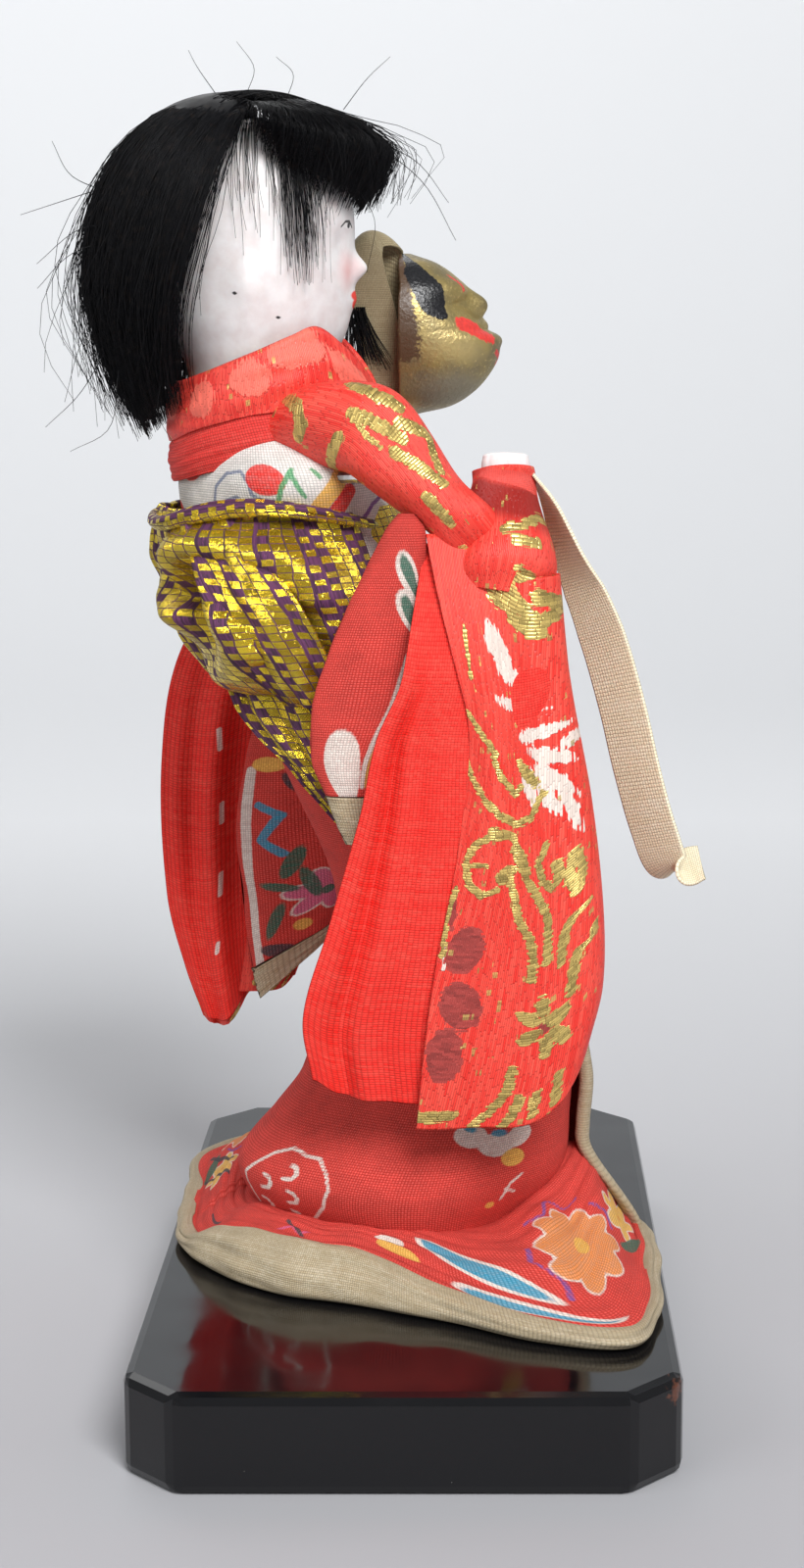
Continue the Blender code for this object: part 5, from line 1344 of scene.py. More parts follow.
    def hem_motifs(self) -> list[Shape]:
        """Leaves, flowers and stripes of the hem."""
        shapes = [
            *strokes(Ink.DARK, 0.7, ((50.9, 18.5), (56, 14)), ((60.5, 20), (66.6, 13.6)),
                     ((65.8, 21.2), (71.3, 12.8)), ((79, 16.4), (84, 17.6)), ((96, 15.2), (99, 19.4))),
            *strokes(Ink.PINK, 0.5, ((95.6, 19.8), (97.0, 17.6), (98.4, 19.0), (99.6, 17.2))),
            *leaves(Ink.PALE, (110.2, 14.4, 4.4, 2.8, -15), (119.2, 13.9, 13.2, 5.2, 38, 0.4),
                    (122.0, 20.6, 10.5, 3.8, 12, 0.4)),
            *leaves(Ink.YELLOW, (111.4, 16.6, 5.4, 2.6, 10)),
            *leaves(Ink.BLUE, (119.2, 13.9, 11.6, 3.6, 38, 0.4), (122.0, 20.6, 9.0, 2.5, 12, 0.4)),
            *strokes(Ink.PALE, 0.3, ((115.4, 11.4), (119.2, 14.2), (122.4, 16.6)), ((118.6, 20.0), (125.5, 21.2))),
            *flower(Ink.GOLD, Ink.YELLOW, (131.6, 12.4), 12.4, 9, 0.4),
            *strokes(Ink.PURPLE, 0.45, ((125.2, 9.4), (124.2, 12.0), (125.6, 14.6), (125.0, 17.0)),
                     ((128.6, 5.4), (131.6, 6.4), (134.0, 5.0), (136.0, 7.2), (138.6, 8.2)),
                     ((138.2, 11.0), (139.2, 13.4), (137.4, 15.6))),
            *flower(Ink.YELLOW, Ink.GOLD, (142.5, 16.0), 8, 6), *leaves(Ink.GREEN, (139.0, 19.6, 6.4, 2.2, 40)),
        ]
        return shapes + moved(shapes, -75, 0)

    def skirt_motifs(self) -> list[Shape]:
        """Flowers and leaves of the skirt."""
        shapes = [
            *strokes(Ink.PALE, 0.4, (
                (71.9, 61.3), (71.2, 63.9), (69.0, 66.6), (66.2, 68.6), (63.0, 68.8), (61.0, 66.8), (61.2, 64.0),
                (60.6, 61.8), (62.4, 59.8), (63.6, 58.4), (65.4, 57.4), (67.4, 57.9), (69.2, 58.0), (71.0, 59.6),
                (71.9, 61.3))),
            *strokes(Ink.PALE, 0.5, *[
                tuple((x + 1.1 * math.cos(a), y + 0.9 * math.sin(a)) for a in (1.9, 0.9, 0, -0.9, -1.6))
                for x, y in ((66.6, 60.2), (67.0, 63.4), (66.6, 66.4), (63.8, 62.0), (62.8, 65.4))]),
            *leaves(Ink.PALE, (84.5, 54.1, 4.4, 2.6, 24), (87.9, 55.7, 5.1, 2.8, 20), (91, 55.1, 3.6, 2.8, -4)),
            *leaves(Ink.YELLOW, (90.6, 57.8, 3.4, 2.2, 15), (88.9, 63.8, 1.3, 1, 17)),
            *leaves(Ink.BLUE, (83.9, 52.9, 2.5, 0.9, 33), (88, 54.2, 2.5, 0.9, 11)),
            *strokes(Ink.PALE, 0.4, ((90.2, 63.3), (91, 61.2), (92.4, 60.3)), ((90.4, 61.9), (91.9, 62.6))),
            *flower(Ink.PINK, Ink.GREEN, (59, 30), 9, 6), *flower(Ink.YELLOW, Ink.PINK, (101, 40), 8, 5),
        ]
        return moved(shapes, 0, 5.3) + moved(shapes, 53, 5.3)

    def bodice_motifs(self) -> list[Shape]:
        """The big pale flower of the chest and what lies round it."""
        shapes = [
            *leaves(Ink.GOLD, (62.6, 6.5, 4, 4, -2), (44.1, 11.6, 4, 2.5, 21), (49.7, 6, 5.2, 2.4, -3)),
            *strokes(Ink.GOLD, 1.8, ((70.7, 8), (68.2, 12.2))),
            *strokes(Ink.YELLOW, 1.8, ((70.6, 5.3), (67.8, 9.2), (65.9, 12.4))),
            *strokes(Ink.PALE, 0.45,
                ((55.2, 12.8), (55.1, 9.8), (55.8, 7.6), (58, 5.8), (60.1, 5.5), (60.9, 7.1), (60.9, 8.5),
                 (62.1, 9.2), (63.1, 9.7), (63.2, 11.3), (62.4, 13.3)),
                ((56.6, 9.7), (59, 8.8), (59.8, 9.7)), ((57.8, 11.5), (59.8, 9.3)),
                ((72.9, 5.7), (69.3, 9), (67, 12.2))),
            *strokes(Ink.GREEN, 0.5, ((65.4, 5.1), (64.1, 7.3), (63.3, 9.9), (64.2, 11.2)),
                ((65.2, 5.6), (65.5, 7.1), (66, 8.6)), ((67.3, 5.2), (67.8, 6.2))),
            *strokes(Ink.GREEN, 0.9, ((52.1, 11.9), (52, 14.6))),
            *strokes(Ink.PURPLE, 0.6, ((79.2, 8.6), (74.5, 10.2), (72.3, 12.2)),
                ((47.3, 14.1), (49.2, 16.2), (46.5, 17.8))),
            *leaves(Ink.PURPLE, (56.7, 13.6, 3.3, 1.5, -2)),
            *leaves(Ink.PINK, (76, 7, 4.4, 2.2, 13), (25.6, 18.8, 4.3, 1.8, 122)),
            *leaves(Ink.YELLOW, (22.7, 21.3, 6, 1.4, 157), (59.9, 9.8, 0.6, 0.6, 0)),
        ]
        return shapes + moved(shapes, -42, 0)

    def overlap_motifs(self) -> list[Shape]:
        """Motifs of the overlap."""
        return [
            *leaves(Ink.PALE, (13.0, 59.6, 6.4, 3.8, -70, 0.4)), *leaves(Ink.GREEN, (13.0, 59.7, 5.2, 2.8, -70, 0.4)),
            *leaves(Ink.YELLOW, (17.4, 66, 4, 2.1, -66)), *leaves(Ink.PINK, (11.3, 52.2, 3.1, 3.1, 0)),
            *flower(Ink.GOLD, Ink.YELLOW, (15.0, 30.0), 8.0, 7), *leaves(Ink.GREEN, (10.5, 34.0, 6.0, 2.2, 60, 0.5)),
        ]


@dataclass
class UnderSleeves(Assembly):
    """The puffed under-sleeves with their cream edges."""

    half_width: float = 0.0058
    half_thickness: float = 0.0017
    end_shares: Pair = (0.85, 0.93)
    arm_height: float = 0.112676
    crease: float = 0.06
    left_slant: float = 0.0050
    edge_gap: float = 0.004
    cloth_fill: float = 0.5
    edge_fill: float = 0.4
    right: tuple[float, float, float, float] = (-0.0020, -0.0226, 0.0016, 0.0408)
    left: tuple[float, float, float, float] = (-0.0115, 0.0272, 0.01172, 0.0625)
    right_shares: Table = (
        (0.00, 0.36, 0.16, 0.30), (0.05, 0.34, 0.42, 0.70), (0.24, -0.02, 0.74, 1.00),
        (0.42, -0.34, 0.96, 1.05), (0.58, -0.58, 1.02, 1.00), (0.74, -0.86, 0.80, 0.85),
        (0.86, -0.82, 0.54, 0.70), (0.93, -0.74, 0.44, 0.60), (1.00, -0.68, 0.30, 0.45),
    )
    left_shares: Table = (
        (0.00, 0.20, 0.30, 0.60), (0.14, -0.30, 0.60, 0.90), (0.36, -1.10, 0.85, 1.00),
        (0.58, -1.20, 1.20, 1.10), (0.78, -1.08, 1.22, 1.10), (0.93, -1.04, 1.10, 0.90),
        (1.00, -1.00, 0.96, 0.50),
    )

    def placer(self, side: str, first: float, last: float) -> Place:
        """Places points round one under-sleeve between two shares of its drop."""
        x0, y0, hang, drop = self.right if side == "right" else self.left
        shares = self.right_shares if side == "right" else self.left_shares
        top = self.arm_height - hang

        def place(u: Array, v: Array) -> Array:
            share = first + (last - first) * v
            shift, wide, thick = follow(shares, share).T
            angle = FULL_TURN * (u + 0.5)
            crease = self.crease * np.sin(5 * angle + 7 * share) * thick + 0.05 * ripple(u, v, 12, 3.0)
            crease = crease + 0.05 * ripple(u, v, 13, 7.0)
            x = x0 + self.half_width * (shift + wide * (1 + crease * 0.4) * np.cos(angle))
            y = y0 + self.half_thickness * thick * (1 + crease) * np.sin(angle)
            slant = self.left_slant * (np.cos(angle) + 0.8) * share**4 if side == "left" else 0.0
            return points(x, y, top - drop * share + slant)

        return place

    def build(self) -> None:
        """Build both under-sleeves and their edges."""
        for side in ("right", "left"):
            drop = (self.right if side == "right" else self.left)[3] / MM
            share = self.end_shares[side == "left"]
            puff = Sheet(f"under_sleeve_cloth_{side}", 130, 200, (25.0, drop * share), 0.0, True)
            obj = self.dress(puff.make(self.placer(side, 0.0, share), self.motifs(side), True),
                             "printed_cotton", "print", f"under_sleeve_{side}")
            end = Sheet(f"under_sleeve_hem_{side}", 90, 24, (16.0, drop * (1 - share)), 0.0, True)
            obj = self.dress(end.make(self.placer(side, share + self.edge_gap, 1.0), (), True),
                             "cream_lining", "cream", f"under_sleeve_edge_{side}")

    def motifs(self, side: str) -> list[Shape]:
        """The prints of one under-sleeve."""
        if side == "left":
            return [
                *strokes(Ink.PALE, 1.4, ((2.3, 30), (2.1, 38), (2.1, 46), (2.3, 54), (2.6, 60))),
                *strokes(Ink.BLUE, 1.0, ((3.6, 34.9), (5.8, 36.5), (3.9, 40.1), (5.8, 42.5))),
                *leaves(Ink.YELLOW, (4.4, 29.0, 4.0, 2.2, 0), (7.0, 55.0, 2.3, 1.5, 65)),
                *leaves(Ink.GREEN, (6.5, 44.0, 5.1, 1.7, -70), (4.7, 52.7, 5.3, 1.3, -75),
                        (7.8, 47.9, 5.9, 1.4, 77), (5.2, 47.6, 4.0, 1.2, 30)),
                *leaves(Ink.DARK, (4.6, 57.4, 4.2, 1.6, 40), (6.6, 31.6, 3.0, 1.0, 70)),
                *flower(Ink.PINK, Ink.GREEN, (9.4, 50.0), 8.0, 6),
            ]
        return [
            *leaves(Ink.PALE, (8.9, 8.1, 9.0, 3.2, 54, 0.5), (9.8, 12.7, 8.4, 3.2, 58, 0.5)),
            *leaves(Ink.GREEN, (8.9, 8.0, 7.6, 1.9, 54, 0.7), (9.8, 12.8, 7.0, 2.0, 60, 0.7)),
            *strokes(Ink.YELLOW, 0.8, ((10.4, 17.2), (9.9, 20.9), (9.5, 24.3), (9.0, 27.7), (8.6, 33.3))),
            *strokes(Ink.PALE, 0.6, ((9.7, 17.1), (9.2, 20.4), (8.8, 23.5), (8.3, 27.2), (7.9, 33.4))),
            *leaves(Ink.PALE, (5.4, 31.0, 9.5, 4.2, 84)), *flower(Ink.PINK, Ink.YELLOW, (19.0, 16.0), 8.0, 6),
        ]


@dataclass
class Collars(Assembly):
    """The satin collar, the cream collar behind its edge and the plain band below it."""

    foot_share: float = 0.936
    height: float = 0.0175
    radius: float = 0.0122
    satin_wall: float = 0.0008
    fold_share: float = 0.8
    band_rise: float = 0.0036
    swell: float = 0.0005
    cream_depth: float = 0.0052
    under_rise: float = 0.0044
    under_swell: float = 0.0006
    shares: Table = (
        (0, 0.46, 0.13, 1.23, 1.37), (20, 0.70, 0.20, 1.16, 1.32), (35, 0.89, 0.28, 1.06, 1.24),
        (50, 1.00, 0.32, 1.01, 1.16), (65, 0.94, 0.29, 1.00, 1.09), (90, 0.81, 0.21, 0.98, 1.03),
        (120, 0.68, 0.12, 0.92, 0.95), (150, 0.61, 0.03, 0.86, 0.88), (180, 0.60, 0.00, 0.85, 0.87),
    )

    def row(self, angle: Array) -> tuple[Array, Array, Array, Array]:
        """The top, bottom, top reach and bottom reach at an angle from the front."""
        turn = np.abs(half_turned(np.degrees(angle), 360))
        top, bottom, top_reach, bottom_reach = follow(self.shares, turn).T
        foot = BODY.z(self.foot_share)
        return (foot + top * self.height, foot + bottom * self.height, top_reach * self.radius,
                bottom_reach * self.radius)

    def satin_place(self, u: Array, v: Array) -> Array:
        """The satin band, folded over at its top."""
        angle = FULL_TURN * u
        top, bottom, top_reach, bottom_reach = self.row(angle)
        bottom = bottom + self.band_rise * (1 - 0.4 * np.maximum(0, np.cos(angle)))
        fold = self.fold_share
        share = np.where(v < fold, v / fold, 1 - 0.45 * (v - fold) / 0.2)
        inside = ease(v, 0.76, 0.84)
        roll = self.swell * bump(v - fold, 0.06)
        reach = bottom_reach + (top_reach - bottom_reach) * share + self.satin_wall * (0.85 - 0.62 * inside)
        swell = self.swell * np.sin(math.pi * np.clip(share, 0, 1)) + 0.00012 * ripple(u, v, 14, 7.0)
        z = bottom + (top - bottom) * share + roll
        reach = reach + swell * (1 - inside)
        return round_neck(reach, angle, z)

    def cream_place(self, u: Array, v: Array) -> Array:
        """The cream inner collar."""
        angle = FULL_TURN * u
        top, bottom, top_reach, _ = self.row(angle)
        front = np.maximum(0.0, np.cos(angle))
        high = top + 0.0007 - 0.22 * self.height * front
        low = np.maximum(high - self.cream_depth, bottom)
        reach = top_reach - 0.00065
        return round_neck(reach, angle, low + (high - low) * v)

    def under_place(self, u: Array, v: Array) -> Array:
        """The plain red band, from under the satin down over the bodice's shoulder."""
        angle = FULL_TURN * u
        _, bottom, _, bottom_reach = self.row(angle)
        top = bottom + self.under_rise * (1 - 0.4 * np.maximum(0, np.cos(angle)))
        foot = bottom - 0.0020 - 0.0006 * np.cos(angle)
        low = BODY.point(foot, angle, 0.0020)
        reach = bottom_reach + 0.0001
        high = round_neck(reach, angle, top)
        out = points(np.cos(angle), np.sin(angle), 0 * angle)
        swell = self.under_swell * np.sin(math.pi * v) + 0.0001 * ripple(u, v, 15, 6.0)
        return low + (high - low) * v[:, None] + out * swell[:, None]

    def build(self) -> None:
        """Build the three collars."""
        self.lay_cloth(Sheet("collar_band", 320, 60, (84.0, 10.0), 0.0004, True), self.satin_place,
                       ("salmon_satin", "satin", "satin_collar"), Hold.FOLDED, "bodice_cloth",
                       shapes=self.motifs())
        cream = Sheet("inner_collar_band", 240, 14, (74.0, 5.2), 0.0003, True)
        self.dress(cream.make(self.cream_place), "cream_lining", "cream", "cream_collar")
        under = Sheet("under_collar_band", 300, 36, (84.0, 7.0), 0.0006, True)
        self.dress(under.make(self.under_place), "red_under_cloth", "plain_red", "under_collar")

    def motifs(self) -> list[Shape]:
        """Salmon patches of the collar."""
        return [
            *leaves(Ink.PALE, (69.2, 6.6, 8.0, 3.8, -12), (63.2, 5.2, 6.0, 4.4, -40), (56.3, 4.4, 4.2, 6.0, 0),
                    (49, 5, 5, 4, 20), (76, 5, 6, 4, 0), (8, 5, 6, 4, 0), (20, 5, 7, 4, 10), (32, 5, 6, 4, -10)),
        ]


@dataclass
class Obi(Assembly):
    """The gold obi: band, two loops, the tie and the pointed tail."""

    inside: float = 0.0015
    lame_wall: float = 0.0011
    top_share: float = 0.885
    bottom_share: float = 0.690
    loop_top_share: float = 0.894
    loop_bottom_share: float = 0.686
    band_tilt: float = 0.0014
    band_crease: float = 0.0003
    loop_crease: float = 0.00035
    roll_thickness: float = 0.0011
    tab_drop: float = 0.0235
    tab_puff: float = 0.0070
    tail_shares: Pair = (0.715, 0.518)
    tail_crease: float = 0.0006
    tail_swell: float = 0.0016

    def band_place(self, u: Array, v: Array) -> Array:
        """The band round the waist."""
        angle = FULL_TURN * u
        share = self.top_share + (self.bottom_share - self.top_share) * v
        z = BODY.z(share) + self.band_tilt * np.cos(angle)
        crease = self.band_crease * np.cos(3 * math.pi * v + np.sin(2 * angle))
        return BODY.point(z, angle, self.inside + self.lame_wall * 0.6 + crease)

    def bow_placer(self, start: float, end: float, puff: float, swirl: tuple[float, float, float],
                   seed: int) -> Place:
        """Places points on a puffed loop whose folds wind round one spot.

        Args:
            start: The angle round the body where it starts.
            end: The angle where it ends.
            puff: How far it stands out.
            swirl: Where across and along its folds meet, and how deep they are.
            seed: Which small creases it has.

        Returns:
            The place function.
        """
        seat = self.inside + self.lame_wall + 0.0003

        def place(u: Array, v: Array) -> Array:
            angle = start + (end - start) * u
            swell = np.sin(math.pi * (0.02 + 0.96 * u)) ** 0.5 * np.sin(math.pi * (0.02 + 0.96 * v)) ** 0.42
            a, b = (u - swirl[0]) * 1.3, v - swirl[1]
            far = np.hypot(a, b)
            wind = np.cos(3 * np.arctan2(b, a) - 11 * far + 1.0)
            hollow = -1.5 * bump(far, 0.13)
            ridge = swirl[2] * (wind * ease(far, 0.04, 0.22) * (1 - 0.45 * far) + hollow) * swell
            fine = self.loop_crease * ripple(u, v, seed, 6.0) * swell
            share = self.loop_top_share + (self.loop_bottom_share - self.loop_top_share) * v
            return BODY.point(BODY.z(share), angle, seat + puff * swell + ridge + fine)

        return place

    def roll_place(self, u: Array, v: Array) -> Array:
        """The rolled upper edge of the knot."""
        angle = math.radians(184) + math.radians(128) * v
        turn = FULL_TURN * u
        thick = self.roll_thickness * np.sin(math.pi * (0.04 + 0.92 * v)) ** 0.35
        thick = thick * (1 + 0.12 * ripple(u, v, 27, 3.0))
        share = self.loop_top_share - 0.004 - 0.012 * np.sin(2.2 * math.pi * v + 0.4)
        far = self.inside + self.lame_wall + 0.0020 + 0.0024 * np.sin(math.pi * v)
        return BODY.point(BODY.z(share) + thick * np.sin(turn), angle, far + 1.1 * thick * np.cos(turn))

    def tab_place(self, u: Array, v: Array) -> Array:
        """The tab that comes over the knot's top and hangs down its middle."""
        z = BODY.z(self.loop_top_share - 0.002) - self.tab_drop * v
        middle = math.radians(243) + math.radians(13) * v + math.radians(6) * np.sin(3 * v)
        half = math.radians(12) + math.radians(3) * np.sin(math.pi * v)
        angle = middle + half * (2 * u - 1)
        puff = self.tab_puff * np.sin(math.pi * (0.06 + 0.86 * v)) ** 0.5
        far = self.inside + self.lame_wall + puff + 0.0004
        crease = 0.0004 * np.cos(3 * math.pi * u + 2 * v) + 0.0003 * ripple(u, v, 28, 4.0)
        return BODY.point(z, angle, far + crease)

    def tail_place(self, u: Array, v: Array) -> Array:
        """The pointed tail that hangs from under the knot."""
        high, low = self.tail_shares
        z = BODY.z(high + (low - high) * v)
        left = math.radians(198) + math.radians(46) * v
        right = math.radians(282) - math.radians(32) * v
        angle = left + (right - left) * u
        ridge = self.tail_crease * np.cos(7 * math.pi * u + 1.5 * v) * (1 - v) + 0.00025 * ripple(u, v, 29, 5.0)
        return BODY.point(z, angle, self.inside + self.tail_swell + ridge + self.tail_swell * ease(v, 0.0, 0.35))

    def build(self) -> None:
        """Build the obi."""
        lame = ("gold_lame", "lame")
        self.lay_cloth(Sheet("obi_band_cloth", 260, 50, (90.0, 21.0), 0.0007, True), self.band_place,
                       (*lame, "obi_band"), Hold.STRETCHED, "bodice_cloth")
        half_tie = math.radians(11)
        bows = (
            ("obi_loop_cloth_right", "obi_loop_right", (190, 150, (34.0, 28.0), 0.0005),
             (BACK + math.radians(10), math.radians(304), 0.0060, (0.30, 0.46, 0.0030), 21)),
            ("obi_loop_cloth_left", "obi_loop_left", (190, 150, (20.0, 28.0), 0.0005),
             (math.radians(104), BACK - math.radians(10), 0.0044, (0.6, 0.5, 0.0014), 22)),
            ("obi_tie_cloth", "obi_tie", (60, 90, (11.0, 21.0), 0.0006),
             (BACK - half_tie, BACK + half_tie, 0.0034, (0.5, 0.5, 0.0003), 23)),
        )
        for name, node, grid, bow in bows:
            self.lay_cloth(Sheet(name, *grid), self.bow_placer(*bow), (*lame, node), Hold.FOLDED,
                           "obi_band_cloth")
        roll = Sheet("obi_rolled_edge", 40, 160, (7.0, 36.0), 0.0, True)
        self.dress(roll.make(self.roll_place, (), True), *lame)
        self.lay_cloth(Sheet("obi_tab_cloth", 60, 110, (10.0, 26.0), 0.0005), self.tab_place, lame,
                       Hold.HUNG, "obi_loop_cloth_right")
        tail = Sheet("obi_tail_cloth", 110, 110, (17.0, 22.0), 0.0005)
        obj = self.dress(tail.make(self.tail_place), *lame, "obi_tail")


@dataclass
class Sleeves(Assembly):
    """Upper sleeves, cuffs and the hanging sleeves with their linings."""

    upper_right: Table = (
        (-16, -10, 121.6, 3.5), (-10.5, -13.5, 121.5, 5.5), (-4.6, -17, 120.6, 5.8),
        (-0.2, -19, 117, 5), (4, -20.5, 112.6, 4.3), (7.4, -21.6, 109, 3.9), (11.6, -19.6, 105, 3.2),
    )
    upper_left: Table = (
        (-15.5, 8, 116.9, 5.9), (-13, 14.8, 116.9, 6.7), (-11.5, 20.4, 113.4, 6.2),
        (-9.7, 24, 108.8, 6.1), (-8.7, 24.8, 107.1, 5.6),
    )
    cuff_right: Table = (
        (11.6, -22.0, 101.3, 5.4), (12.2, -21.4, 104.6, 6.2), (12.1, -18.8, 110.2, 4.9),
        (11.9, -17.2, 114, 4.2), (11.8, -16.7, 116, 4),
    )
    cuff_left: Table = (
        (-6.2, 24.4, 101.1, 6.8), (-5.4, 23.4, 107.4, 6.4), (-3.7, 21.6, 112, 5.6),
        (-2.7, 20.6, 114.2, 4.8),
    )
    drops: Pair = (0.0647, 0.0695)
    reach: float = 0.0250
    spread: float = 0.0300
    right_hang: float = 0.01237
    left_hang: float = 0.01062
    arm_height: float = 0.112676
    corner: float = 0.28
    lining_inset: float = 0.0010
    foot_hollows: Pair = (0.0110, 0.0070)
    wave: float = 0.0004
    left_rise: float = 0.0012
    left_valleys: Pair = (0.0024, 0.0009)
    left_foot_lift: float = 0.0055
    corner_lift: float = 0.0012
    right_rise: float = 0.0082
    right_tuck: float = 0.0046
    right_wave: float = 0.0005
    lining_valleys: Pair = (0.0022, 0.0006)
    upper_crease: float = 0.0006
    cuff_crease: float = 0.0003
    cuff_seam: float = 0.89
    tube_wall: float = 0.0004
    right_shares: Table = (
        (0.00, 0.10, 0.74, 0.20, -0.905, -0.625), (0.20, 0.30, 0.80, 0.22, -0.960, -0.630),
        (0.45, 0.26, 0.90, 0.20, -0.985, -0.640), (0.70, 0.14, 0.96, 0.14, -0.980, -0.655),
        (0.88, 0.08, 0.96, 0.10, -0.965, -0.680), (1.00, 0.05, 0.90, 0.10, -0.945, -0.720),
    )
    right_lining_shares: Table = (
        (0.00, 0.09, 0.74, 0.30, -0.905, -0.625), (0.08, 0.03, 0.77, 0.31, -0.940, -0.630),
        (0.17, -0.03, 0.80, 0.32, -0.970, -0.632), (0.275, -0.14, 0.83, 0.31, -0.985, -0.636),
        (0.43, -0.22, 0.88, 0.28, -0.990, -0.640), (0.655, -0.37, 0.95, 0.20, -0.985, -0.655),
        (0.86, -0.51, 0.96, 0.16, -0.970, -0.680), (1.00, -0.47, 0.90, 0.16, -0.945, -0.720),
    )
    left_shares: Table = (
        (0.00, -0.92, -0.16, -0.52, 1.020, 0.720), (0.22, -1.34, -0.20, -0.50, 1.060, 0.760),
        (0.45, -1.47, -0.40, -0.80, 1.090, 0.990), (0.75, -1.46, -0.48, -0.96, 1.100, 1.010),
        (0.90, -1.36, -0.58, -1.00, 1.080, 0.990), (1.00, -1.26, -0.68, -1.04, 1.060, 0.980),
    )

    def hanging_placer(self, side: str, shares: Table, inset: float, seed: int) -> Place:
        """Places points on a hanging sleeve, from its rear edge round the front fold.

        Args:
            side: Which sleeve.
            shares: The rear, front and far edges and the two faces at each drop.
            inset: How far it lies inside the outer cloth.
            seed: Which waves it has.

        Returns:
            The place function.
        """
        right = side == "right"
        top = self.arm_height - (self.right_hang if right else self.left_hang)
        drop, hollow = (sizes[side == "left"] for sizes in (self.drops, self.foot_hollows))

        def place(u: Array, v: Array) -> Array:
            rear, front, far, outer, inner = follow(shares, v).T
            x_rear, x_front, x_far = (value * self.reach for value in (rear, front, far))
            y_out, y_in = outer * self.spread, inner * self.spread
            sign = np.sign(y_out)
            y_out, y_in = y_out - sign * inset, y_in + sign * inset
            x_front = x_front - inset
            half_gap = np.abs(y_out - y_in) / 2
            first, last = 0.5 - self.corner / 2, 0.5 + self.corner / 2
            a = np.clip(u / first, 0, 1)
            b = np.clip((u - last) / (1 - last), 0, 1)
            c = np.clip((u - first) / self.corner, 0, 1) * math.pi
            near, away = u <= first, u >= last
            x = np.where(near, x_rear + (x_front - half_gap - x_rear) * a,
                         np.where(away, x_front - half_gap + (x_far - x_front + half_gap) * b,
                                  x_front - half_gap + half_gap * np.sin(c)))
            y = np.where(near, y_out,
                         np.where(away, y_in, (y_out + y_in) / 2 + (y_out - y_in) / 2 * np.cos(c)))
            foot = (drop - inset) - hollow * bump(u - 0.5, 0.13)
            y = y + sign * self.wave * ripple(u, v, seed, 3.0) * ease(v, 0.0, 0.2)
            if not right:
                rise = self.left_rise * np.maximum(0.0, 1 - 2.4 * u) ** 2 * (1 - v)
                deep, shallow = self.left_valleys
                valley = deep * bump(a - 0.30, 0.09) + shallow * bump(a - 0.10, 0.06)
                y = y - valley * ease(v, 0.05, 0.5) * (1 - ease(u, 0.2, 0.3))
                foot = foot - self.left_foot_lift * ease(a, 0.22, 0.60) - self.corner_lift * bump(a, 0.08)
                return points(x, y, top + rise - foot * v)
            high = np.maximum(0, 1 - v / 0.16)
            rise = (self.right_rise - 0.0048 * ease(u, 0.16, 0.40) - 0.0020 * ease(u, 0.6, 0.8)) * high**1.5
            tuck = (self.right_tuck - 0.0042 * ease(u, 0.20, 0.38)) * high**2 * (1 - ease(u, 0.60, 0.70))
            if inset:
                rise = rise - 0.0012 * high
                deep, shallow = self.lining_valleys
                valley = deep * bump(a - 0.14, 0.05) + shallow * bump(a - 0.30, 0.06)
                y = y + valley * ease(v, 0.05, 0.35) * (1 - ease(u, 0.2, 0.3))
                foot = foot - 0.0022 * (1 - 0.5 * a) - 0.0026 * bump(a, 0.08)
            else:
                y = y + self.right_wave * np.sin(9 * a + 4 * v) * ease(v, 0.1, 0.4) * (1 - ease(u, 0.2, 0.36))
            return points(x, y + tuck, top + rise - foot * v)

        return place

    def tube_placer(self, tube: Tube, depth: float, seed: int) -> Place:
        """Places points round a tube of cloth with creases."""

        def place(u: Array, v: Array) -> Array:
            crease = depth * (np.sin(11 * v + 3 * np.sin(FULL_TURN * u + seed)) * 0.5
                              + 0.5 * ripple(u, v, seed, 3.0))
            return tube.place(FULL_TURN * (u + tube.seam), v, crease - self.tube_wall)

        return place

    def build(self) -> None:
        """Build every sleeve."""
        brocade = ("gold_brocade", "brocade")
        sides = (
            ("right", self.upper_right, self.cuff_right, self.right_shares, self.right_lining_shares,
             ((28.0, 34.0), (36.0, 17.0), (36.0, 68.0), (44.0, 67.0))),
            ("left", self.upper_left, self.cuff_left, self.left_shares, self.left_shares,
             ((37.0, 27.0), (37.0, 15.0), (40.0, 68.0), (38.0, 67.0))),
        )
        for side, upper, cuff, shares, lining_shares, flats in sides:
            self.lay_cloth(Sheet(f"upper_sleeve_cloth_{side}", 200, 170, flats[0], 0.0005, True),
                           self.tube_placer(Tube(upper), self.upper_crease, 31), (*brocade, f"upper_sleeve_{side}"),
                           Hold.DRAPED, "arm_wire", shapes=self.upper_motifs())
            self.lay_cloth(Sheet(f"cuff_cloth_{side}", 200, 110, flats[1], 0.0005, True),
                           self.tube_placer(Tube(cuff, self.cuff_seam), self.cuff_crease, 33), (*brocade, f"cuff_{side}"),
                           Hold.FOLDED, "arm_wire", shapes=self.cuff_motifs())
            self.lay_cloth(Sheet(f"sleeve_cloth_{side}", 260, 260, flats[2], 0.0006),
                           self.hanging_placer(side, shares, 0.0, 41), (*brocade, f"sleeve_{side}"),
                           Hold.HUNG, f"cuff_cloth_{side}", shapes=self.sleeve_motifs())
            self.lay_cloth(Sheet(f"sleeve_lining_cloth_{side}", 220, 220, flats[3], 0.0005),
                           self.hanging_placer(side, lining_shares, self.lining_inset, 42),
                           ("red_lining", "plain_red", f"sleeve_lining_{side}"),
                           Hold.HUNG, f"sleeve_cloth_{side}", shapes=self.lining_motifs(side))

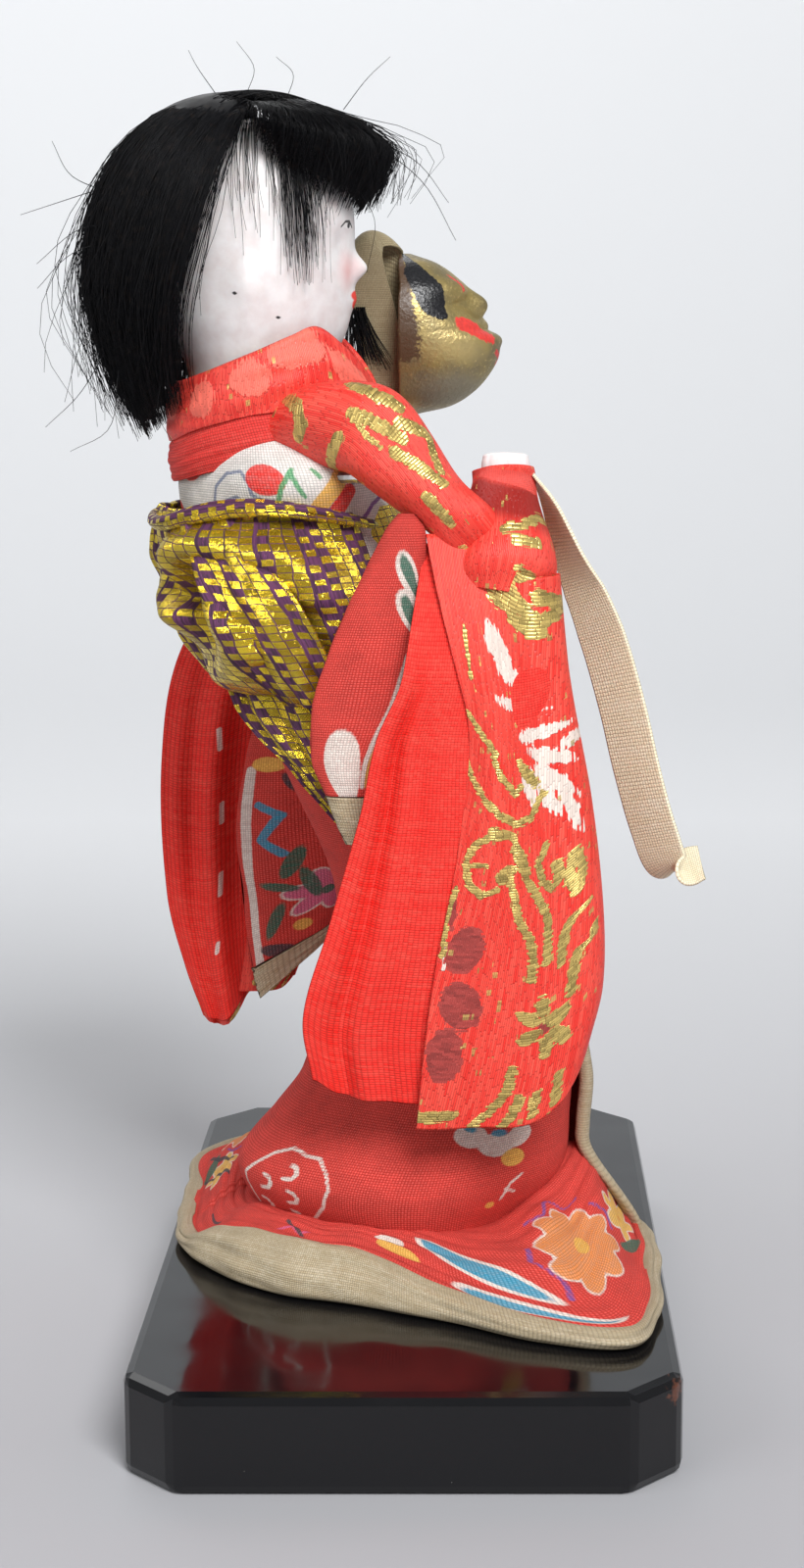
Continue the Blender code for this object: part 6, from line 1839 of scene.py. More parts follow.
    def upper_motifs(self) -> list[Shape]:
        """Gold ladders and columns of an upper sleeve."""
        return [
            *strokes(Ink.GOLD, 0.6, ((18, 1.6), (15, 1.4)), ((15.3, 11.9), (14.7, 13.4), (14.8, 15)),
                ((18.5, 14.6), (16.7, 15))),
            *strokes(Ink.GOLD, 1.5, ((18.2, 1.6), (15.6, 5.3), (14.2, 5.9), (12.5, 5.1)),
                ((13.3, 10.1), (8.7, 8.7)), ((19, 9.6), (18.9, 11.9), (19.7, 13.7)),
                ((16, 11.1), (16.6, 13.5), (17.5, 16.1)), ((15.5, 16.4), (16.4, 19.2), (17.4, 22.3)),
                ((18.8, 15.1), (21, 17.3), (18.5, 21)), ((14.8, 22.5), (14.7, 25.9)),
                ((12.7, 29.5), (14.1, 31.8), (16, 34.1))),
            *leaves(Ink.PALE, (28.3, 20.6, 4, 1.5, 172)),
        ]

    def cuff_motifs(self) -> list[Shape]:
        """The plain bands, the wave and a painted shade of a cuff."""
        return [
            *strokes(Ink.BAND, 3.4, ((28.6, 16.6), (22.7, 13.9), (15.8, 12.3))),
            # A painted shade over the cuff's darker side.
            *strokes(Ink.PURPLE, 4.4, ((27.0, 11.4), (25.1, 10.4), (21.3, 9.4), (16.0, 9.0))),
            *strokes(Ink.GOLD, 0.8, ((22.6, 6.4), (20, 6.7), (17.2, 7.7), (13.4, 7.7)),
                     ((21.2, 5.6), (18, 5.5)), ((20.6, 3.2), (17.3, 2.1), (11.4, 3.7))),
        ]

    def sleeve_motifs(self) -> list[Shape]:
        """The woven motifs of a hanging sleeve."""
        shapes = [
            *strokes(Ink.GOLD, 1, ((-0.3, 13), (5.3, 18.5)),
                ((-1, 19), (1.1, 21.8), (3.5, 24.3), (5.9, 26.4), (8.5, 27.7), (10.9, 27), (12.8, 24.9)),
                ((4.9, 18.8), (5.9, 21.4), (8.4, 23.7), (9.6, 23)),
                ((4.7, 28.1), (7.8, 29.2), (9.4, 32.1), (9.8, 34.2)),
                ((7.3, 28.9), (4.5, 29), (2.2, 30.3), (1.4, 32.5), (2, 35), (3.7, 36.7), (5.5, 36)),
                ((7, 34.2), (8, 37.1), (8.6, 40.5), (9.8, 42.9), (10.1, 45.8), (9.8, 48.4)),
                ((7.8, 30.9), (9.2, 33.8), (10.5, 36.9), (11.6, 39.7), (11.8, 41.8), (11.4, 46.5)),
                ((12.4, 31.6), (11.2, 33.4), (11.6, 36), (12.7, 37.6), (13.5, 36.7), (13.2, 34.8)),
                ((14.7, 34.7), (15.2, 37.9), (14.6, 40.3), (14, 37.8), (14.5, 35)),
                ((15.2, 43.3), (13.8, 43.2), (13.2, 44.7), (12.7, 47.9)),
                ((15.9, 47.5), (15.3, 48.7), (14.1, 48.1), (13.7, 50.2), (13.4, 53.1)),
                ((8.1, 60.1), (7.7, 63.3), (6.3, 65.9), (4.8, 67.9)),
                ((8.9, 63.9), (8.5, 66.4), (7.7, 67.6)), ((10.4, 63.9), (10.2, 66.9)),
                ((12.3, 62.9), (12.3, 66.9))),
            *strokes(Ink.GOLD, 1.5, ((-0.2, 66.5), (2.8, 66.1)),
                ((7.9, 3), (12.2, 2.4), (14.1, 4.4), (15.2, 3.8), (21.8, 1.8)), ((10.9, 4), (14, 5.2))),
            *strokes(Ink.GOLD, 0.7, ((3, 5.6), (2.7, 7.5), (2.4, 9.3)),
                ((7.3, 1.6), (10.3, 1.6), (13.7, -0.2)), ((1.4, 32.9), (4.1, 32.7)),
                ((0.5, 44.7), (0.1, 40.3), (0.6, 35.7)), ((8.5, 3.7), (12.9, 3.3))),
            *leaves(Ink.GOLD, (10.8, 52.5, 3.3, 1.4, -92), (12.2, 54.7, 2.6, 2.2, 4),
                (12.3, 57.4, 4.2, 1.4, 63), (11, 57.7, 3.4, 1.4, 88), (9.6, 55.9, 2.6, 1.7, 146),
                (9.5, 53.4, 2.7, 1.6, -139), (6.7, 34, 3.4, 2, -36), (11, 21.6, 5.3, 1.8, 52)),
            *leaves(Ink.DARK, (11, 55.1, 1.6, 2.2, 35), (2.7, 43.8, 6.2, 4, 100),
                (2.9, 51.3, 6.6, 4, 79), (1.8, 57.9, 7.6, 3.3, 90), (0.6, 38.7, 4.8, 1.2, 84)),
            *strokes(Ink.PALE, 0.35, ((0.4, 41.8), (0.8, 46.4))),
            *leaves(Ink.PALE, (8.5, 7.4, 5.5, 3.4, 42, 0.5), (10.7, 9.6, 7.6, 2.3, 24, 0.5),
                (10.6, 12.9, 8.1, 2.2, 19, 0.5), (13.3, 17, 6.3, 2.4, 6, 0.5),
                (14, 20.7, 6, 2, 45, 0.4), (14, 24, 7.8, 1.9, 66, 0.4),
                (13.1, 25.4, 8.1, 1.6, 72, 0.4), (11, 23.6, 5.3, 2, 74, 0.4),
                (14.9, 29, 7.7, 1.4, 81, 0.4), (16.8, 19.8, 3.7, 2.3, 5, 0.4)),
        ]
        return shapes + moved(shapes, 36, 0, True)

    def lining_motifs(self, side: str) -> list[Shape]:
        """The basting stitches of a lining."""
        if side == "right":
            return []
        return [
            *strokes(Ink.PALE, 0.35, ((4.3, 25.5), (4.5, 28.7)), ((4.8, 36.6), (4.8, 39.6)),
                ((4.7, 46.7), (4.6, 49.9)), ((4.2, 56.2), (4, 57.6)), ((7.1, 30.7), (7.4, 33.4))),
        ]


@dataclass
class Hands(Assembly):
    """The two small painted hands."""

    length: float = 0.0085
    width: float = 0.0062
    thickness: float = 0.0034
    cleft: float = 0.22
    shares: Table = (
        (0.0, 0.62, 1.05), (0.15, 0.68, 1.05), (0.35, 0.92, 1.0), (0.55, 1.0, 1.0),
        (0.75, 0.98, 0.95), (0.92, 0.92, 0.86), (1.0, 0.74, 0.62), (1.02, 0.04, 0.04),
    )
    right_end: tuple[Vector, Vector] = (Vector((0.0122, -0.0164, 0.111626)), Vector((0.0, 0.12, 0.99)))
    left_end: tuple[Vector, Vector] = (Vector((-0.002416, 0.0204, 0.114286)), Vector((0.15, -0.35, 0.92)))

    def placer(self, end: Vector, heading: Vector) -> Place:
        """Places points on a hand that starts below its end and points along a heading."""
        heading = heading.normalized()
        across = heading.cross(Vector((1, 0, 0))).normalized()
        flat = across.cross(heading).normalized()
        start = end - heading * self.length * 0.25
        last = self.shares[-1][0]

        def place(u: Array, v: Array) -> Array:
            share, half = last * v, follow(self.shares, last * v)
            angle = FULL_TURN * u
            cleft = self.cleft * np.maximum(0, share - 0.5) * np.cos(4 * FULL_TURN * u) ** 8
            wide = half[:, 0] * self.width / 2 * np.cos(angle)
            thick = half[:, 1] * self.thickness / 2 * (1 - cleft) * np.sin(angle)
            base = np.array(start) + share[:, None] * self.length * np.array(heading)
            return base + wide[:, None] * np.array(flat) + thick[:, None] * np.array(across)

        return place

    def build(self) -> None:
        """Build both hands."""
        for side, (end, heading) in (("right", self.right_end), ("left", self.left_end)):
            hand = Sheet(f"painted_hand_{side}", 80, 70, (13.0, 9.0), 0.0, True)
            self.dress(hand.make(self.placer(end, heading), (), True), "shell_paint", "skin", f"hand_{side}")


@dataclass
class Mask(Assembly):
    """The hollow gold mask with its ribbon loop and tuft of hair."""

    height: float = 0.0205
    half_width: float = 0.0082
    depth: float = 0.0130
    seat: tuple[float, float, float] = (-0.001816, 0.0200, 0.121986)
    shares: Table = (
        (0.00, 0.10, 0.10), (0.06, 0.37, 0.52), (0.16, 0.58, 0.78), (0.26, 0.66, 0.92),
        (0.34, 0.69, 0.98), (0.42, 0.80, 1.00), (0.50, 0.97, 1.00), (0.62, 1.00, 0.94),
        (0.74, 0.91, 0.83), (0.86, 0.74, 0.66), (0.95, 0.50, 0.42), (1.00, 0.16, 0.12),
    )
    detail: float = 0.0016
    nose: float = 0.0026
    brow: float = 0.0009
    eye_hollow: float = 0.0007
    mouth_groove: float = 0.0010
    lip: float = 0.0005
    inside_scale: float = 0.92
    tuft_hairs: int = 110
    tuft_radius: float = 0.0010
    tuft_lengths: Pair = (0.0064, 0.0086)
    tuft_hair: float = 0.00006
    ribbon_lean: float = 0.0026
    ribbon_droop: float = 0.0024
    ribbon_width: float = 0.0062
    ribbon_bulge: float = 0.0052
    ribbon_shares: Table = (
        (0.00, -0.30, 0.35), (0.10, -0.20, 0.80), (0.17, 0.05, 1.08), (0.23, 0.55, 1.16), (0.30, 0.95, 1.08),
        (0.45, 0.88, 0.82), (0.65, 0.64, 0.50), (0.82, 0.42, 0.24), (0.93, 0.24, 0.06),
        (1.00, 0.00, -0.065),
    )

    def face_place(self, u: Array, v: Array) -> Array:
        """The mask's face, from its top edge down and from side to side."""
        depth, wide = follow(self.shares, v).T
        angle = math.pi * (u - 0.5)
        x = self.depth * depth * np.maximum(np.cos(angle), 0) ** 0.9
        y = self.half_width * wide * np.sin(angle)
        down = self.height * v
        size = self.detail
        x = x + self.nose * bump(y, size * 0.8) * bump(down - 0.31 * self.height, size)
        for eye in (-1, 1):
            brow = bump(y - eye * 0.0038, size * 1.6)
            x = x + self.brow * brow * bump(down - 0.21 * self.height, size * 0.8)
            x = x - self.eye_hollow * bump(y - eye * 0.0040, size) * bump(down - 0.30 * self.height, size * 0.6)
        groove = bump(down - 0.485 * self.height, size * 0.45)
        x = x - self.mouth_groove * groove * np.cos(angle)
        for lip in (0.44, 0.53):
            x = x + self.lip * bump(down - lip * self.height, size * 0.45) * bump(y, size * 2)
        return points(self.seat[0] + x, self.seat[1] + y, self.seat[2] + self.height - down)

    def ribbon_place(self, u: Array, v: Array) -> Array:
        """The ribbon that loops behind the mask."""
        bulge, rise = follow(self.ribbon_shares, v).T
        lean = self.ribbon_lean * ease(rise, 0.40, 1.10) * ease(v, 0.18, 0.27)
        x = self.seat[0] + 0.0004 - self.ribbon_width * (1 - u) - lean * (0.3 + 0.7 * u)
        y = self.seat[1] - bulge * self.ribbon_bulge + 0.0004 * np.cos(3 * u + 9 * v)
        droop = self.ribbon_droop * (1.9 * u - 1) ** 2 * bump(v - 0.22, 0.11)
        return points(x, y, self.seat[2] + rise * self.height - droop)

    def build(self) -> None:
        """Build the mask, its ribbon and its tuft."""
        shell = Sheet("painted_mask", 170, 190, (30.0, 23.0), 0.0010)
        self.dress(shell.make(self.face_place, self.motifs()), "gold_paint", "gold", "mask_shell")
        hollow = Sheet("mask_hollow", 90, 90, (28.0, 21.0))
        middle = np.array(self.seat) + np.array((0, 0, self.height / 2))
        obj = hollow.make(lambda u, v: middle + self.inside_scale * (self.face_place(u, v) - middle))
        self.dress(obj, "bare_clay", "gold")
        ribbon = Sheet("mask_ribbon_strap", 30, 200, (7.0, 40.0), 0.0004)
        # The ribbon behind the mask takes the darker cream, a painted shade.
        self.dress(ribbon.make(self.ribbon_place), "old_ribbon", "cream", "mask_ribbon")
        tuft = strands("mask_hair_tuft", self.tuft_paths(), self.tuft_hair)
        self.dress(tuft, "thread_hair", "hair", "mask_tuft")

    def tuft_paths(self) -> list[Array]:
        """The hairs of the tuft, which hang from a spot on the ribbon."""
        draw = random.Random(7)
        root = self.ribbon_place(np.array([0.25]), np.array([0.55]))[0]
        t = np.linspace(0, 1, 6)
        paths = []
        for _ in range(self.tuft_hairs):
            turn, far = draw.uniform(0, FULL_TURN), self.tuft_radius * math.sqrt(draw.random())
            spread = np.array((math.cos(turn) * 1.5, math.sin(turn) * 0.7, 0))
            base = root + np.array((-0.0014, -0.0005, 0.0004)) + far * spread
            length = draw.uniform(*self.tuft_lengths)
            sway = (draw.uniform(-0.0006, 0.0030), 0, -length)
            paths.append(base + np.outer(t, sway) + np.outer(t**2, far * spread))
        return paths

    def motifs(self) -> list[Shape]:
        """Brows, eye rims, lips, the bare rim and a painted highlight on each cheek."""
        near = [
            *strokes(Ink.DARK, 4.2, ((2.9, 3.0), (4.0, 5.4), (4.7, 7.0))),
            *strokes(Ink.DARK, 2.6, ((2.4, 0.9), (3.0, 2.6)), ((5.0, 7.0), (5.3, 8.2))),
            *strokes(Ink.BAND, 0.8, ((9.6, 3.4), (10.4, 4.8))),
            *leaves(Ink.BAND, (9.4, 11.0, 5.6, 2.9, 28)),
            *strokes(Ink.BAND, 0.9, ((12.4, 14.0), (16.1, 15.5))),
            # A painted highlight on the cheek, and a greyer patch low on the face.
            *leaves(Ink.YELLOW, (5.7, 13, 8.9, 5.3, 12)), *leaves(Ink.PALE, (7.0, 19.6, 15.0, 6.0, 4)),
            *strokes(Ink.GOLD, 2.2, ((0.2, 0.5), (0.4, 5.6), (0.9, 9.9), (0.6, 14.2))),
        ]
        return near + moved(near, 30, 0, True)


@dataclass
class HandRibbon(Assembly):
    """The flat cream ribbon that hangs from the right hand."""

    width: float = 0.0070
    turn: float = 0.925
    step: float = 0.02
    route: Table = (
        (15.4, -16.4, 115.8), (17.6, -15.8, 111.8), (20.2, -15.4, 104.9), (22.8, -15.2, 99.1),
        (24.9, -15.4, 93.3), (27.0, -15.8, 85.8), (28.8, -16, 78.2), (31, -16, 70.6), (33.2, -16, 65.8),
        (37.0, -16.2, 66.6),
    )

    def place(self, u: Array, v: Array) -> Array:
        """Points on the ribbon, from the hand to its tip."""
        rows = np.c_[np.linspace(0, 1, len(self.route)), np.array(self.route) * MM]
        here = follow(rows, v)
        ahead = follow(rows, np.minimum(v + self.step, 1)) - follow(rows, np.maximum(v - self.step, 0))
        heading = ahead / np.linalg.norm(ahead, axis=1)[:, None]
        turn = self.turn * np.minimum(1.0, v / 0.3)
        lay = points(np.sin(turn), -np.cos(turn), 0 * turn)
        across = lay - heading * np.sum(lay * heading, axis=1)[:, None]
        across /= np.linalg.norm(across, axis=1)[:, None]
        narrow = 0.62 + 0.38 * np.minimum(1.0, v * 2.5)
        return here + across * ((u - 0.5) * self.width * narrow)[:, None]

    def build(self) -> None:
        """Build the ribbon."""
        strap = Sheet("hand_ribbon_strap", 30, 260, (7.0, 62.0), 0.0004)
        self.dress(strap.make(self.place), "cream_ribbon", "cream", "hand_ribbon")


@dataclass
class Head(Assembly):
    """The moulded head with its painted face."""

    half_depth: float = 0.0126
    half_width: float = 0.0119
    jaw_slope: float = 0.16
    nose: float = 0.0018
    lips: float = 0.0006
    eye_hollow: float = 0.0007
    cheek: float = 0.0007
    shares: Table = (
        (0.000, 0.595, 0.620, 0.630), (0.065, 0.635, 0.665, 0.690), (0.146, 0.680, 0.715, 0.750),
        (0.209, 0.790, 0.780, 0.810), (0.249, 0.873, 0.830, 0.850), (0.309, 0.935, 0.897, 0.910),
        (0.390, 0.965, 0.952, 0.958), (0.499, 0.980, 0.984, 0.992), (0.634, 1.000, 1.000, 1.000),
        (0.743, 0.952, 0.984, 0.966), (0.851, 0.790, 0.870, 0.840), (0.932, 0.571, 0.660, 0.630),
        (0.981, 0.300, 0.350, 0.336), (1.000, 0.040, 0.045, 0.040),
    )

    def radius(self, z: Array, angle: Array) -> Array:
        """The head's plain radius at a height and an angle from the front, without the face."""
        front, back, side = follow(self.shares, z / HEAD_HEIGHT).T
        along_x = np.where(np.cos(angle) > 0, front, back) * self.half_depth
        return 1 / np.hypot(np.cos(angle) / along_x, np.sin(angle) / (side * self.half_width))

    def place(self, u: Array, v: Array) -> Array:
        """Points on the head, from the neck's foot up."""
        z = v * HEAD_HEIGHT
        turn = FULL_TURN * u
        angle = turn - 0.45 * np.sin(turn)
        front, back, side = follow(self.shares, v).T
        ahead = np.cos(angle)
        x = np.where(ahead > 0, front, back) * self.half_depth * ahead
        low = bump(z - 0.28 * HEAD_HEIGHT, 0.16 * HEAD_HEIGHT)
        y = side * self.half_width * np.sin(angle) * (1 - self.jaw_slope * low * np.maximum(0.0, ahead))
        face = ease(ahead, 0.0, 0.3)
        x = x + face * self.nose * bump(y, 0.0013) * bump(z - 0.492 * HEAD_HEIGHT, 0.0016)
        x = x + face * self.lips * bump(y, 0.0018) * bump(z - 0.385 * HEAD_HEIGHT, 0.0013)
        for eye in (-1, 1):
            hollow = bump(y - eye * 0.0046, 0.0022) * bump(z - 0.575 * HEAD_HEIGHT, 0.0022)
            x = x - face * self.eye_hollow * hollow
            near = bump(x, 0.0022) * bump(z - 0.435 * HEAD_HEIGHT, 0.0034)
            y = y + eye * self.cheek * near * (np.sign(y) == eye)
        return points(NECK_X + x, y, NECK_Z + z)

    def build(self) -> None:
        """Build the head."""
        head = Sheet("painted_head", 230, 230, (72.0, 50.0), 0.0, True)
        obj = head.make(self.place, self.face(), True)
        self.dress(obj, "shell_paint", "skin", "head", body="head")

    def face(self) -> list[Shape]:
        """Eyes, brows, lips and cheeks, on the head's own flat place."""
        near = [
            *strokes(Ink.DARK, 0.4, ((68.4, 31.4), (66.8, 32.4), (65.0, 32.3), (63.6, 31.4))),
            *strokes(Ink.YELLOW, 1.0, ((67.6, 37.6), (65.4, 38.6), (62.8, 38.0))),
            *leaves(Ink.PALE, (66.2, 31.6, 3.4, 0.9, -4)), *leaves(Ink.DARK, (66.6, 31.7, 1.2, 1.0, 0)),
            *leaves(Ink.BAND, (72.0, 19.9, 7.4, 1.8, 0), (72.0, 18.6, 5.6, 1.9, 0)),
            *leaves(Ink.PINK, (66.4, 24.0, 4.3, 5.4, -82)),
            *leaves(Ink.DARK, (47.9, 20.2, 0.5, 0.6, 0), (52.3, 16.2, 0.6, 0.5, 0)),
        ]
        return near + moved(near, 72, 0, True)


@dataclass
class HairPieces(Assembly):
    """The bob, the blunt fringe and the temple locks, as shells with strands over them."""

    head: Optional[Head] = None
    height: float = 0.0410
    rise: float = 0.0027
    half_depth: float = 0.0206
    half_width: float = 0.0152
    scalp: float = 0.0004
    back_angle: float = math.radians(92)
    tip_angle: float = math.radians(52)
    tip_lift: float = 0.0035
    shares: Table = (
        (0.00, 0.04, 0.000), (0.10, 0.36, 0.016), (0.20, 0.60, 0.066), (0.32, 0.80, 0.170),
        (0.45, 0.93, 0.305), (0.60, 1.00, 0.480), (0.75, 0.985, 0.650), (0.90, 0.87, 0.835),
        (1.00, 0.75, 0.975), (1.08, 0.68, 1.060),
    )
    fringe_angle: float = math.radians(84)
    fringe_reach: Pair = (0.0168, 0.0028)
    fringe_drop: Pair = (0.0070, 0.0035)
    edge_drop: Pair = (0.0133, 0.0075)
    fringe_knots: tuple[float, ...] = (0.0, 0.32, 0.58, 0.80, 1.0)
    strand: float = 0.000055
    lock_strand: float = 0.00005
    loose_strand: float = 0.00006
    strand_count: int = 2500
    wisp_count: int = 150
    crown_hairs: int = 260

    def crown(self) -> float:
        """The height of the crown above the neck's foot."""
        return HEAD_HEIGHT + self.rise

    def outer(self, angle: Array, way: Array) -> tuple[Array, Array]:
        """The hair's outer radius and height at an angle and a way down from the crown."""
        reach, drop = follow(self.shares, way).T
        back = np.maximum(0.0, -np.cos(angle))
        depth = self.half_width + (self.half_depth - self.half_width) * back
        return reach * depth, self.crown() - drop * self.height

    def bob_place(self, u: Array, v: Array, offset: Union[float, Array] = 0.0) -> Array:
        """Points on the outside of the bob."""
        spread = self.back_angle + (self.tip_angle - self.back_angle) * v**1.1
        angle = BACK + spread * (2 * u - 1)
        radius, z = self.outer(angle, v)
        radius = radius + offset
        side = np.abs(2 * u - 1)
        z = z + self.tip_lift * side * v**3 - 0.0013 * side**2 * (1 - ease(v, 0.05, 0.4))
        return round_neck(radius, angle, NECK_Z + z)

    def fringe_place(self, u: Array, v: Array, offset: Union[float, Array] = 0.0) -> Array:
        """Points on the fringe, from the crown out over the brow and down to its blunt edge."""
        angle = self.fringe_angle * (2 * u - 1)
        wide = np.abs(2 * u - 1)
        tip_reach = self.fringe_reach[0] - self.fringe_reach[1] * wide**2
        tip_drop = self.fringe_drop[0] - self.fringe_drop[1] * wide**2
        edge_drop = self.edge_drop[0] - self.edge_drop[1] * wide**2.5
        edge_z = self.crown() - edge_drop
        edge_r = self.head.radius(np.minimum(edge_z, HEAD_HEIGHT * 0.985), angle) + 2 * self.scalp
        r = np.stack((0 * u + 0.0012, tip_reach * 0.45, tip_reach * 0.78, tip_reach, edge_r + 0.0008))
        down = np.stack((0 * u + 0.0009, 0 * u + 0.0013, tip_drop * 0.52, tip_drop, edge_drop))
        knots = np.array(self.fringe_knots)
        s = np.searchsorted(knots, v, side="right").clip(1, len(knots) - 1)
        a = (v - knots[s - 1]) / (knots[s] - knots[s - 1])
        i = np.arange(len(u))
        radius = r[s - 1, i] + (r[s, i] - r[s - 1, i]) * a + offset
        z = self.crown() - (down[s - 1, i] + (down[s, i] - down[s - 1, i]) * a)
        return round_neck(radius, angle, NECK_Z + z)

    def lay(self, name: str, place: Callable[..., Array], seed: int, ways: Pair,
            ragged: float) -> bpy.types.Object:
        """Lay strands over a shell.

        Args:
            name: The piece's name.
            place: Gives points on the shell, from two shares and an offset.
            seed: Seed of the draws.
            ways: The first and last share of the way down.
            ragged: How unevenly they end, as a share.

        Returns:
            The strands as one object.
        """
        draw = random.Random(seed)
        t = np.linspace(0, 1, 13)
        paths = []
        for i in range(self.strand_count):
            stray = i % 4 == 0
            u = draw.betavariate(1.15, 1.15)
            drift, lift = draw.gauss(0, 0.055 if stray else 0.014), draw.uniform(-0.0001, 0.0007)
            loose = (0.0030 if stray else 0.0010) * max(0.0, draw.gauss(-0.4, 1.0))
            start = ways[0] + draw.uniform(0, 0.05)
            end = ways[1] - ragged * draw.gauss(0.5, 1.1) * (1 + 1.2 * abs(2 * u - 1))
            v = np.clip(start + (end - start) * t, 0, 1.08)
            wave = 0.007 * np.sin(5 * t + draw.uniform(0, 6)) + 0.0022 * np.sin(16 * t + draw.uniform(0, 6))
            curl = 0.35 * np.sin(9 * t + draw.uniform(0, 6))
            rise = lift * np.sin(math.pi * (0.15 + 0.8 * t)) + loose * t**1.5 * (1 + curl)
            paths.append(place(u + drift * t + wave * (2 if stray else 1), v, rise))
        return strands(name, paths, self.strand)

    def wisps(self, sign: int) -> list[Array]:
        """The thin lock and the loose hairs at one temple."""
        draw = random.Random(60 + sign)
        t = np.linspace(0, 1, 12)
        paths = []
        for i in range(self.wisp_count):
            lock = i % 5 < 3
            off = draw.gauss(0, 0.6) if lock else draw.uniform(-1, 1)
            turn = 60 - 11 * off if lock else 72 + 32 * off
            low = draw.uniform(0.0090, 0.0168) if lock else draw.triangular(0.0030, 0.0150, 0.0050)
            z = HEAD_HEIGHT * 0.968 - (low + 0.0034) * t
            sway = 0.05 * np.sin(4 * t + draw.uniform(0, 6)) * t
            angle = sign * (np.radians(turn) + draw.uniform(-0.05, 0.05) * t - 0.05 * t**2 + sway * 0.5)
            lift = draw.uniform(0, 0.0005) + 0.0014 * (1 - t) ** 2 + 0.0006 * draw.random() * t**2
            radius = self.head.radius(z, angle) + self.scalp + lift
            paths.append(round_neck(radius, angle, NECK_Z + z))
        return paths

    def loose_hairs(self) -> list[Array]:
        """A few single hairs that stand away from the bob and the fringe, in millimetres."""
        routes = (
            ((-8, -4, 160), (-5, -6, 163.5), (-2, -8, 166)), ((-4, -2, 156), (2, -3, 151), (6, -4, 144)),
            ((-5, 2, 157), (1, 3, 154), (5, 4, 149)), ((-24, -3, 162), (-26, -5, 165), (-27, -6, 167)),
            ((-38, -4, 150), (-42, -6, 152), (-44, -7, 156)), ((-38, -8, 130), (-41, -10, 125), (-45, -12, 121)),
            ((-36, -10, 128), (-37, -12, 121), (-42, -12, 118)), ((-6, -6, 150), (-4, -8, 146), (-5, -9, 140)),
            ((-30, -11, 129), (-31, -12, 123), (-29, -13, 119)), ((-12, -9, 158), (-9, -13, 152), (-10, -13, 146)),
            ((-36, -8, 146), (-41, -9, 145), (-46, -9, 141)), ((-37, -8, 144), (-42, -9, 142), (-46, -9, 138)),
            ((-36, -6, 151), (-42, -7, 149), (-48, -8, 147)), ((-38, -6, 136), (-41, -8, 131), (-43, -9, 124)),
            ((-20, -4, 162), (-19, -5, 165), (-21, -6, 168)), ((-15, -6, 161), (-14, -7, 164), (-16, -8, 166)),
        )
        t = np.linspace(0, 1, 12)
        paths = [follow(np.c_[np.linspace(0, 1, 3), np.array(route) * MM], t) for route in routes]
        draw = random.Random(77)
        for _ in range(self.crown_hairs):
            turn, far, bow = draw.gauss(0, 0.7), draw.uniform(0.003, 0.008), draw.uniform(-0.002, 0.002)
            aside = draw.uniform(-0.005, 0.005)
            along, across = far * (2 * t - 1), aside + bow * (2 * t - 1) ** 2
            x = along * math.cos(turn) - across * math.sin(turn)
            y = along * math.sin(turn) + across * math.cos(turn)
            z = self.crown() + draw.uniform(0, 0.0006) - 0.0009 * np.hypot(x, y) ** 2 / 0.006**2
            paths.append(points(NECK_X + x, y, NECK_Z + z))
        return paths

    def build(self) -> None:
        """Build the hair."""
        bob = Sheet("hair_bob_under", 130, 110, (60.0, 50.0), 0.0012)
        obj = bob.make(lambda u, v: self.bob_place(0.5 + 0.88 * (u - 0.5), 0.92 * v, -0.0007))
        self.dress(obj, "thread_hair", "hair", "hair_bob", body="head")
        for name, end, ragged, seed in (("hair_bob_back", 1.0, 0.030, 51), ("hair_bob_top", 0.985, 0.045, 52)):
            obj = self.lay(name, self.bob_place, seed, (0.02, end), ragged)
            self.dress(obj, "thread_hair", "hair", "hair_bob", body="head")
        fringe = Sheet("hair_fringe_under", 100, 80, (40.0, 24.0), 0.0010)
        obj = fringe.make(lambda u, v: self.fringe_place(0.5 + 0.62 * (u - 0.5), 0.96 * v, -0.0006))
        self.dress(obj, "thread_hair", "hair", "hair_fringe", body="head")
        obj = self.lay("hair_fringe_strands", self.fringe_place, 53, (0.0, 1.0), 0.020)
        self.dress(obj, "thread_hair", "hair", "hair_fringe", body="head")
        for side, sign in (("right", -1), ("left", 1)):
            obj = strands(f"hair_lock_strands_{side}", self.wisps(sign), self.lock_strand)
            self.dress(obj, "thread_hair", "hair", f"hair_lock_{side}", body="head")
        obj = strands("loose_hairs", self.loose_hairs(), self.loose_strand)
        self.dress(obj, "thread_hair", "hair", body="head")


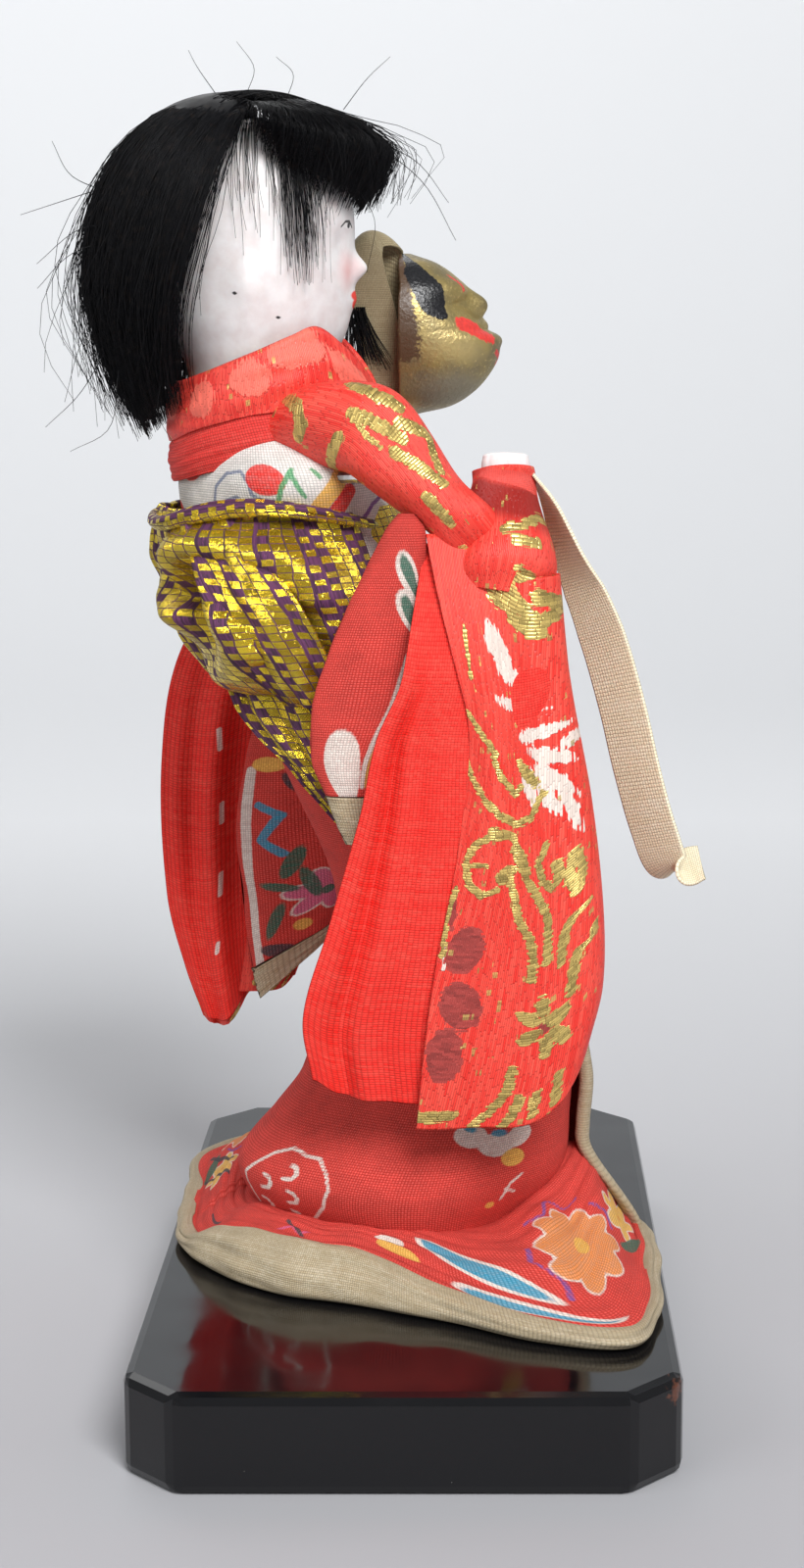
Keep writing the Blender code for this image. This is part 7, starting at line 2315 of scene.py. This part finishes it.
@dataclass
class Studio:
    """The camera, the lights and the sweep of pale paper behind the doll."""

    camera_at: tuple[float, float, float] = (0.00919, -0.3399, 0.1341)
    pitch: float = math.radians(10.06)
    lens: float = 60.0
    shift: float = -0.0505
    near_shaded_paper: Colour = (0.40, 0.40, 0.42)
    far_lit_paper: Colour = (0.76, 0.78, 0.80)
    glow: Colour = (0.24, 0.235, 0.235)
    aim: tuple[float, float, float] = (0, 0, 0.08)
    lights: tuple[tuple, ...] = (
        ("key_light", (0.30, -0.85, 0.85), 0.50, 16.5),
        ("fill_light", (-0.8, -0.60, 0.45), 0.8, 3.0),
        ("back_light", (-0.3, 0.8, 0.9), 0.8, 3.0),
    )
    sky: tuple[float, float, float, float] = (0.96, 0.98, 1.0, 1.0)
    sky_strength: float = 0.30
    paper_width: float = 6.0
    paper_length: float = 3.6
    paper_front: float = 1.2
    bend_start: float = 0.6
    bend_radius: float = 0.5

    def camera(self) -> None:
        """Set up the camera at the photograph's view."""
        data = bpy.data.cameras.new("photo_view")
        data.lens = self.lens
        data.shift_x = self.shift
        data.clip_start = 0.01
        obj = bpy.data.objects.new("photo_view", data)
        obj.location = self.camera_at
        obj.rotation_euler = (math.radians(90) - self.pitch, 0, 0)
        bpy.context.scene.collection.objects.link(obj)
        bpy.context.scene.camera = obj

    def light(self, name: str, at: tuple[float, float, float], size: float, power: float) -> None:
        """Add a soft light that points at the doll."""
        data = bpy.data.lights.new(name, "AREA")
        data.shape = "DISK"
        data.size = size
        data.energy = power
        obj = bpy.data.objects.new(name, data)
        obj.location = at
        aim = Vector(self.aim) - Vector(at)
        obj.rotation_euler = aim.to_track_quat("-Z", "Y").to_euler()
        bpy.context.scene.collection.objects.link(obj)

    def world(self) -> None:
        """A plain even sky."""
        world = bpy.data.worlds.new("studio_air")
        world.use_nodes = True
        sky = world.node_tree.nodes["Background"]
        sky.inputs["Color"].default_value = self.sky
        sky.inputs["Strength"].default_value = self.sky_strength
        bpy.context.scene.world = world

    def sweep(self) -> None:
        """The floor and the backdrop, one curved sheet of paper, with painted light: darker near the doll, lighter
        and glowing far back and high up.
        """
        mesh = bpy.data.meshes.new("paper_sweep")
        bm = bmesh.new()
        bmesh.ops.create_grid(bm, x_segments=2, y_segments=60, size=0.5)
        start, radius = self.bend_start, self.bend_radius
        for vert in bm.verts:
            t = vert.co.y + 0.5
            vert.co.x *= self.paper_width
            far = t * self.paper_length - self.paper_front
            if far < start:
                vert.co.y, vert.co.z = far, 0.0
            else:
                bend = min((far - start) / radius, math.pi / 2)
                rest = max(0.0, far - start - radius * math.pi / 2)
                vert.co.y = start + radius * math.sin(bend)
                vert.co.z = radius * (1 - math.cos(bend)) + rest
        bmesh.ops.recalc_face_normals(bm, faces=bm.faces)
        bm.to_mesh(mesh)
        bm.free()
        mesh.shade_smooth()
        obj = bpy.data.objects.new("paper_sweep", mesh)
        bpy.context.scene.collection.objects.link(obj)
        material = bpy.data.materials.new("pale_paper")
        material.use_nodes = True
        graph = Graph(material.node_tree)
        shader = material.node_tree.nodes["Principled BSDF"]
        _, y, z = graph.split(graph.node("TexCoord").outputs["Object"])
        # Painted light: the paper darkens towards the doll, brightens far back and high up, and glows there for the
        # camera's rays.
        far = graph.plus(graph.spread(y, -0.04, 0.36, 0.0, 0.6), graph.spread(z, 0.0, 0.45, 0.0, 0.4))
        graph.plug(shader.inputs["Base Color"], graph.mix(far, self.near_shaded_paper, self.far_lit_paper))
        seen = graph.times(far, graph.node("LightPath").outputs["Is Camera Ray"])
        graph.plug(shader.inputs["Emission Color"], graph.scaled(self.glow, seen))
        graph.plug(shader.inputs["Emission Strength"], 1.0)
        graph.plug(shader.inputs["Roughness"], 0.9)
        mesh.materials.append(material)

    def build(self) -> None:
        """Build the studio."""
        self.camera()
        for row in self.lights:
            self.light(*row)
        self.world()
        self.sweep()


def main() -> None:
    """Dress the doll and set the studio round it."""
    logging.basicConfig(level=logging.INFO, format="%(message)s")
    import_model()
    bpy.context.scene.view_settings.view_transform = "Standard"
    Studio().build()
    wardrobe = Wardrobe()
    Board(wardrobe).build()
    Kimono(wardrobe).build()
    UnderSleeves(wardrobe).build()
    Collars(wardrobe).build()
    Obi(wardrobe).build()
    Sleeves(wardrobe).build()
    Hands(wardrobe).build()
    Mask(wardrobe).build()
    HandRibbon(wardrobe).build()
    head = Head(wardrobe)
    head.build()
    HairPieces(wardrobe, head).build()


if __name__ == "__main__":
    main()
